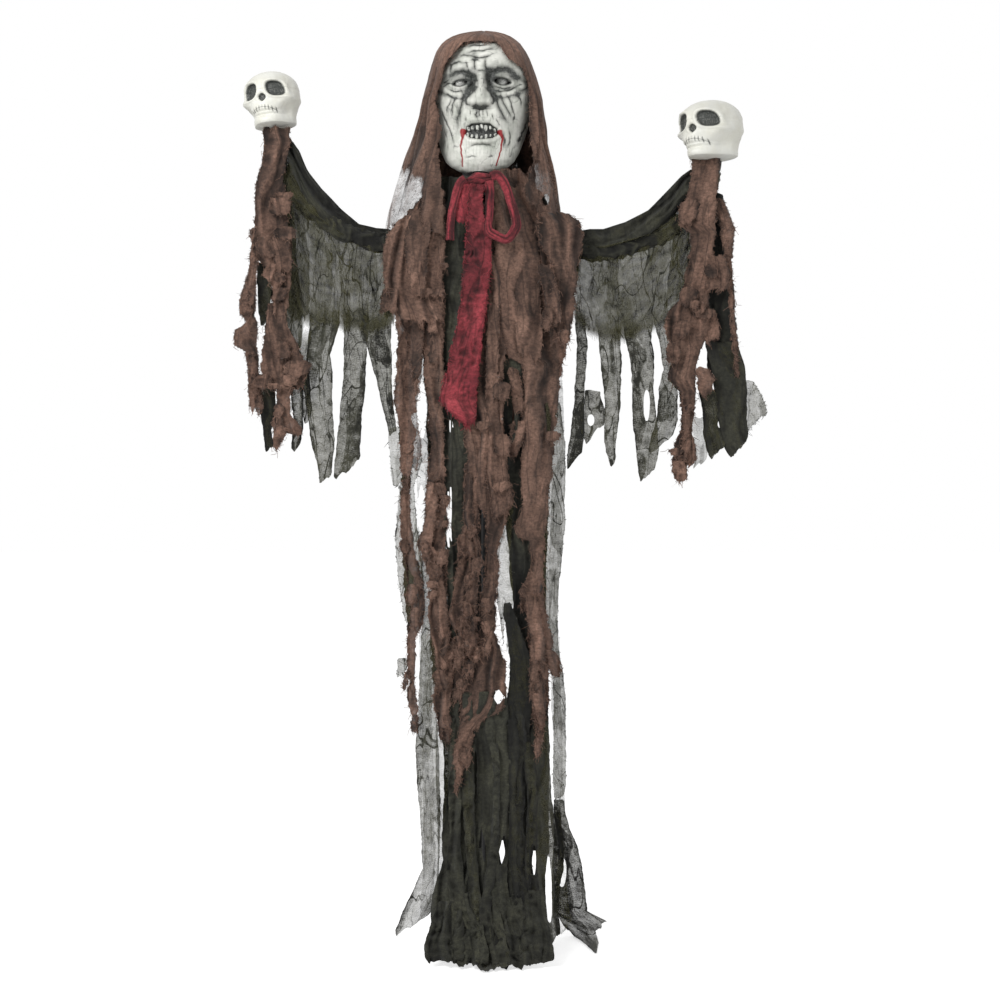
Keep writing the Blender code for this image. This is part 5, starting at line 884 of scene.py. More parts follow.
GOWN_LEFT_TAIL = [
    (540, 418, 434), (570, 420, 434), (600, 423, 435), (640, 420, 436), (705, 418, 437), (748, 416, 439),
    (792, 418, 440), (835, 421, 441), (868, 422, 439), (885, 414, 438), (900, 408, 437), (920, 400, 428),
    (930, 395, 424), (940, 394, 408)]
GOWN_LEFT_BEHIND = [(720, 436, 450), (760, 436, 452), (820, 437, 448), (860, 438, 448), (885, 436, 446)]
GOWN_LEFT_SCRAP = [(893, 440, 476), (905, 434, 478), (922, 436, 472), (934, 438, 462), (940, 446, 455)]
GOWN_RIGHT_STRIP = [
    (715, 531, 549), (740, 531, 550), (800, 531, 553), (850, 533, 554), (880, 537, 554), (905, 541, 553),
    (935, 545, 557), (948, 547, 554)]
GOWN_RIGHT_LOOP = [
    (800, 548, 560), (840, 553, 563), (868, 552, 564), (890, 552, 560), (915, 553, 559), (940, 556, 561)]
GOWN_SCRAP = [(656, 397, 408), (668, 397, 407), (680, 395, 407)]
GOWN_MIDDLE_STRIP = [
    (600, 503, 510), (660, 508, 530), (720, 507, 531), (800, 508, 528), (860, 510, 530), (900, 514, 530),
    (930, 518, 530)]

GOWN_CORE_OVER = [
    (716, 452, 462), (760, 450, 463), (820, 448, 461), (870, 446, 462), (915, 452, 470), (945, 460, 474)]
GOWN_CORE_SLIM = [
    (690, 462, 472), (740, 464, 476), (800, 462, 474), (860, 466, 477), (920, 470, 484), (955, 474, 488)]
GOWN_RIGHT_OVER = [
    (700, 512, 524), (760, 514, 527), (820, 512, 524), (880, 516, 530), (930, 518, 536), (958, 522, 540)]
GOWN_RIGHT_SLIM = [(740, 524, 534), (800, 526, 538), (860, 524, 536), (905, 528, 542), (945, 536, 548)]

GOWN_FRONT_CUTS = [
    torn(GOWN_LEFT_CORE, 101, lift=0.0, density=1.4, fold=0.011, fold_width=0.014,
         holes=((450, 512, 1.6, 30, 2), (449, 420, 0.9, 22, 2), (453, 414, 0.9, 18, 2))),
    torn(GOWN_RIGHT_CORE, 113, lift=-0.002, density=1.4, fold=0.011, fold_width=0.014,
         holes=((512, 412, 0.9, 20, 2), (506, 648, 1.6, 20, 2))),
    torn(GOWN_FRONT_FOLDS, 127, lift=0.008, density=1.4, fold=0.012, fold_width=0.013,
         holes=((503, 850, 3.2, 15, 1.4), (480, 838, 2.6, 12, 1.4))),
    torn(GOWN_CORE_OVER, 103, lift=0.012, density=1.1, fold=0.008, fold_width=0.01, crumple=0.004,
         edge=0.2),
    torn(GOWN_CORE_SLIM, 107, lift=0.016, density=0.95, fold=0.008, fold_width=0.009, crumple=0.004,
         edge=0.2),
    torn(GOWN_ROPE, 131, lift=0.026, density=1.3, fold=0.006, crumple=0.004, curl=-0.006),
    torn(GOWN_RIGHT_OVER, 109, lift=0.014, density=1.0, fold=0.009, fold_width=0.01, crumple=0.004,
         edge=0.25, holes=((521, 838, 2.4, 14, 1.3),)),
    torn(GOWN_RIGHT_SLIM, 119, lift=0.018, density=0.9, fold=0.008, fold_width=0.009, crumple=0.004,
         edge=0.25, holes=((531, 862, 2.6, 13, 1.3),)),
    torn(GOWN_LIGHT, 137, lift=0.004, density=0.5, fold=0.003, edge=0.2, threads=0.3),
    torn(GOWN_RIGHT_GAUZE, 139, lift=0.004, density=0.58, fold=0.004, edge=0.15, threads=0.2),
    torn(GOWN_LEFT_PATCH, 149, lift=0.0, density=0.48, fold=0.002, threads=0.5),
    torn(GOWN_LEFT_GAUZE, 151, lift=0.0, density=0.48, fold=0.004, edge=0.15, threads=0.5),
    torn(GOWN_RIGHT_STRIP, 163, lift=0.004, density=0.86, fold=0.008, edge=0.15,
         holes=((549, 900, 2.5, 22, 2),)),
    torn(GOWN_MIDDLE_STRIP, 167, lift=0.014, density=1.0, fold=0.009, fold_width=0.01, edge=0.2,
         threads=0.4),
    torn(GOWN_SCRAP, 173, lift=0.004, density=0.6, fold=0.002, threads=1.0),
]
HEM_DEPTH = ((886, -0.104), (912, -0.124), (935, -0.142), (960, -0.160), (973, -0.165))
GOWN_TAIL_CUTS = [
    torn(GOWN_LEFT_TAIL, 181, depth=((540, -0.06), (750, -0.055), (860, -0.02), (936, 0.13)), density=0.6,
         fold=0.006, edge=0.25),
    torn(GOWN_LEFT_BEHIND, 191, depth=((720, 0.02), (885, 0.05)), density=0.45, fold=0.004, edge=0.2),
    torn([(898, 438, 462), (925, 431, 466), (945, 424, 464), (958, 424, 464), (966, 430, 460)], 195,
         depth=HEM_DEPTH, slant=0.15, density=1.15, fold=0.014, fold_width=0.012, crumple=0.006),
    torn([(890, 452, 478), (930, 452, 484), (950, 448, 490), (964, 450, 490), (971, 456, 484)], 201,
         depth=HEM_DEPTH, density=1.3, slant=0.15, fold=0.014, fold_width=0.011, crumple=0.006),
    torn([(886, 474, 498), (925, 474, 504), (955, 474, 510), (968, 476, 510), (976, 482, 500)], 203,
         depth=HEM_DEPTH, slant=0.15, density=1.05, fold=0.014, fold_width=0.012, crumple=0.006),
    torn([(895, 494, 522), (930, 496, 530), (955, 496, 534), (966, 498, 534), (972, 506, 526)], 205,
         depth=HEM_DEPTH, density=1.3, slant=0.15, fold=0.014, fold_width=0.011, crumple=0.006),
    torn([(888, 520, 542), (925, 520, 550), (948, 520, 554), (960, 520, 554), (968, 524, 550)], 207,
         depth=HEM_DEPTH, slant=0.15, density=1.1, fold=0.014, fold_width=0.012, crumple=0.006),
    torn(GOWN_LEFT_SCRAP, 193, depth=((893, 0.0), (940, 0.1)), density=1.3, fold=0.012, crumple=0.006),
    torn(GOWN_RIGHT_TAIL, 197, depth=((796, -0.02), (860, 0.02), (936, 0.13)), density=0.84, fold=0.006,
         edge=0.2, holes=((562, 872, 4.5, 15, 2),)),
    torn(GOWN_RIGHT_LOOP, 199, depth=((800, 0.0), (940, 0.08)), density=0.98, fold=0.005, edge=0.2,
         fades=(0.03, 0.0, 0.0)),
]

GOWN_BACK_CUTS = [
    torn([(177, 456, 518), (184, 446, 530), (200, 430, 546), (220, 422, 552), (300, 422, 556),
         (420, 424, 556)], 211, lift=0.0, density=1.3, fold=0.008, tip=0.0),
    torn([(300, 418, 430), (420, 416, 430), (545, 418, 430), (700, 420, 432), (860, 424, 436),
         (920, 420, 432)], 221, lift=0.0, density=0.3, fold=0.005),
    torn([(300, 552, 562), (440, 552, 564), (600, 548, 558), (780, 554, 564), (900, 556, 568),
         (935, 560, 574)], 225, lift=0.0, density=0.3, fold=0.005),
    torn([(415, 428, 446), (520, 432, 447), (640, 438, 450), (760, 444, 456), (860, 442, 458),
         (925, 438, 454)], 223, lift=0.0, density=1.0, fold=0.007),
    torn([(415, 453, 492), (560, 454, 491), (700, 452, 494), (840, 450, 496), (945, 448, 498)], 227,
         lift=0.0, density=1.3, fold=0.008),
    torn([(415, 514, 552), (560, 515, 546), (700, 513, 548), (840, 512, 550), (945, 508, 545)], 229,
         lift=0.0, density=1.3, fold=0.008),
    torn([(700, 478, 520), (840, 480, 520), (945, 482, 520)], 233, lift=-0.01, density=1.3, fold=0.008),
]
ROBE_BACK_CUTS = [
    torn([(174, 458, 516), (182, 446, 530), (195, 432, 545), (230, 424, 552), (300, 422, 557),
         (425, 424, 556)], 241, lift=0.01, density=1.25, fold=0.009, fold_width=0.02, tip=0.02),
    torn([(330, 399, 418), (420, 399, 412), (520, 401, 409), (640, 407, 413), (728, 411, 415)], 247,
         lift=0.0, density=1.1, tears=0.006),
    torn([(418, 426, 446), (500, 428, 445), (600, 430, 444), (690, 432, 442)], 251, lift=0.012, density=1.1,
         tears=0.008),
    torn([(418, 455, 474), (520, 456, 474), (640, 456, 472), (745, 458, 468)], 257, lift=0.014, density=1.1,
         tears=0.006),
    torn([(418, 474, 492), (500, 474, 490), (600, 476, 490), (700, 478, 488)], 263, lift=0.011, density=1.1,
         tears=0.008),
    torn([(418, 516, 534), (540, 517, 533), (650, 518, 531), (760, 520, 528)], 269, lift=0.013, density=1.1,
         tears=0.006),
    torn([(418, 534, 553), (500, 535, 549), (600, 534, 545), (680, 535, 543)], 271, lift=0.011, density=1.0,
         tears=0.008),
]


def fit_cloth(piece, materials, slot, node=None, body=None, between=None):
    """Build a cloth and its loose threads and hide the part they stand for. They hang on a body, or stay fixed where
    they are when between is given.
    """
    things = [piece.build(materials[slot])]
    if piece.fringe.count:
        things.append(piece.fringe.build(materials[slot]))
    for thing in things:
        if between:
            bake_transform(thing)
        else:
            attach(thing, body)
    if node:
        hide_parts(node)
    return things[0]


CUT_EDGE = dict(fray=0.0012, tip=0.007, threads=0.0, slant=0.8, tone=0.95)
LOW_GAPS = (
    (483.5, 850, 2.0, 17, 1.3), (502.5, 852, 3.0, 15, 1.3), (533.5, 862, 2.6, 18, 1.3),
    (548, 888, 3.5, 34, 1.6), (447, 520, 1.4, 34, 2), (505.5, 640, 1.6, 20, 2), (498.5, 697, 6.0, 9.3, 1.1))
SIDE_GAPS = ((422, 411, 5.5, 30, 1.6), (421.5, 510, 4.0, 26, 1.6))


def make_cuts(name, cuts, way):
    piece = Piece(name)
    for cut in cuts:
        settings = dict(cut)
        if "gown" in name:
            settings = {**CUT_EDGE, **settings, "holes": settings.get("holes", ()) + LOW_GAPS}
        settings["holes"] = settings.get("holes", ()) + SIDE_GAPS
        lift = settings.pop("lift", 0.0)
        stops = settings.pop("depth", None)
        depth = hanging(*stops) if stops else on_body(lift, way)
        banner(piece, settings.pop("rows"), depth, **settings)
    return piece


def make_robe_and_gown(materials):
    for name, cuts, way, slot, node in (
            ("gown_front_cloth", GOWN_FRONT_CUTS, -1, "black_gauze", "gown_front"),
            ("gown_floor_tails", GOWN_TAIL_CUTS, -1, "black_gauze", None),
            ("gown_back_cloth", GOWN_BACK_CUTS, 1, "black_gauze", "gown_back"),
            ("robe_front_cloth", ROBE_FRONT_CUTS, -1, "brown_gauze", "robe_front"),
            ("robe_back_cloth", ROBE_BACK_CUTS, 1, "brown_gauze", "robe_back")):
        piece = make_cuts(name, cuts, way)
        thing = fit_cloth(piece, materials, slot, node, "stand")


# Arms

SOCKET_MOUTH = 0.1103
ROD_BEND = 0.030
# The rod's runs: kind, length or radius, turn and steps. It is bent sideways after the first
ROD_LEGS = (("line", 0.005, 0, 1), ("line", 0.085, 0, 8), ("arc", 0.250, radians(65), 24), ("line", 0.035, 0, 4),
            ("arc", ROD_BEND, radians(25), 4), ("line", 0.014, 0, 2), ("line", 0.050, 0, 4))


def rod_route(side):
    """The arm rod's centre line, from its socket's mouth to the top of its peg."""
    x, z, heading = SOCKET_MOUTH, PIVOT_Z, 0.0
    route = [(side * x, ARM_Y, z)]
    legs = ROD_LEGS[:1] + (("arc", ROD_BEND, -side * radians(5), 2),) + ROD_LEGS[1:]
    for kind, size, turn, steps in legs:
        for _ in range(steps):
            half_turn = turn / steps / 2
            length = size / steps if kind == "line" else 2 * size * abs(sin(half_turn))
            x += length * cos(heading + half_turn)
            z += length * sin(heading + half_turn)
            heading += 2 * half_turn
            route.append((side * x, ARM_Y, z))
    return route


RIGHT_WING_PANEL = [
    (284, 156, 306), (292, 168, 322), (300, 186, 328), (308, 212, 328), (320, 222, 332), (332, 230, 328),
    (345, 236, 336), (357, 241, 334), (370, 244, 340), (382, 246, 336), (394, 246, 328)]
RIGHT_BAND = [
    (286, 138, 160), (293, 142, 176), (300, 151, 196), (309, 171, 208), (322, 189, 222), (340, 208, 235),
    (358, 224, 241), (377, 228, 244), (392, 229, 246)]
RIGHT_WING_CUTS = [
    torn([(306, 309, 341), (325, 309, 340), (355, 306, 331), (385, 304, 333), (420, 308, 333),
         (440, 311, 335), (465, 317, 333), (487, 320, 331)], 311, density=0.8, edge=0.14, fold=0.005),
    torn([(306, 343, 369), (330, 344, 368), (355, 344, 367), (385, 343, 366), (415, 340, 361),
         (450, 335, 361), (483, 334, 360)], 317, density=0.82, edge=0.14, fold=0.005),
    torn([(310, 362, 392), (335, 364, 391), (360, 371, 392), (390, 379, 392), (410, 384, 394),
         (440, 390, 399)], 331, density=0.82, edge=0.14, fold=0.005),
    torn([(170, 287, 296), (200, 286, 303), (250, 286, 309), (300, 285, 309), (330, 288, 306)], 337,
         density=0.4, edge=0.3, fold=0.008, fold_width=0.008, fades=(0.0, 0.0, 0.0)),
    torn([(330, 298, 312), (360, 297, 309), (395, 300, 310), (425, 305, 312)], 347, density=0.8, edge=0.15,
         fold=0.005),
]
LEFT_WING_PANEL = [
    (572, 250, 324), (583, 252, 334), (600, 252, 344), (615, 251, 347), (631, 238, 342), (648, 228, 337),
    (665, 212, 332), (675, 200, 328), (685, 188, 318), (693, 180, 296)]
LEFT_BAND = [
    (572, 232, 249), (590, 229, 248), (604, 229, 249), (626, 222, 243), (648, 210, 236), (659, 199, 230),
    (670, 188, 222), (681, 176, 206), (692, 168, 196)]
LEFT_WING_CUTS = [
    torn([(310, 574, 585), (345, 577, 588), (370, 576, 586), (400, 574, 584), (433, 570, 585),
         (455, 566, 582), (470, 567, 578)], 351, density=0.88, edge=0.12, fold=0.005),
    torn([(318, 595, 623), (340, 598, 621), (360, 600, 622), (380, 602, 622), (405, 604, 621),
         (430, 604, 618), (450, 605, 616), (468, 610, 615)], 353, density=0.8, edge=0.14, fold=0.005),
    torn([(396, 584, 600), (410, 578, 606), (430, 580, 606), (446, 586, 600)], 359, density=0.82, edge=0.14,
         fold=0.008, holes=((591, 420, 4, 6, 2),), fades=(0.0, 0.0, 0.0)),
    torn([(318, 622, 654), (335, 624, 652), (360, 630, 654), (385, 632, 653), (405, 631, 655),
         (430, 633, 659), (450, 636, 660), (470, 638, 655), (485, 641, 648)], 367, density=0.8, edge=0.14,
         fold=0.005, holes=((647, 405, 3, 16, 2),)),
    torn([(312, 652, 674), (345, 660, 674), (370, 663, 673), (390, 659, 678), (420, 655, 679),
         (440, 650, 672), (457, 648, 664)], 373, density=0.78, edge=0.14, fold=0.005),
    torn([(214, 680, 690), (240, 672, 690), (290, 668, 688), (312, 664, 686)], 379, density=0.45, edge=0.3,
         fold=0.008, fold_width=0.008, fades=(0.0, 0.0, 0.0)),
]

RIGHT_TASSEL_CUTS = [
    torn([(123, 262, 288), (142, 264, 292), (155, 263, 288), (175, 258, 285), (195, 254, 286),
         (215, 255, 288), (235, 253, 290), (255, 253, 292), (270, 268, 289), (285, 271, 291),
         (300, 272, 289), (320, 271, 286)], 401, tufts=7, density=1.1, fold=0.007, fold_width=0.012,
         lift=0.03, tears=0.003),
    torn([(225, 250, 268), (245, 250, 262), (262, 250, 257), (290, 243, 256), (300, 240, 256),
         (314, 240, 254), (322, 247, 256), (330, 235, 257), (345, 234, 257), (352, 246, 258),
         (375, 248, 258), (392, 247, 262), (410, 249, 258)], 409, tufts=6, density=0.95, fold=0.004,
         lift=0.02, tears=0.01, threads=1.5),
    torn([(300, 268, 286), (325, 266, 287), (340, 264, 295), (355, 262, 301), (370, 261, 306),
         (382, 266, 305), (392, 273, 304)], 419, tufts=5, density=1.15, fold=0.006, lift=0.034),
    torn([(384, 275, 293), (400, 277, 291), (415, 275, 292), (425, 271, 300), (437, 276, 303)], 421,
         tufts=3, density=1.1, fold=0.005, lift=0.03),
    torn([(235, 268, 288), (258, 272, 292), (275, 276, 290)], 431, density=1.05, lift=0.04, fold=0.006,
         threads=1.6),
]
RIGHT_TASSEL_DARK = [
    torn([(140, 280, 290), (200, 282, 292), (250, 280, 296), (290, 284, 300), (330, 286, 302),
         (360, 288, 300)], 433, density=0.62, lift=0.0, fold=0.009, fold_width=0.009),
    torn([(260, 256, 272), (290, 257, 272), (310, 259, 270), (330, 261, 266)], 439, density=0.95, lift=0.0,
         fold=0.005, tears=0.014),
    torn([(372, 252, 272), (395, 257, 276), (415, 261, 276), (430, 263, 271), (454, 265, 275)], 443,
         density=0.95, lift=0.01, fold=0.006, edge=0.3),
    torn([(380, 289, 304), (400, 291, 304), (425, 294, 304), (440, 292, 302), (454, 291, 298)], 449,
         density=0.8, lift=0.01, fold=0.006, edge=0.4),
    torn([(400, 262, 300), (418, 268, 290), (434, 270, 284)], 457, density=0.55, lift=0.0, fold=0.004),
]
LEFT_TASSEL_CUTS = [
    torn([(151, 692, 720), (175, 692, 719), (195, 688, 718), (215, 681, 716), (225, 680, 716),
         (233, 691, 717), (245, 690, 715), (260, 688, 713), (275, 684, 712), (285, 682, 710),
         (300, 680, 708), (312, 668, 709), (325, 665, 710), (338, 667, 706), (350, 675, 700),
         (365, 671, 697), (378, 667, 696), (392, 680, 695), (410, 681, 694), (430, 680, 692),
         (445, 675, 695), (460, 672, 696), (470, 673, 688)], 461, tufts=14, density=1.15, fold=0.007,
         fold_width=0.012, lift=0.03, tears=0.003),
    torn([(196, 712, 722), (215, 716, 730), (228, 720, 735), (240, 722, 734), (262, 726, 732),
         (300, 729, 734), (340, 732, 738), (378, 736, 740)], 463, tufts=4, density=0.9, lift=0.018,
         fold=0.004, tears=0.006, threads=1.6),
    torn([(252, 706, 722), (262, 706, 728), (274, 705, 732), (288, 703, 730), (294, 702, 716)], 467,
         density=1.1, lift=0.034, fold=0.007, threads=1.6),
    torn([(305, 700, 712), (320, 700, 718), (335, 702, 719), (346, 708, 716)], 479, density=1.1, lift=0.024,
         fold=0.005),
    torn([(365, 694, 706), (378, 696, 714), (392, 697, 712), (397, 702, 708)], 487, density=1.1, lift=0.034,
         fold=0.005),
    torn([(198, 684, 702), (212, 678, 700), (224, 680, 694)], 491, density=1.1, lift=0.038, fold=0.006,
         threads=1.6),
]
LEFT_TASSEL_DARK = [
    torn([(190, 700, 722), (240, 704, 728), (289, 706, 733), (330, 706, 735), (380, 708, 738)], 499,
         density=1.15, lift=0.0, fold=0.008),
    torn([(340, 704, 736), (368, 712, 745), (395, 714, 747), (425, 720, 748), (445, 724, 749),
         (460, 732, 745)], 503, density=1.0, lift=0.01, fold=0.008, edge=0.3),
    torn([(388, 698, 722), (410, 702, 726), (435, 704, 728), (452, 708, 729), (461, 712, 726)], 509,
         density=0.9, lift=0.01, fold=0.007, edge=0.3, holes=((722, 424, 4, 5, 2),)),
    torn([(378, 743, 752), (395, 743, 762), (412, 744, 768), (424, 745, 766), (432, 747, 760)], 521,
         density=0.6, lift=0.0, fold=0.003, threads=1.5),
    torn([(415, 692, 708), (440, 693, 710), (460, 694, 706), (471, 692, 700)], 523, density=0.5, lift=0.0,
         fold=0.003),
]

RAG_RIGHT_CUTS = [
    torn([(194, 424, 442), (210, 412, 443), (222, 396, 443), (235, 388, 443), (250, 385, 442),
         (265, 383, 443), (280, 384, 441), (292, 386, 441), (305, 392, 442), (318, 402, 442),
         (325, 412, 440)], 541, tufts=1, lift=0.0, density=1.4, fold=0.012, fold_width=0.013, threads=2.6),
    torn([(285, 384, 398), (298, 381, 398), (310, 380, 396), (318, 382, 390)], 547, lift=0.008, density=1.0,
         threads=1.8),
    torn([(206, 410, 434), (240, 404, 430), (270, 406, 428), (300, 410, 424)], 557, lift=0.012, density=1.1,
         fold=0.008, threads=1.5),
]
RAG_LEFT_CUTS = [
    torn([(210, 538, 560), (222, 536, 580), (235, 538, 583), (250, 542, 582), (265, 552, 578),
         (280, 554, 576), (295, 548, 574), (310, 545, 574), (325, 552, 571), (342, 560, 569)], 563, tufts=2,
         lift=0.0, density=1.2, fold=0.009, fold_width=0.013, threads=2.6),
    torn([(262, 536, 548), (282, 540, 556), (300, 545, 560), (318, 548, 562), (326, 552, 560)], 569,
         lift=0.012, density=1.0, fold=0.008, threads=2.0),
]


# Layers of a wing and of its upper band: (seed, how far in front of the rod)
WING_LAYERS = ((613, 0.004), (643, -0.010))
BAND_LAYERS = ((653, 0.014), (659, -0.016))
WING_CUT = dict(density=0.64, fold=0.008, fold_width=0.03, crumple=0.006, fray=0.006, tip=0.0,
                clean=("low", "end"), threads=0.0, fades=(0.012, 0.0, 0.024))
BAND_CUT = dict(density=1.1, fold=0.010, fold_width=0.014, crumple=0.003, fray=0.001, tip=0.0,
                clean=("low", "end"), threads=0.0, fades=(0.0, 0.0, 0.006))
STRIP_FADES = (0.050, 0.0, 0.0)
TASSEL_BULGE = 0.008
SLEEVE_RADII = (0.018, 0.021, 0.019, 0.017, 0.013, 0.008)
SLEEVE_STOP_shares = (0, 0.08, 0.35, 0.7, 0.9, 1)
SLEEVE_PITCH = 0.020
# Places on the arm at the shoulder and near the elbow, passed on with the arm's cloth
SHOULDER_END, ELBOW_START = (0.10, 1.20), (0.24, 1.42)
RAG_SPAN = (0.06, 0.20)
RAG_FRONT = ((190, -0.060), (230, -0.088), (330, -0.100))
RAG_BACK = ((190, 0.045), (230, 0.060), (330, 0.075))


def plane(y):
    return hanging((0, y), (2 * PICTURE_MIDDLE, y))


def rear_copy(cut):
    """The same strip again for the far side, torn another way."""
    return {**cut, "seed": cut["seed"] + 1000, "tufts": 0}


def make_sleeve(side, label, between, materials):
    sleeve = Piece(label + "_sleeve_cloth")
    stretch = rod_route(side)[5:-9]
    radii = np.interp(np.linspace(0, 1, len(stretch)), SLEEVE_STOP_shares, SLEEVE_RADII)
    sweep(sleeve, stretch, radii, 601 + side, wrinkle=0.22, pitch=SLEEVE_PITCH, sides=56, squash=0.8,
          gathered=True, cover=(1.3, 1.2, 0.95, 0.62, 0.5, 0.45))
    thing = fit_cloth(sleeve, materials, "black_gauze", label + "_sleeve", between=between)


def make_wing(side, label, panel, band, wing_cuts, between, materials):
    wing = Piece(label + "_wing_cloth")
    for seed, lift in WING_LAYERS:
        banner(wing, panel, plane(ARM_Y - lift), seed + side, upright=False, **WING_CUT)
    for cut in wing_cuts:
        settings = {**CUT_EDGE, "fades": STRIP_FADES, **cut}
        rows = settings.pop("rows")
        banner(wing, [(rows[0][0] - 8, *rows[0][1:])] + rows, plane(ARM_Y), **settings)
    for seed, lift in BAND_LAYERS:
        banner(wing, band, plane(ARM_Y - lift), seed + side, upright=False, **BAND_CUT)
    thing = fit_cloth(wing, materials, "black_gauze", label + "_wing", between=between)


def make_tassel(label, name, cuts, slot, node, materials):
    tassel = Piece(name)
    for way, strips in ((-1, cuts), (1, [rear_copy(cut) for cut in cuts[:3]])):
        for cut in strips:
            settings = {**cut} if node else {**CUT_EDGE, **cut}
            y = ARM_Y + way * settings.pop("lift")
            rows = settings.pop("rows")
            banner(tassel, rows, hanging((0, y), (150, y), (250, y + way * TASSEL_BULGE)), **settings)
    thing = fit_cloth(tassel, materials, slot, node, label + "_arm")


def make_shoulder_rag(side, label, rag_cuts, materials):
    rag = Piece(label + "_shoulder_rag_cloth")
    for cut in rag_cuts:
        settings = dict(cut)
        lift = settings.pop("lift")
        rows = settings.pop("rows")
        banner(rag, rows, hanging(*((place, y - lift) for place, y in RAG_FRONT)), **settings)
        banner(rag, rows, hanging(*((place, y + lift) for place, y in RAG_BACK)), **rear_copy(settings))
    ends = [(side * x, ARM_Y, PIVOT_Z) for x in RAG_SPAN]
    thing = fit_cloth(rag, materials, "brown_gauze", label + "_shoulder_rag",
                      between=("stand", label + "_arm", *ends))


def dress_arm(side, label, panel, band, wing_cuts, tassel_cuts, dark_cuts, rag_cuts, materials):
    mouth, outer = ((side * x, ARM_Y, z) for x, z in (SHOULDER_END, ELBOW_START))
    between = ("stand", label + "_arm", mouth, outer)
    make_sleeve(side, label, between, materials)
    make_wing(side, label, panel, band, wing_cuts, between, materials)
    make_tassel(label, label + "_tassel_cloth", tassel_cuts, "brown_gauze", label + "_tassel", materials)
    make_tassel(label, label + "_tassel_tails", dark_cuts, "black_gauze", None, materials)
    make_shoulder_rag(side, label, rag_cuts, materials)


# The hood

HOOD_OUTER = [
    (31.5, 483, 485), (32.5, 471, 495), (34.3, 461, 503), (37, 452.5, 510), (40.5, 446, 515.5),
    (44, 442, 520), (48, 439, 523), (52, 436.5, 526), (58.6, 434, 529.5), (66, 431.5, 532.5),
    (74, 429.5, 535), (82, 428, 537), (100, 423, 542), (118, 420, 544), (135, 416, 546), (150, 411, 549),
    (170, 405, 553), (190, 398, 558), (210, 392, 561), (228, 388, 562), (236, 387, 562)]
HOOD_OPENING = [
    (41, 464, 496), (43, 462, 498), (50, 456, 503), (58, 449, 509), (65, 444, 518), (68, 443.5, 523),
    (78, 442, 527), (90, 439, 530), (100, 436, 531), (110, 436, 531), (123, 439, 530), (135, 441, 531),
    (145, 438, 532), (160, 438, 534), (176, 441, 530), (190, 445, 526), (210, 444, 536), (240, 443, 540)]
HOOD_DEPTH_AT = [
    (31.5, 0.002), (33, 0.044), (35, 0.062), (38, 0.071), (41, 0.076), (46, 0.082), (52, 0.087),
    (60, 0.092), (70, 0.094), (85, 0.09), (110, 0.082), (140, 0.076), (170, 0.084), (200, 0.098),
    (240, 0.11)]
HOOD_BACK_AT = [
    (31.5, 0.002), (33, 0.016), (36, 0.04), (41, 0.064), (52, 0.09), (70, 0.104), (110, 0.108), (150, 0.1),
    (190, 0.096), (240, 0.1)]
HOOD_COLUMNS = 230
HOOD_ROWS = 150
HOOD_REACH = 0.11
HOOD_LENGTH = 0.9
HOOD_BEND = ((0, 0, 1.45), (0, 0, 1.56))
HOOD_FRAY = 0.0035
HOOD_WANDER = 0.010
HOOD_WANDER_SIZE = (0.05, 0.07)
HOOD_END = (0.014, 0.006)
HOOD_END_SIZES = (0.022, 0.007)
HOOD_STRAY_SIZE = (0.012, 0.02)
HOOD_FINE_STRAY_SIZE = (0.005, 0.006)
HOOD_RAG_SIZE = (0.010, 0.012)
HOOD_FINE_RAG_SIZE = (0.004, 0.004)
HOOD_FOLD = 0.0015
HOOD_FOLD_SIZE = (0.013, 0.14)
HOOD_LOOSE_FOLD = 0.006
HOOD_RIPPLE = 0.0006
HOOD_LOOSE_RIPPLE = 0.002
HOOD_RIPPLE_SIZE = (0.006, 0.05)
# Holes: (middle, half sizes) in picture units
HOOD_HOLES = ((544, 200, 3, 6), (444, 158, 3.5, 10))


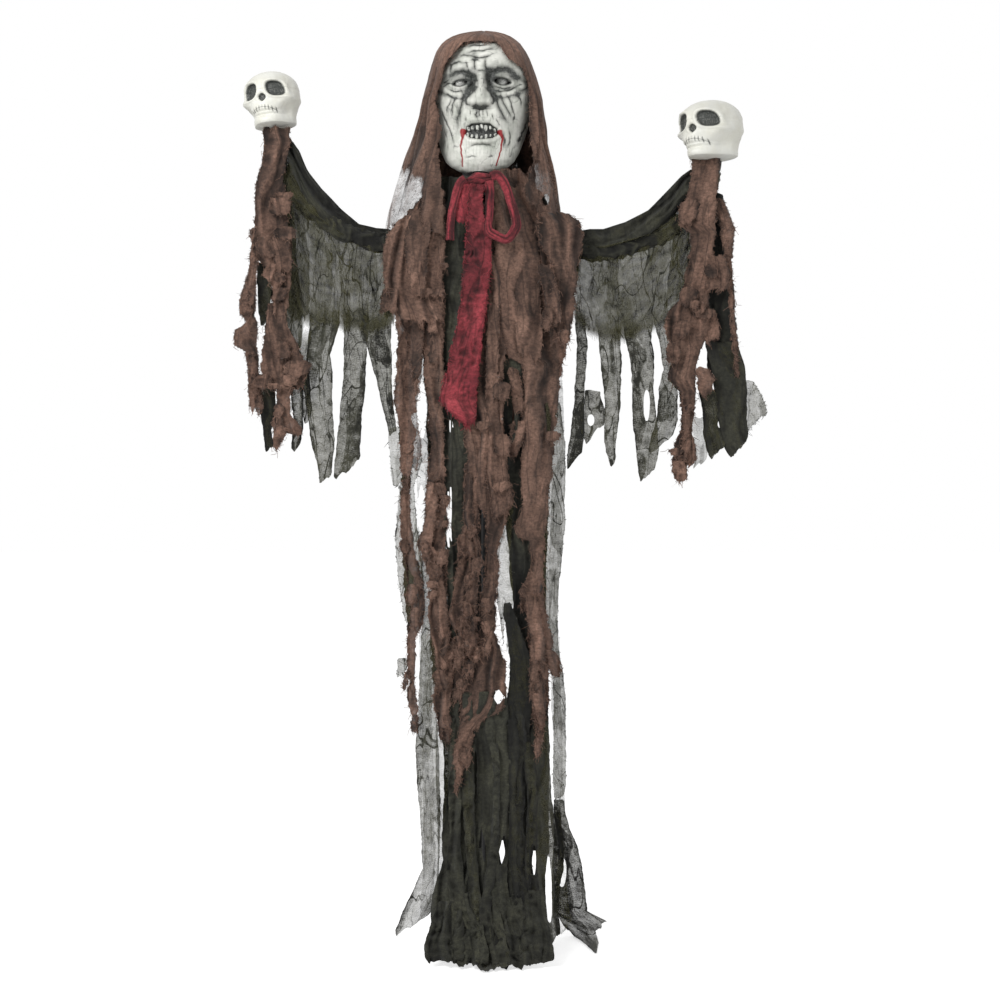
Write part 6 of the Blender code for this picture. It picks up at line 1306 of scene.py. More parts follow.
def make_hood(materials):
    outer, opening = np.array(HOOD_OUTER, float), np.array(HOOD_OPENING, float)
    share = np.linspace(0, 1, HOOD_ROWS) ** 1.25
    py = outer[0, 0] + share * (outer[-1, 0] - outer[0, 0])
    turns = np.linspace(-pi, pi, HOOD_COLUMNS)
    turn, py = np.meshgrid(turns, py)
    left, right = np.interp(py, outer[:, 0], outer[:, 1]), np.interp(py, outer[:, 0], outer[:, 2])
    front = np.interp(py, *zip(*HOOD_DEPTH_AT))
    back = np.interp(py, *zip(*HOOD_BACK_AT))
    sine, cosine = np.sin(turn), np.cos(turn)
    power = 2 / 2.6
    across = np.sign(sine) * np.abs(sine) ** power
    ahead = np.sign(cosine) * np.abs(cosine) ** power
    px = (left + right) / 2 + (right - left) / 2 * across
    y = -np.where(cosine > 0, front, back) * ahead
    down_m = (py - outer[0, 0]) * UNIT
    across_m = turn * HOOD_REACH
    seed = 701
    rag = HOOD_FRAY * (patches(seed, across_m, down_m, HOOD_RAG_SIZE)
                       + 0.6 * patches(seed + 1, across_m, down_m, HOOD_FINE_RAG_SIZE))
    open_left = np.interp(py, opening[:, 0], opening[:, 1])
    open_right = np.interp(py, opening[:, 0], opening[:, 2])
    from_opening = np.maximum(np.maximum(open_left - px, px - open_right), (opening[0, 0] - py)) * UNIT
    field = np.where(cosine > 0, from_opening, 1.0) + rag * smooth(60, 130, py)
    ragged_end = sum(reach * noise(seed + 2 + number, across_m / size, 0.5)
                     for number, (reach, size) in enumerate(zip(HOOD_END, HOOD_END_SIZES)))
    field = np.minimum(field, (outer[-1, 0] - 5 - py) * UNIT + ragged_end + 3 * rag)
    for hole_x, hole_y, half_x, half_y in HOOD_HOLES:
        reach = np.hypot((px - hole_x) / half_x, (py - hole_y) / half_y)
        field = np.minimum(field, np.where(cosine > 0, (reach - 1) * half_x * UNIT, 1.0))
    faces, shift, edges = cut_grid(field)
    turn_shift = shift[..., 1] * (turns[1] - turns[0])
    px = px + turn_shift * np.gradient(px, turns, axis=1)
    y = y + turn_shift * np.gradient(y, turns, axis=1)
    row_step = np.gradient(py, axis=0)
    py = py + shift[..., 0] * row_step
    loose = smooth(45, 140, py)
    bent = across_m + HOOD_WANDER * patches(seed + 5, across_m, down_m, HOOD_WANDER_SIZE)
    relief = (HOOD_FOLD + HOOD_LOOSE_FOLD * loose) * patches(seed + 6, bent, down_m, HOOD_FOLD_SIZE)
    relief += (HOOD_RIPPLE + HOOD_LOOSE_RIPPLE * loose) * patches(seed + 7, bent, down_m, HOOD_RIPPLE_SIZE)
    x, z = to_world(px, py, y)
    centre_x = CAMERA_X + ((left + right) / 2 - PICTURE_MIDDLE) * UNIT
    reach = np.maximum(np.hypot(x - centre_x, y), 1e-3)
    x = x + relief * (x - centre_x) / reach
    y = y + relief * y / reach
    z = z + relief * smooth(60, 33, py)
    stray = 7 * patches(seed + 12, across_m, down_m, HOOD_STRAY_SIZE)
    stray = stray + 4 * patches(seed + 13, across_m, down_m, HOOD_FINE_STRAY_SIZE)
    torn_side = smooth(163, 177, py + stray - 0.6 * (px - 410)) * smooth(426, 420, px + 0.5 * stray)
    density = 1.3 - 1.05 * torn_side
    density = density - 0.45 * smooth(150, 175, py + stray) * smooth(530, 535, px + 0.4 * stray)
    slit = bell(px, 536.5, 1.8) * bell(py, 151, 20) + bell(px, 443, 5) * bell(py, 160, 13)
    density = density - 0.95 * slit * (cosine > 0)
    density = density + 0.25 * noise(seed + 9, across_m / 0.02, down_m / 0.05) * smooth(120, 170, py)
    # Painted shade and highlight: shade follows the folds' relief, darker in the hollows and lighter on the ridges. It
    # is also raised towards the hood's top and lowered further down.
    shade = 0.5 + 60 * relief * loose + 0.14 * noise(seed + 10, across_m / 0.015, down_m / 0.04)
    shade = shade + 0.50 * smooth(70, 38, py) - 0.16 * smooth(70, 110, py)
    points, uvs = listed(x, y, z), listed(across_m, down_m)
    hood = Piece("hood_cloth")
    hood.add(points, faces, uvs, density.ravel(), shade.ravel())
    place = np.stack([x, y, z], -1)
    quad_size = np.linalg.norm(np.cross(np.gradient(place, axis=0), np.gradient(place, axis=1)), axis=-1)
    hood.area = float((quad_size * (field > 0)).sum())
    hood.length = HOOD_LENGTH
    add_threads(hood, points, edges, uvs, seed, 1.6)
    thing = fit_cloth(hood, materials, "brown_gauze", "hood", between=("stand", "head", *HOOD_BEND))


# The scarf

SCARF_TAIL = [
    (182, 470, 483), (190, 469, 483), (207, 467, 483), (226, 465, 486), (240, 465, 491), (265, 463, 491),
    (293, 462, 488), (313, 459, 486), (332, 455, 483), (351, 449, 481), (370, 447, 479), (389, 441, 476),
    (400, 438, 477), (409, 446, 476), (418, 457, 475), (427, 467, 474)]
RIGHT_LOOP_LINE = [
    (490, 177), (497, 174), (503, 181), (508, 192), (512, 204), (516, 218), (517, 226), (511, 236),
    (506, 240), (498, 237), (489, 232), (487.5, 226), (489, 208), (490, 192), (489, 180)]
LEFT_LOOP_LINE = [(466, 178), (460, 182), (457, 190), (454.5, 200), (452, 214), (450.5, 226), (450, 241)]
LEFT_LOOP_BACK = [(180, 455, 470), (195, 454, 469), (210, 455, 468), (224, 456, 466)]

KNOT_RADII = (0.006, 0.010, 0.011, 0.010, 0.006)
BAND_REACH = 0.0626
BAND_RADIUS = 0.0075
BAND_Z = 1.5142


def make_scarf(materials):
    band = Piece("scarf_band_cloth")
    turns = np.linspace(0, 2 * pi, 49)
    path = [(BAND_REACH * cos(turn), BAND_REACH * sin(turn), BAND_Z) for turn in turns]
    sweep(band, path, [BAND_RADIUS] * len(path), 801, across=(0, 0, 1), wrinkle=0.30, pitch=0.010, squash=1.15)
    thing = fit_cloth(band, materials, "red_gauze", "scarf_band", "stand")

    knot = Piece("bow_knot_cloth")
    path = [to_knot(px, py, y) for px, py, y in ((466, 182, -0.100), (471, 180, -0.108), (477, 179, -0.112),
                                               (484, 178.5, -0.109), (490, 178, -0.100))]
    sweep(knot, path, KNOT_RADII, 811, wrinkle=0.25, pitch=0.008, squash=0.8)
    thing = fit_cloth(knot, materials, "red_gauze", "bow_knot", "stand")

    for name, node, line, radius in (("bow_ring_loop_cloth", "bow_left_loop", RIGHT_LOOP_LINE, 0.0085),
                                     ("bow_side_loop_cloth", "bow_right_loop", LEFT_LOOP_LINE, 0.0075)):
        loop = Piece(name)
        first, last = line[0][1], max(py for _, py in line)
        path = []
        for px, py in line:
            share = (py - first) / (last - first)
            path.append(to_knot(px, py, -0.116 - 0.012 * share))
        sweep(loop, path, [radius] * len(path), 821, across=(0, 1, 0), wrinkle=0.14, pitch=0.02, squash=0.42)
        if node == "bow_right_loop":
            banner(loop, LEFT_LOOP_BACK, hanging((180, -0.112), (230, -0.118)), 823, fold=0.003, threads=0.2,
                   density=1.5)
        thing = fit_cloth(loop, materials, "red_gauze", node, "stand")

    tail = Piece("bow_tail_cloth")
    banner(tail, SCARF_TAIL, hanging((178, -0.126), (226, -0.124), (330, -0.128), (425, -0.130)), 831,
           fold=0.006, fold_width=0.020, crumple=0.0030, density=1.5, fray=0.0020, tip=0.014, threads=2.0, cell=0.0022)
    thing = fit_cloth(tail, materials, "red_gauze", "bow_tail", "stand")


def to_knot(px, py, y):
    x, z = to_world(px, py, y)
    return (x, y, z)


# The mask

MASK_LEVEL_shares = (0.0, 0.08, 0.20, 0.36, 0.55, 0.73, 0.90, 1.0)
MASK_WIDTH_LEVEL_shares = (0.0, 0.02, 0.05, 0.09, 0.16, 0.23, 0.31, 0.45, 0.56, 0.73, 0.90, 1.0)
MASK_WIDTH_shares = (0.22, 0.40, 0.54, 0.645, 0.735, 0.79, 0.85, 0.93, 0.975, 0.95, 0.72, 0.42)
MASK_DEPTH_shares = (0.78, 0.88, 0.93, 0.92, 0.98, 1.0, 0.88, 0.50)
MASK_WALL = 0.0022
MASK_COLUMNS = 230
MASK_ROWS = 270

# Folds of the face: (depth in mm, width, points), in picture units
FACE_FOLDS = (
    (2.0, 1.2, ((458, 59), (463, 55.5), (470, 56), (479.5, 58.5), (488, 57), (496, 52.7))), (1.6, 1.0,
    ((464, 53.5), (474, 51.5), (484, 51), (494.6, 47.5))), (1.2, 0.8, ((466, 48), (474, 46), (481, 46.5),
    (489, 44.5))), (1.2, 0.8, ((470, 61), (476, 60), (480, 62))), (2.6, 1.5, ((475.5, 58), (474.5, 64),
    (476, 71))), (2.8, 1.6, ((486, 58), (485, 66), (489, 73))), (1.2, 0.9, ((477.4, 70), (484, 71))), (1.8,
    1.2, ((450, 75), (452, 66), (459.6, 62.5), (464, 64))), (1.4, 1.0, ((466, 61), (468, 69))), (2.6, 1.8,
    ((449, 77), (456, 72), (464, 71.5), (472, 75), (475, 80))), (3.2, 2.2, ((487, 77), (491, 72), (499, 69),
    (507, 68.5), (514, 74), (522, 82))), (2.4, 1.8, ((474, 77), (471.5, 86), (468.5, 95), (467, 101))),
    (2.4, 1.8, ((488, 76), (489.5, 85), (492, 94), (493.5, 101))), (3.4, 2.0, ((469, 89), (464.5, 95),
    (461.5, 107), (458, 119), (457.5, 133))), (3.4, 2.0, ((489.5, 88), (495.5, 97), (499, 108), (504, 118),
    (510, 124.5))), (1.6, 1.2, ((499, 92), (503, 103), (508, 112), (513, 120))), (1.4, 1.0, ((506, 95),
    (511, 103), (512, 112))), (1.4, 1.0, ((458, 96), (453, 106), (452.5, 118))), (1.2, 0.9, ((449, 90),
    (456, 93), (462, 91.5))), (1.4, 1.0, ((492, 90.5), (501, 92.5), (511, 90), (519, 86))), (1.2, 0.9,
    ((496, 86.5), (504, 88.5), (512, 87))), (2.0, 1.2, ((469, 95), (466.5, 100), (467.5, 104.5),
    (470.5, 106))), (2.0, 1.2, ((490.5, 94), (493.2, 99), (492.5, 103.5), (489.5, 105.5))), (2.2, 1.5,
    ((471, 105.5), (475.5, 107.5), (481, 109), (488, 106.5))), (1.8, 1.4, ((478, 110), (476.5, 115),
    (478, 120))), (1.2, 0.8, ((453, 99), (448.7, 107), (447.5, 115))), (1.0, 0.7, ((447.5, 93.5),
    (453, 98))), (1.2, 0.8, ((515, 94.6), (520, 100), (520, 107))), (1.2, 0.8, ((509.5, 102.6), (514, 115),
    (513, 122))), (1.0, 0.7, ((444, 87), (448, 84), (452, 83))), (1.0, 0.7, ((444, 84), (449, 80))), (1.0,
    0.7, ((517.6, 85.4), (522, 85))), (1.2, 0.8, ((440, 104), (446, 120), (452, 134), (455, 146))), (1.1,
    0.8, ((527, 118), (522, 132), (516, 146))), (1.0, 0.6, ((470.5, 110.5), (471, 116))), (1.0, 0.6,
    ((476, 111), (475.6, 117))), (1.0, 0.6, ((480, 110.5), (479.5, 117.5))), (1.0, 0.6, ((483.5, 110.5),
    (483, 116.5))), (1.0, 0.6, ((487, 110.5), (488, 117.5))), (1.0, 0.6, ((492, 114), (493, 120))), (1.0,
    0.6, ((496, 119), (499, 126))), (1.0, 0.6, ((466, 117), (467, 122))), (1.8, 1.3, ((468, 148),
    (475, 145), (482, 144), (489, 145), (494, 148))), (1.0, 0.8, ((466, 158), (472, 156.5), (478, 158))),
    (1.0, 0.8, ((487, 158), (493, 156))), (0.8, 0.8, ((500, 130), (504, 138), (503, 150))), (0.8, 0.8,
    ((508, 128), (510, 138), (506, 150))))
# Swellings and hollows: (height in mm, middle, half width, half height)
FACE_FORMS = (
    (-9.0, (461, 82.5), (11.5, 7.5)), (-10.0, (502, 81.0), (13.0, 8.0)), (-5.0, (471.5, 81), (4.5, 8.0)),
    (-6.0, (489.5, 79), (5.0, 8.0)), (6.5, (499, 62), (13.0, 6.5)), (5.0, (459, 66.0), (10.0, 5.0)), (5.0,
    (516, 74), (7.0, 5.0)), (2.5, (480, 66), (4.0, 5.0)), (6.0, (452, 103), (9.0, 12.0)), (6.0, (516, 103),
    (10.0, 13.0)), (-5.0, (450, 130), (8.0, 14.0)), (-5.0, (515, 132), (9.0, 15.0)), (4.5, (467, 115),
    (8.0, 8.0)), (4.5, (494, 113), (8.0, 8.0)), (5.0, (482, 153), (11.0, 6.0)), (6.0, (481, 163),
    (15.0, 8.0)), (4.0, (482, 141.5), (15.0, 2.6)), (3.0, (480, 119.5), (15.0, 2.4)))
NOSE_LINE = (
    (481.5, 72, 6.0, 3.6), (481.0, 82, 13.0, 4.2), (480.0, 92, 20.0, 5.2), (479.5, 99, 25.0, 7.2),
    (480.0, 104, 22.0, 8.4), (481.0, 109, 6.0, 8.4))
NOSE_WINGS = (470.5, 489.5)
NOSTRILS = (476, 485.5)
FACE_MIDDLE = 481
MOUTH = (
    (466, 126), (471, 122.5), (480, 121.8), (490, 122), (498, 128), (500, 134), (493, 139), (480, 140.5),
    (470, 139), (464, 134))
EYES = (("right", 460.2, 82.6, 7.6, 3.4, -0.22), ("left", 502.2, 81.0, 8.6, 3.9, 0.20))
BLOOD = (
    ((463.5, 131), (463, 138), (461, 146), (462.5, 158), (463, 166)), ((499.5, 132), (502, 140), (500, 152),
    (495.5, 165)))
TOP_CUT = ((499, 41), (503.5, 50), (509, 59))


def mask_base(turn, level):
    half = FACE_WIDTH / 2 * np.interp(level, MASK_WIDTH_LEVEL_shares, MASK_WIDTH_shares)
    rim = 0.045 * np.maximum(0, 1 - level / 0.3)
    depth = FACE_DEPTH * np.interp(level, MASK_LEVEL_shares, MASK_DEPTH_shares)
    z = CHIN_Z - CHIN_DROP + (FACE_HEIGHT + CHIN_DROP) * level
    middle = CHIN_Z + FACE_HEIGHT / 2
    x = half * np.sin(turn) + HEAD_OFFSET + (z - middle) * tan(radians(HEAD_LEAN))
    y = -rim - (depth - rim) * np.cos(turn)
    return x, y, z


def inside_shape(px, py, points):
    """Signed distance in picture units, over zero inside a closed outline."""
    distance, _ = line_distance(px, py, points + points[:1])
    crossings = np.zeros(px.shape, int)
    for (ax, ay), (bx, by) in zip(points, points[1:] + points[:1]):
        between = (ay > py) != (by > py)
        where = ax + (py - ay) * (bx - ax) / (by - ay if by != ay else 1e-9)
        crossings += between & (px < where)
    return np.where(crossings % 2 == 1, distance, -distance)


def eye_distance(px, py, eye):
    """Over zero outside the eye's opening, in picture units."""
    _, ex, ey, half_x, half_y, slope = eye
    along = (px - ex) * cos(slope) + (py - ey) * sin(slope)
    over = -(px - ex) * sin(slope) + (py - ey) * cos(slope)
    return (np.sqrt((along / half_x) ** 2 + (np.abs(over) / half_y) ** 1.5) - 1) * half_y


def make_mask(materials):
    turn, level = np.meshgrid(np.linspace(-pi / 2, pi / 2, MASK_COLUMNS), np.linspace(0, 1, MASK_ROWS))
    x, y, z = mask_base(turn, level)
    px, py = to_picture(x, y, z)
    relief = np.zeros(x.shape)
    wash = np.zeros(x.shape)
    for height, (cx, cy), (half_x, half_y) in FACE_FORMS:
        bump = np.exp(-((px - cx) / half_x) ** 2 - ((py - cy) / half_y) ** 2)
        relief += height * bump
        if height < -3.5:
            wash += 0.16 * bump * (1 if cy < 95 else 0.25)
    nose = np.array(NOSE_LINE)
    nose_x = np.interp(py, nose[:, 1], nose[:, 0])
    nose_height = np.interp(py, nose[:, 1], nose[:, 2], left=0, right=0)
    nose_width = np.interp(py, nose[:, 1], nose[:, 3])
    relief += nose_height * np.exp(-np.abs((px - nose_x) / nose_width) ** 2.4)
    for wing_x in NOSE_WINGS:
        relief += 6.5 * bell(px, wing_x, 3.6) * bell(py, 102, 4.5)
    for nostril_x in NOSTRILS:
        nostril = bell(px, nostril_x, 2.6) * bell(py, 106.5, 1.8)
        relief -= 5.0 * nostril
        wash += 0.9 * nostril
    wash += 0.55 * bell(px, FACE_MIDDLE, 9) * bell(py, 108, 3)
    seed = 901
    for depth, width, points in FACE_FOLDS:
        wobble = 0.5 * noise(seed, px / 2.5, py / 2.5)
        distance, share = line_distance(px + wobble, py + wobble, points)
        taper = np.clip(4 * np.minimum(share, 1 - share), 0.25, 1)
        groove = np.exp(-(distance / width) ** 2) * taper
        relief -= depth * groove
        relief += 0.45 * depth * taper * np.exp(-((distance - 2.3 * width) / (1.3 * width)) ** 2)
        wash += 0.95 * np.exp(-(distance / (1.30 * width)) ** 2) * taper
    lids = []
    for eye in EYES:
        away = eye_distance(px, py, eye)
        lids.append(away)
        below = smooth(-2, 2, py - eye[2])
        inner = smooth(21, 6, np.abs(px - 480.5))
        uneven = 0.8 * noise(seed + 8, px / 4, py / 3)
        relief += 2.2 * np.exp(-((away - 1.2) / 0.8) ** 2)
        relief -= 2.0 * np.exp(-((away - 3.2 - uneven) / 1.2) ** 2)
        relief += 2.2 * np.exp(-((away - 5.2 - uneven) / 1.2) ** 2) * below
        socket = smooth(9.5, 3.0, away + uneven) * (0.45 + 0.55 * inner) * (1 - 0.30 * below * (1 - inner))
        wash += 1.05 * socket
        wash += 0.9 * np.exp(-(away / 0.7) ** 2)
        wash += 0.6 * np.exp(-((away - 7.4 - uneven) / 0.9) ** 2) * below
        wash -= (0.10 + 0.20 * below) * np.exp(-((away - 1.1) / 0.4) ** 2) * (1 - 0.7 * inner)
        wash -= 0.22 * np.exp(-((away - 4.8 - uneven) / 1.0) ** 2) * below * (1 - 0.6 * inner)
    wash = np.maximum(wash, 0)
    bridge = bell(px, FACE_MIDDLE, 3.6) * smooth(70, 76, py) * smooth(104, 98, py)
    wash *= 1 - 0.85 * bridge
    mouth = inside_shape(px, py, MOUTH)
    relief -= 9.0 * smooth(-0.6, 1.6, mouth)
    relief += 1.8 * np.exp(-((mouth + 2.2) / 1.3) ** 2)
    wash += 1.2 * smooth(-0.4, 0.8, mouth)
    skin = noise(seed + 3, px / 3.2, py / 2.6) + 0.6 * noise(seed + 4, px / 1.5, py / 1.3)
    relief += 0.35 * skin
    brow = smooth(74, 62, py)
    level_lines = np.abs(noise(seed + 9, px / 11 + 0.3 * noise(seed + 10, px / 5, py / 5), py / 3.2))
    upright_lines = np.abs(noise(seed + 11, px / 3.4 + (py - 100) * 0.04 * np.sign(px - 481), py / 14))
    wrinkles = np.exp(-(level_lines / 0.07) ** 2) * brow + np.exp(-(upright_lines / 0.07) ** 2) * (1 - brow)
    wrinkles *= smooth(-0.5, 0.4, noise(seed + 12, px / 9, py / 9)) * smooth(-1.0, 2.5, -mouth)
    wash += 0.50 * wrinkles
    relief -= 0.8 * wrinkles
    streaks = noise(seed + 5, px / 1.3 + 0.02 * (py - 100), py / 9)
    wash += 0.20 * np.maximum(0, streaks - 0.1) * smooth(95, 125, py)
    wash += 0.30 * smooth(0.35, 1.0, noise(seed + 6, px / 7, py / 7))
    # Painted shade: the mask darkens towards its sides.
    wash += 0.22 * smooth(0.74, 1.0, np.abs(np.sin(turn)))
    marks = np.zeros(x.shape)
    for number, points in enumerate(BLOOD):
        distance, share = line_distance(px + 0.5 * noise(seed + 7, py / 3, number), py, points)
        half = 1.15 - 0.5 * share + 1.3 * np.exp(-(share / 0.20) ** 2)
        marks = np.maximum(marks, smooth(1.15, 0.75, distance / half))
    distance, _ = line_distance(px, py, TOP_CUT)
    marks = np.maximum(marks, smooth(1.8, 1.1, distance))
    wash *= 1 - 0.7 * marks
    field = np.minimum(lids[0], lids[1]) * UNIT
    relief = relief * 0.001 * np.cos(turn * 0.92)
    y = y - relief
    x = x + 0.15 * relief * np.sin(turn)
    faces, shift, _ = cut_grid(field)
    step = pi / (MASK_COLUMNS - 1)
    x = x + shift[..., 1] * np.gradient(x, axis=1) + shift[..., 0] * np.gradient(x, axis=0)
    z = z + shift[..., 0] * np.gradient(z, axis=0)
    y = y + shift[..., 1] * np.gradient(y, axis=1) + shift[..., 0] * np.gradient(y, axis=0)
    mask = Piece("face_mask_skin")
    mask.add(listed(x, y, z), [face[:, ::-1] for face in faces], listed(px, py) * UNIT, 1.0)
    kept = np.unique(np.concatenate([face.ravel() for face in faces]))
    thing = mask.build(materials["mask_latex"])
    for name, values in (("wash", np.clip(wash, 0, 1)), ("marks", np.clip(marks, 0, 1))):
        store_values(thing.data, name, values.ravel()[kept])
    wall = thing.modifiers.new("wall", "SOLIDIFY")
    wall.thickness = MASK_WALL
    wall.offset = -1
    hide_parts("face_mask")
    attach(thing, "head")
    make_teeth(materials)
    make_eyes(materials)


TEETH = (
    (468.4, 128.2, 1.2, 2.2), (472.6, 127.2, 1.5, 2.6), (477.4, 127.4, 1.6, 2.9), (481.8, 126.4, 1.3, 2.2),
    (485.7, 127.4, 1.5, 2.9), (490.2, 127.6, 1.4, 2.6), (494.6, 129.8, 1.2, 2.2), (467.6, 134.6, 1.1, 2.0),
    (471.9, 136.0, 1.3, 2.4), (476.6, 136.2, 1.5, 2.7), (481.6, 137.2, 1.3, 2.1), (486.0, 136.6, 1.5, 2.6),
    (490.6, 135.4, 1.2, 2.2), (495.2, 133.8, 1.1, 2.0))
TEETH_Y = -0.084
TEETH_SEAT = 0.0005
TEETH_CURVE = 0.000315
TEETH_DEPTH = 0.0016
GRIME_SIZE = (0.003, 0.004)


def make_teeth(materials):
    teeth = Piece("mask_teeth")
    random = np.random.default_rng(941)
    turn, height = np.meshgrid(np.linspace(0, 2 * pi, 17), np.linspace(-1, 1, 11))
    for px, py, half_x, half_y in TEETH:
        lean = random.normal(0, 0.16)
        half_x *= random.uniform(0.75, 1.25)
        half_y *= random.uniform(0.70, 1.12)
        py += random.uniform(-0.5, 0.5)
        round_off = (1 - np.abs(height) ** 3.5) ** 0.5
        across = half_x * np.sign(np.cos(turn)) * np.abs(np.cos(turn)) ** 0.6 * round_off
        ahead = 1.4 * np.sin(turn) * round_off
        up = half_y * height
        x, z = to_world(px + across + lean * up, py + up, TEETH_Y)
        y = TEETH_Y - TEETH_SEAT + TEETH_CURVE * np.abs(px - FACE_MIDDLE) ** 1.2 - ahead * TEETH_DEPTH
        faces, _, _ = cut_grid(np.ones(turn.shape))
        teeth.add(listed(x, y, z), faces, listed(turn, height), 1.0)
    thing = teeth.build(materials["mask_latex"])
    points = np.concatenate(teeth.points)
    grime = smooth(-0.3, 0.8, patches(947, points[:, 0], points[:, 2], GRIME_SIZE))
    store_values(thing.data, "wash", 0.18 + 0.7 * grime)
    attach(thing, "head")


def make_eyes(materials):
    for side, px, py, *_ in EYES:
        node = side + "_eye"
        low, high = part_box(node)
        middle = (low + high) / 2
        radius = (high - low).x / 2
        turn, rise = np.meshgrid(np.linspace(0, 2 * pi, 49), np.linspace(0, pi, 33))
        wash = 0.8 * bell(rise, 0.36, 0.05) + 0.25 * bell(rise, 0, 0.2)
        # The pupil, and painted shade that darkens the ball away from its front, towards the lids.
        wash += 0.75 * bell(rise, 0, 0.075) + 0.35 * smooth(0.7, 1.3, rise)
        eye = Piece(node + "_ball")
        x_mid, z_mid = to_world(px, py, middle.y)
        x = x_mid + radius * np.sin(rise) * np.cos(turn)
        z = z_mid + radius * np.sin(rise) * np.sin(turn)
        y = middle.y - radius * np.cos(rise)
        faces, _, _ = cut_grid(np.ones(turn.shape))
        eye.add(listed(x, y, z), faces, listed(turn, rise), 1.0)
        thing = eye.build(materials["eye_white"])
        store_values(thing.data, "wash", np.clip(wash, 0, 1))
        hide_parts(node)
        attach(thing, "head")


# The skulls

SKULL_HEIGHT = 0.116
SKULL_UV_REACH = 0.05
SKULL_LEVEL_shares = (1.0, 0.97, 0.89, 0.77, 0.64, 0.54, 0.45, 0.36, 0.27, 0.18, 0.08, 0.0)
SKULL_WIDTH_shares = (0.0, 0.38, 0.70, 0.92, 1.0, 0.99, 0.96, 0.92, 0.82, 0.78, 0.76, 0.70)
SKULL_FRONT_shares = (0.0, 0.38, 0.70, 0.90, 0.98, 0.96, 0.94, 0.95, 0.95, 0.92, 0.90, 0.80)
SKULL_BACK_shares = (0.0, 0.38, 0.70, 0.91, 1.0, 1.0, 0.97, 0.91, 0.84, 0.76, 0.72, 0.66)
# how far each skull sits off its peg, and how much it is larger than drawn
SKULL_FIT = {"left": ((-0.008, 0.0, -0.007), 1.06), "right": ((0.009, 0.0, 0.0), 1.0)}
# side, label, peg, turn, lean, width, reach forward of the peg and behind it
SKULL_SEATS = (
    (1, 'left', (0.46322, ARM_Y, 1.57739), 36, -5, 0.11, 0.083, 0.061), (-1, 'right', (-0.42794, ARM_Y,
    1.63496), 16, -7, 0.108, 0.06, 0.066))
CHEEK_LIFT = 1.4
# Swellings and hollows: height in mm, then in shares its middle, half width and power across,
# and its middle and half height upward
SKULL_FORMS = (
    (2.5, 0.22, 0.16, 2, 0.79, 0.04), (6.0, 0.42, 0.085, 2, 0.455, 0.055), (-6.0, 0.4, 0.09, 2, 0.27, 0.1),
    (-3.0, 0.48, 0.05, 2, 0.66, 0.1), (4.0, 0, 0.24, 4, 0.32, 0.09), (4.0, 0, 0.2, 2, 0.1, 0.08),
    (-3.0, 0, 0.24, 2, 0.2, 0.03))


def smooth_table(where, places, values):
    """A table read with a little rounding at its stops."""
    total = 0
    for offset in (-0.04, -0.02, 0, 0.02, 0.04):
        total = total + np.interp(where + offset, places, values)
    return total / 5


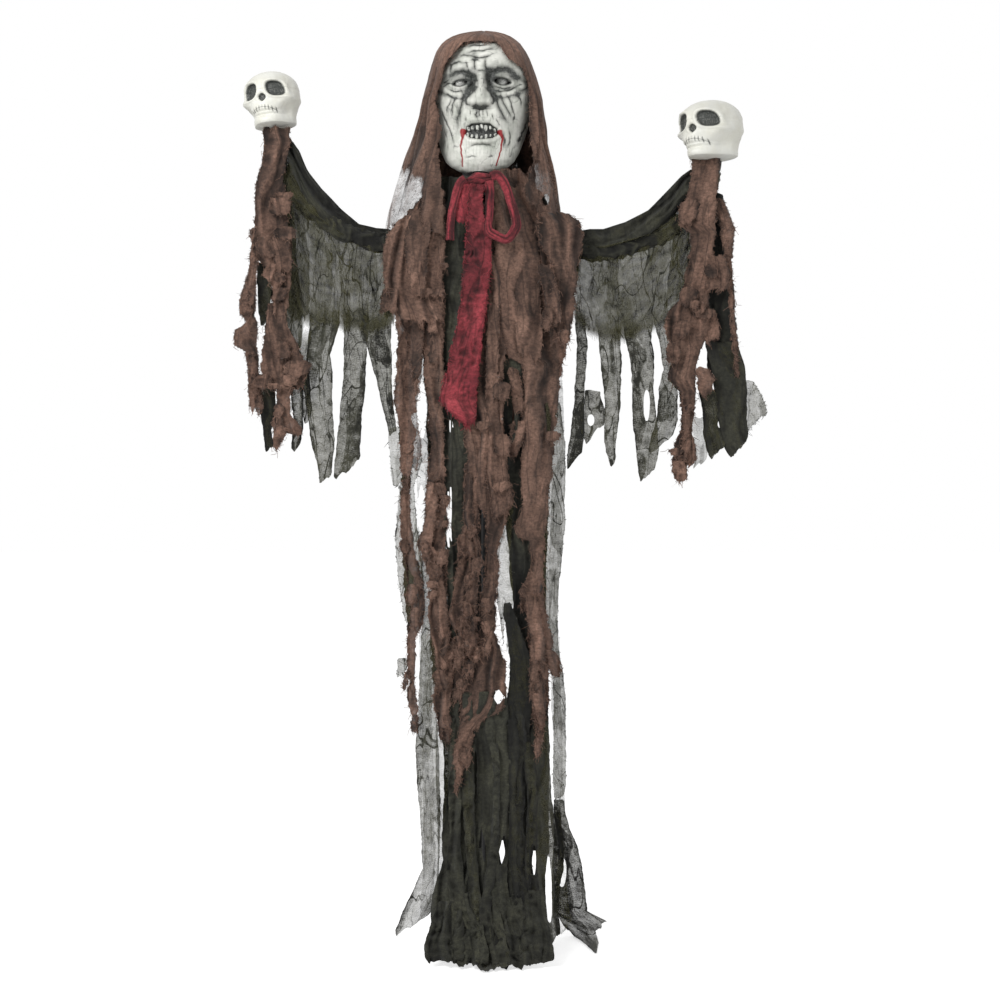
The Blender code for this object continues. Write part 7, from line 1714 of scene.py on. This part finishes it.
def make_skull(side, label, seat, turned_by, lean, skull_width, front_reach, back_reach, materials):
    columns, rows = 220, 190
    turn, v = np.meshgrid(np.linspace(-pi, pi, columns), np.linspace(0, 1, rows))
    places = np.linspace(0, 1, len(SKULL_LEVEL_shares))
    level = smooth_table(v, places, SKULL_LEVEL_shares)
    width = smooth_table(v, places, SKULL_WIDTH_shares)
    front_size = smooth_table(v, places, SKULL_FRONT_shares)
    back_size = smooth_table(v, places, SKULL_BACK_shares)
    round_off = np.sqrt(np.clip(1 - ((level - 0.64) / 0.36) ** 2, 0, 1))
    above = level > 0.64
    width, front_size, back_size = (np.where(above, round_off * top, size) for size, top in
                                    ((width, 1.0), (front_size, 0.98), (back_size, 1.0)))
    jaw = smooth(0.42, 0.22, level) * smooth(0.05, 0.75, np.cos(turn))
    half_width = skull_width / 2 * width * (1 - 0.20 * jaw)
    front = front_reach * front_size
    back = back_reach * back_size
    sine, cosine = np.sin(turn), np.cos(turn)
    square = 1 - 0.16 * smooth(0.45, 0.25, level) * smooth(0.0, 0.6, cosine)
    x = half_width * np.sign(sine) * np.abs(sine) ** square
    y = -np.where(cosine > 0, front, back) * np.sign(cosine) * np.abs(cosine) ** square
    z = SKULL_HEIGHT * level
    facing = smooth(0.05, 0.45, cosine)
    side_x = np.abs(x) / skull_width
    eye_x, eye_z = (side_x - 0.245) / 0.150, (level - 0.628) / 0.128
    eye_round = (np.abs(eye_x + 0.12 * eye_z) ** 2.6 + np.abs(eye_z + 0.10 * eye_x) ** 2.6) ** (1 / 2.6)
    nose_z = (level - 0.495) / 0.070
    nose_round = np.hypot(side_x / (0.088 - 0.050 * np.clip(nose_z, -1, 1)), nose_z - 0.50 * side_x / 0.070)
    wash = facing * np.maximum(smooth(1.04, 0.94, eye_round), smooth(1.05, 0.88, nose_round))
    relief = -7.5 * smooth(1.10, 0.75, eye_round) + 1.3 * np.exp(-((eye_round - 1.22) / 0.14) ** 2)
    relief += -4.5 * smooth(1.2, 0.6, nose_round) + 0.7 * np.exp(-((nose_round - 1.4) / 0.2) ** 2)
    for height, middle, half, power, up, half_up in SKULL_FORMS:
        relief += height * np.exp(-(np.abs(side_x - middle) / half) ** power) * bell(level, up, half_up)
    bite = 0.325 - 1.5 * side_x ** 2
    teeth_reach = smooth(0.27, 0.22, side_x)
    strokes = np.abs(np.mod(side_x / 0.056 + 0.5, 1) - 0.5) * 0.056
    row = np.exp(-((level - bite + 0.010 * noise(1011 + side, side_x * 40, 0.5)) / 0.044) ** 4)
    stroke = np.exp(-(strokes / 0.0070) ** 2) * row * teeth_reach
    line = 0.8 * np.exp(-((level - bite) / 0.0055) ** 2) * teeth_reach
    relief -= 1.1 * stroke + 1.0 * line
    broken = 0.5 + 0.5 * noise(1009 + side, side_x * 60 * np.sign(x), level * 50)
    wash = np.maximum(wash, facing * np.clip(1.1 * stroke + 1.0 * line * (0.4 + 0.6 * broken), 0, 1))
    relief -= 1.6 * np.exp(-((level - 0.26) / 0.02) ** 2) * smooth(0.34, 0.20, side_x)
    crack, _ = line_distance(turn * 30, level * 60, ((38, 24), (46, 25), (52, 21), (60, 20)))
    relief -= 0.6 * np.exp(-(crack / 1.0) ** 2)
    relief += 0.25 * noise(1013, turn * 12, level * 14) + 0.12 * noise(1014, turn * 30, level * 36)
    relief = CHEEK_LIFT * relief * 0.001 * np.where(np.abs(turn) > 2.2, 0.3, 1)
    # Random grey patches, and painted shade that darkens the skull towards its bottom.
    wash = wash + 0.10 * smooth(0.1, 0.9, noise(1015, turn * 3, level * 5)) + 0.10 * smooth(0.14, 0.0, level)
    size = np.maximum(np.hypot(x, y), 1e-4)
    x = x + relief * x / size * facing * 0.5 + relief * 0.3 * x / size
    y = y + relief * y / size * np.where(facing > 0, 1, 0.3)
    bottom = smooth(0.92, 1.0, v)
    shut = (1 - bottom * 0.9) * np.clip(v / 0.02, 0.01, 1)
    x, y = x * shut, y * shut
    skull = Piece(label + "_skull_moulding")
    faces, _, _ = cut_grid(np.ones(turn.shape))
    skull.add(listed(x, y, z), [face[:, ::-1] for face in faces],
              listed(turn * SKULL_UV_REACH, level * SKULL_HEIGHT), 1.0)
    thing = skull.build(materials["skull_plastic"])
    store_values(thing.data, "wash", np.clip(wash, 0, 1))
    turned = Matrix.Rotation(radians(lean), 4, "Y") @ Matrix.Rotation(-radians(turned_by), 4, "Z")
    shift, grown = SKULL_FIT[label]
    moved = Matrix.Translation(Vector(seat) + Vector(shift))
    thing.matrix_world = moved @ turned @ Matrix.Diagonal((grown, grown, grown, 1))
    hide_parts(label + "_skull")
    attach(thing, label + "_skull_body")


# Room, light and camera

ROOM_HALF = 30.0
# Lights: name, place, aim, size and power
LIGHTS = (
    ('key', (-1.6, -2.6, 2.6), (0, 0, 1.2), 1.4, 66), ('fill', (2.2, -2.4, 1.4), (0, 0, 1.0), 2.0, 14))


def make_room():
    mesh = bpy.data.meshes.new("floor")
    half = ROOM_HALF
    corners = [(-half, -half, 0), (half, -half, 0), (half, half, 0), (-half, half, 0)]
    mesh.from_pydata(corners, [], [(0, 1, 2, 3)])
    floor = bpy.data.objects.new("floor", mesh)
    bpy.context.scene.collection.objects.link(floor)
    material, tree, surface = shader("floor_paper", 0.9)
    place = add(tree, "ShaderNodeTexCoord").outputs["Object"]
    paper = noise_value(tree, place, 3.0, 2.0)
    colour = ramp(tree, paper, (0.3, grey(0.90)), (0.7, grey(0.92)))
    tree.links.new(colour, surface.inputs["Base Color"])
    surface.inputs["Specular IOR Level"].default_value = 0.0
    path = add(tree, "ShaderNodeLightPath").outputs["Is Camera Ray"]
    surface.inputs["Emission Color"].default_value = (1, 1, 1, 1)
    tree.links.new(calculate(tree, "MULTIPLY", path, 0.62), surface.inputs["Emission Strength"])
    mesh.materials.append(material)
    world = bpy.data.worlds.new("room")
    bpy.context.scene.world = world
    world.use_nodes = True
    tree = world.node_tree
    background = tree.nodes["Background"]
    background.inputs["Color"].default_value = (1, 1, 1, 1)
    rays = add(tree, "ShaderNodeLightPath").outputs
    seen = calculate(tree, "MAXIMUM", rays["Is Camera Ray"], calculate(tree, "MAXIMUM", rays["Is Glossy Ray"],
                                                                       rays["Is Transmission Ray"]))
    tree.links.new(span(tree, seen, 0.0, 1.0, 0.50, 1.0), background.inputs["Strength"])


def area_light(name, place, aim, size, power):
    data = bpy.data.lights.new(name, "AREA")
    data.shape = "DISK"
    data.size = size
    data.energy = power
    light = bpy.data.objects.new(name, data)
    bpy.context.scene.collection.objects.link(light)
    light.location = place
    light.rotation_euler = (Vector(aim) - Vector(place)).to_track_quat("-Z", "Y").to_euler()


def make_camera():
    data = bpy.data.cameras.new("camera")
    data.lens = LENS
    data.sensor_width = SENSOR
    camera = bpy.data.objects.new("camera", data)
    bpy.context.scene.collection.objects.link(camera)
    camera.location = (CAMERA_X, -CAMERA_DISTANCE, CAMERA_Z)
    camera.rotation_euler = (pi / 2, 0, 0)
    bpy.context.scene.camera = camera


def main():
    materials = make_materials()
    repaint_frame(materials)
    make_robe_and_gown(materials)
    dress_arm(-1, "right", RIGHT_WING_PANEL, RIGHT_BAND, RIGHT_WING_CUTS, RIGHT_TASSEL_CUTS,
              RIGHT_TASSEL_DARK, RAG_RIGHT_CUTS, materials)
    dress_arm(1, "left", LEFT_WING_PANEL, LEFT_BAND, LEFT_WING_CUTS, LEFT_TASSEL_CUTS, LEFT_TASSEL_DARK,
              RAG_LEFT_CUTS, materials)
    make_hood(materials)
    make_scarf(materials)
    make_mask(materials)
    for seat in SKULL_SEATS:
        make_skull(*seat, materials)
    make_room()
    for light in LIGHTS:
        area_light(*light)
    make_camera()
    bpy.context.scene.view_settings.view_transform = "Standard"


main()
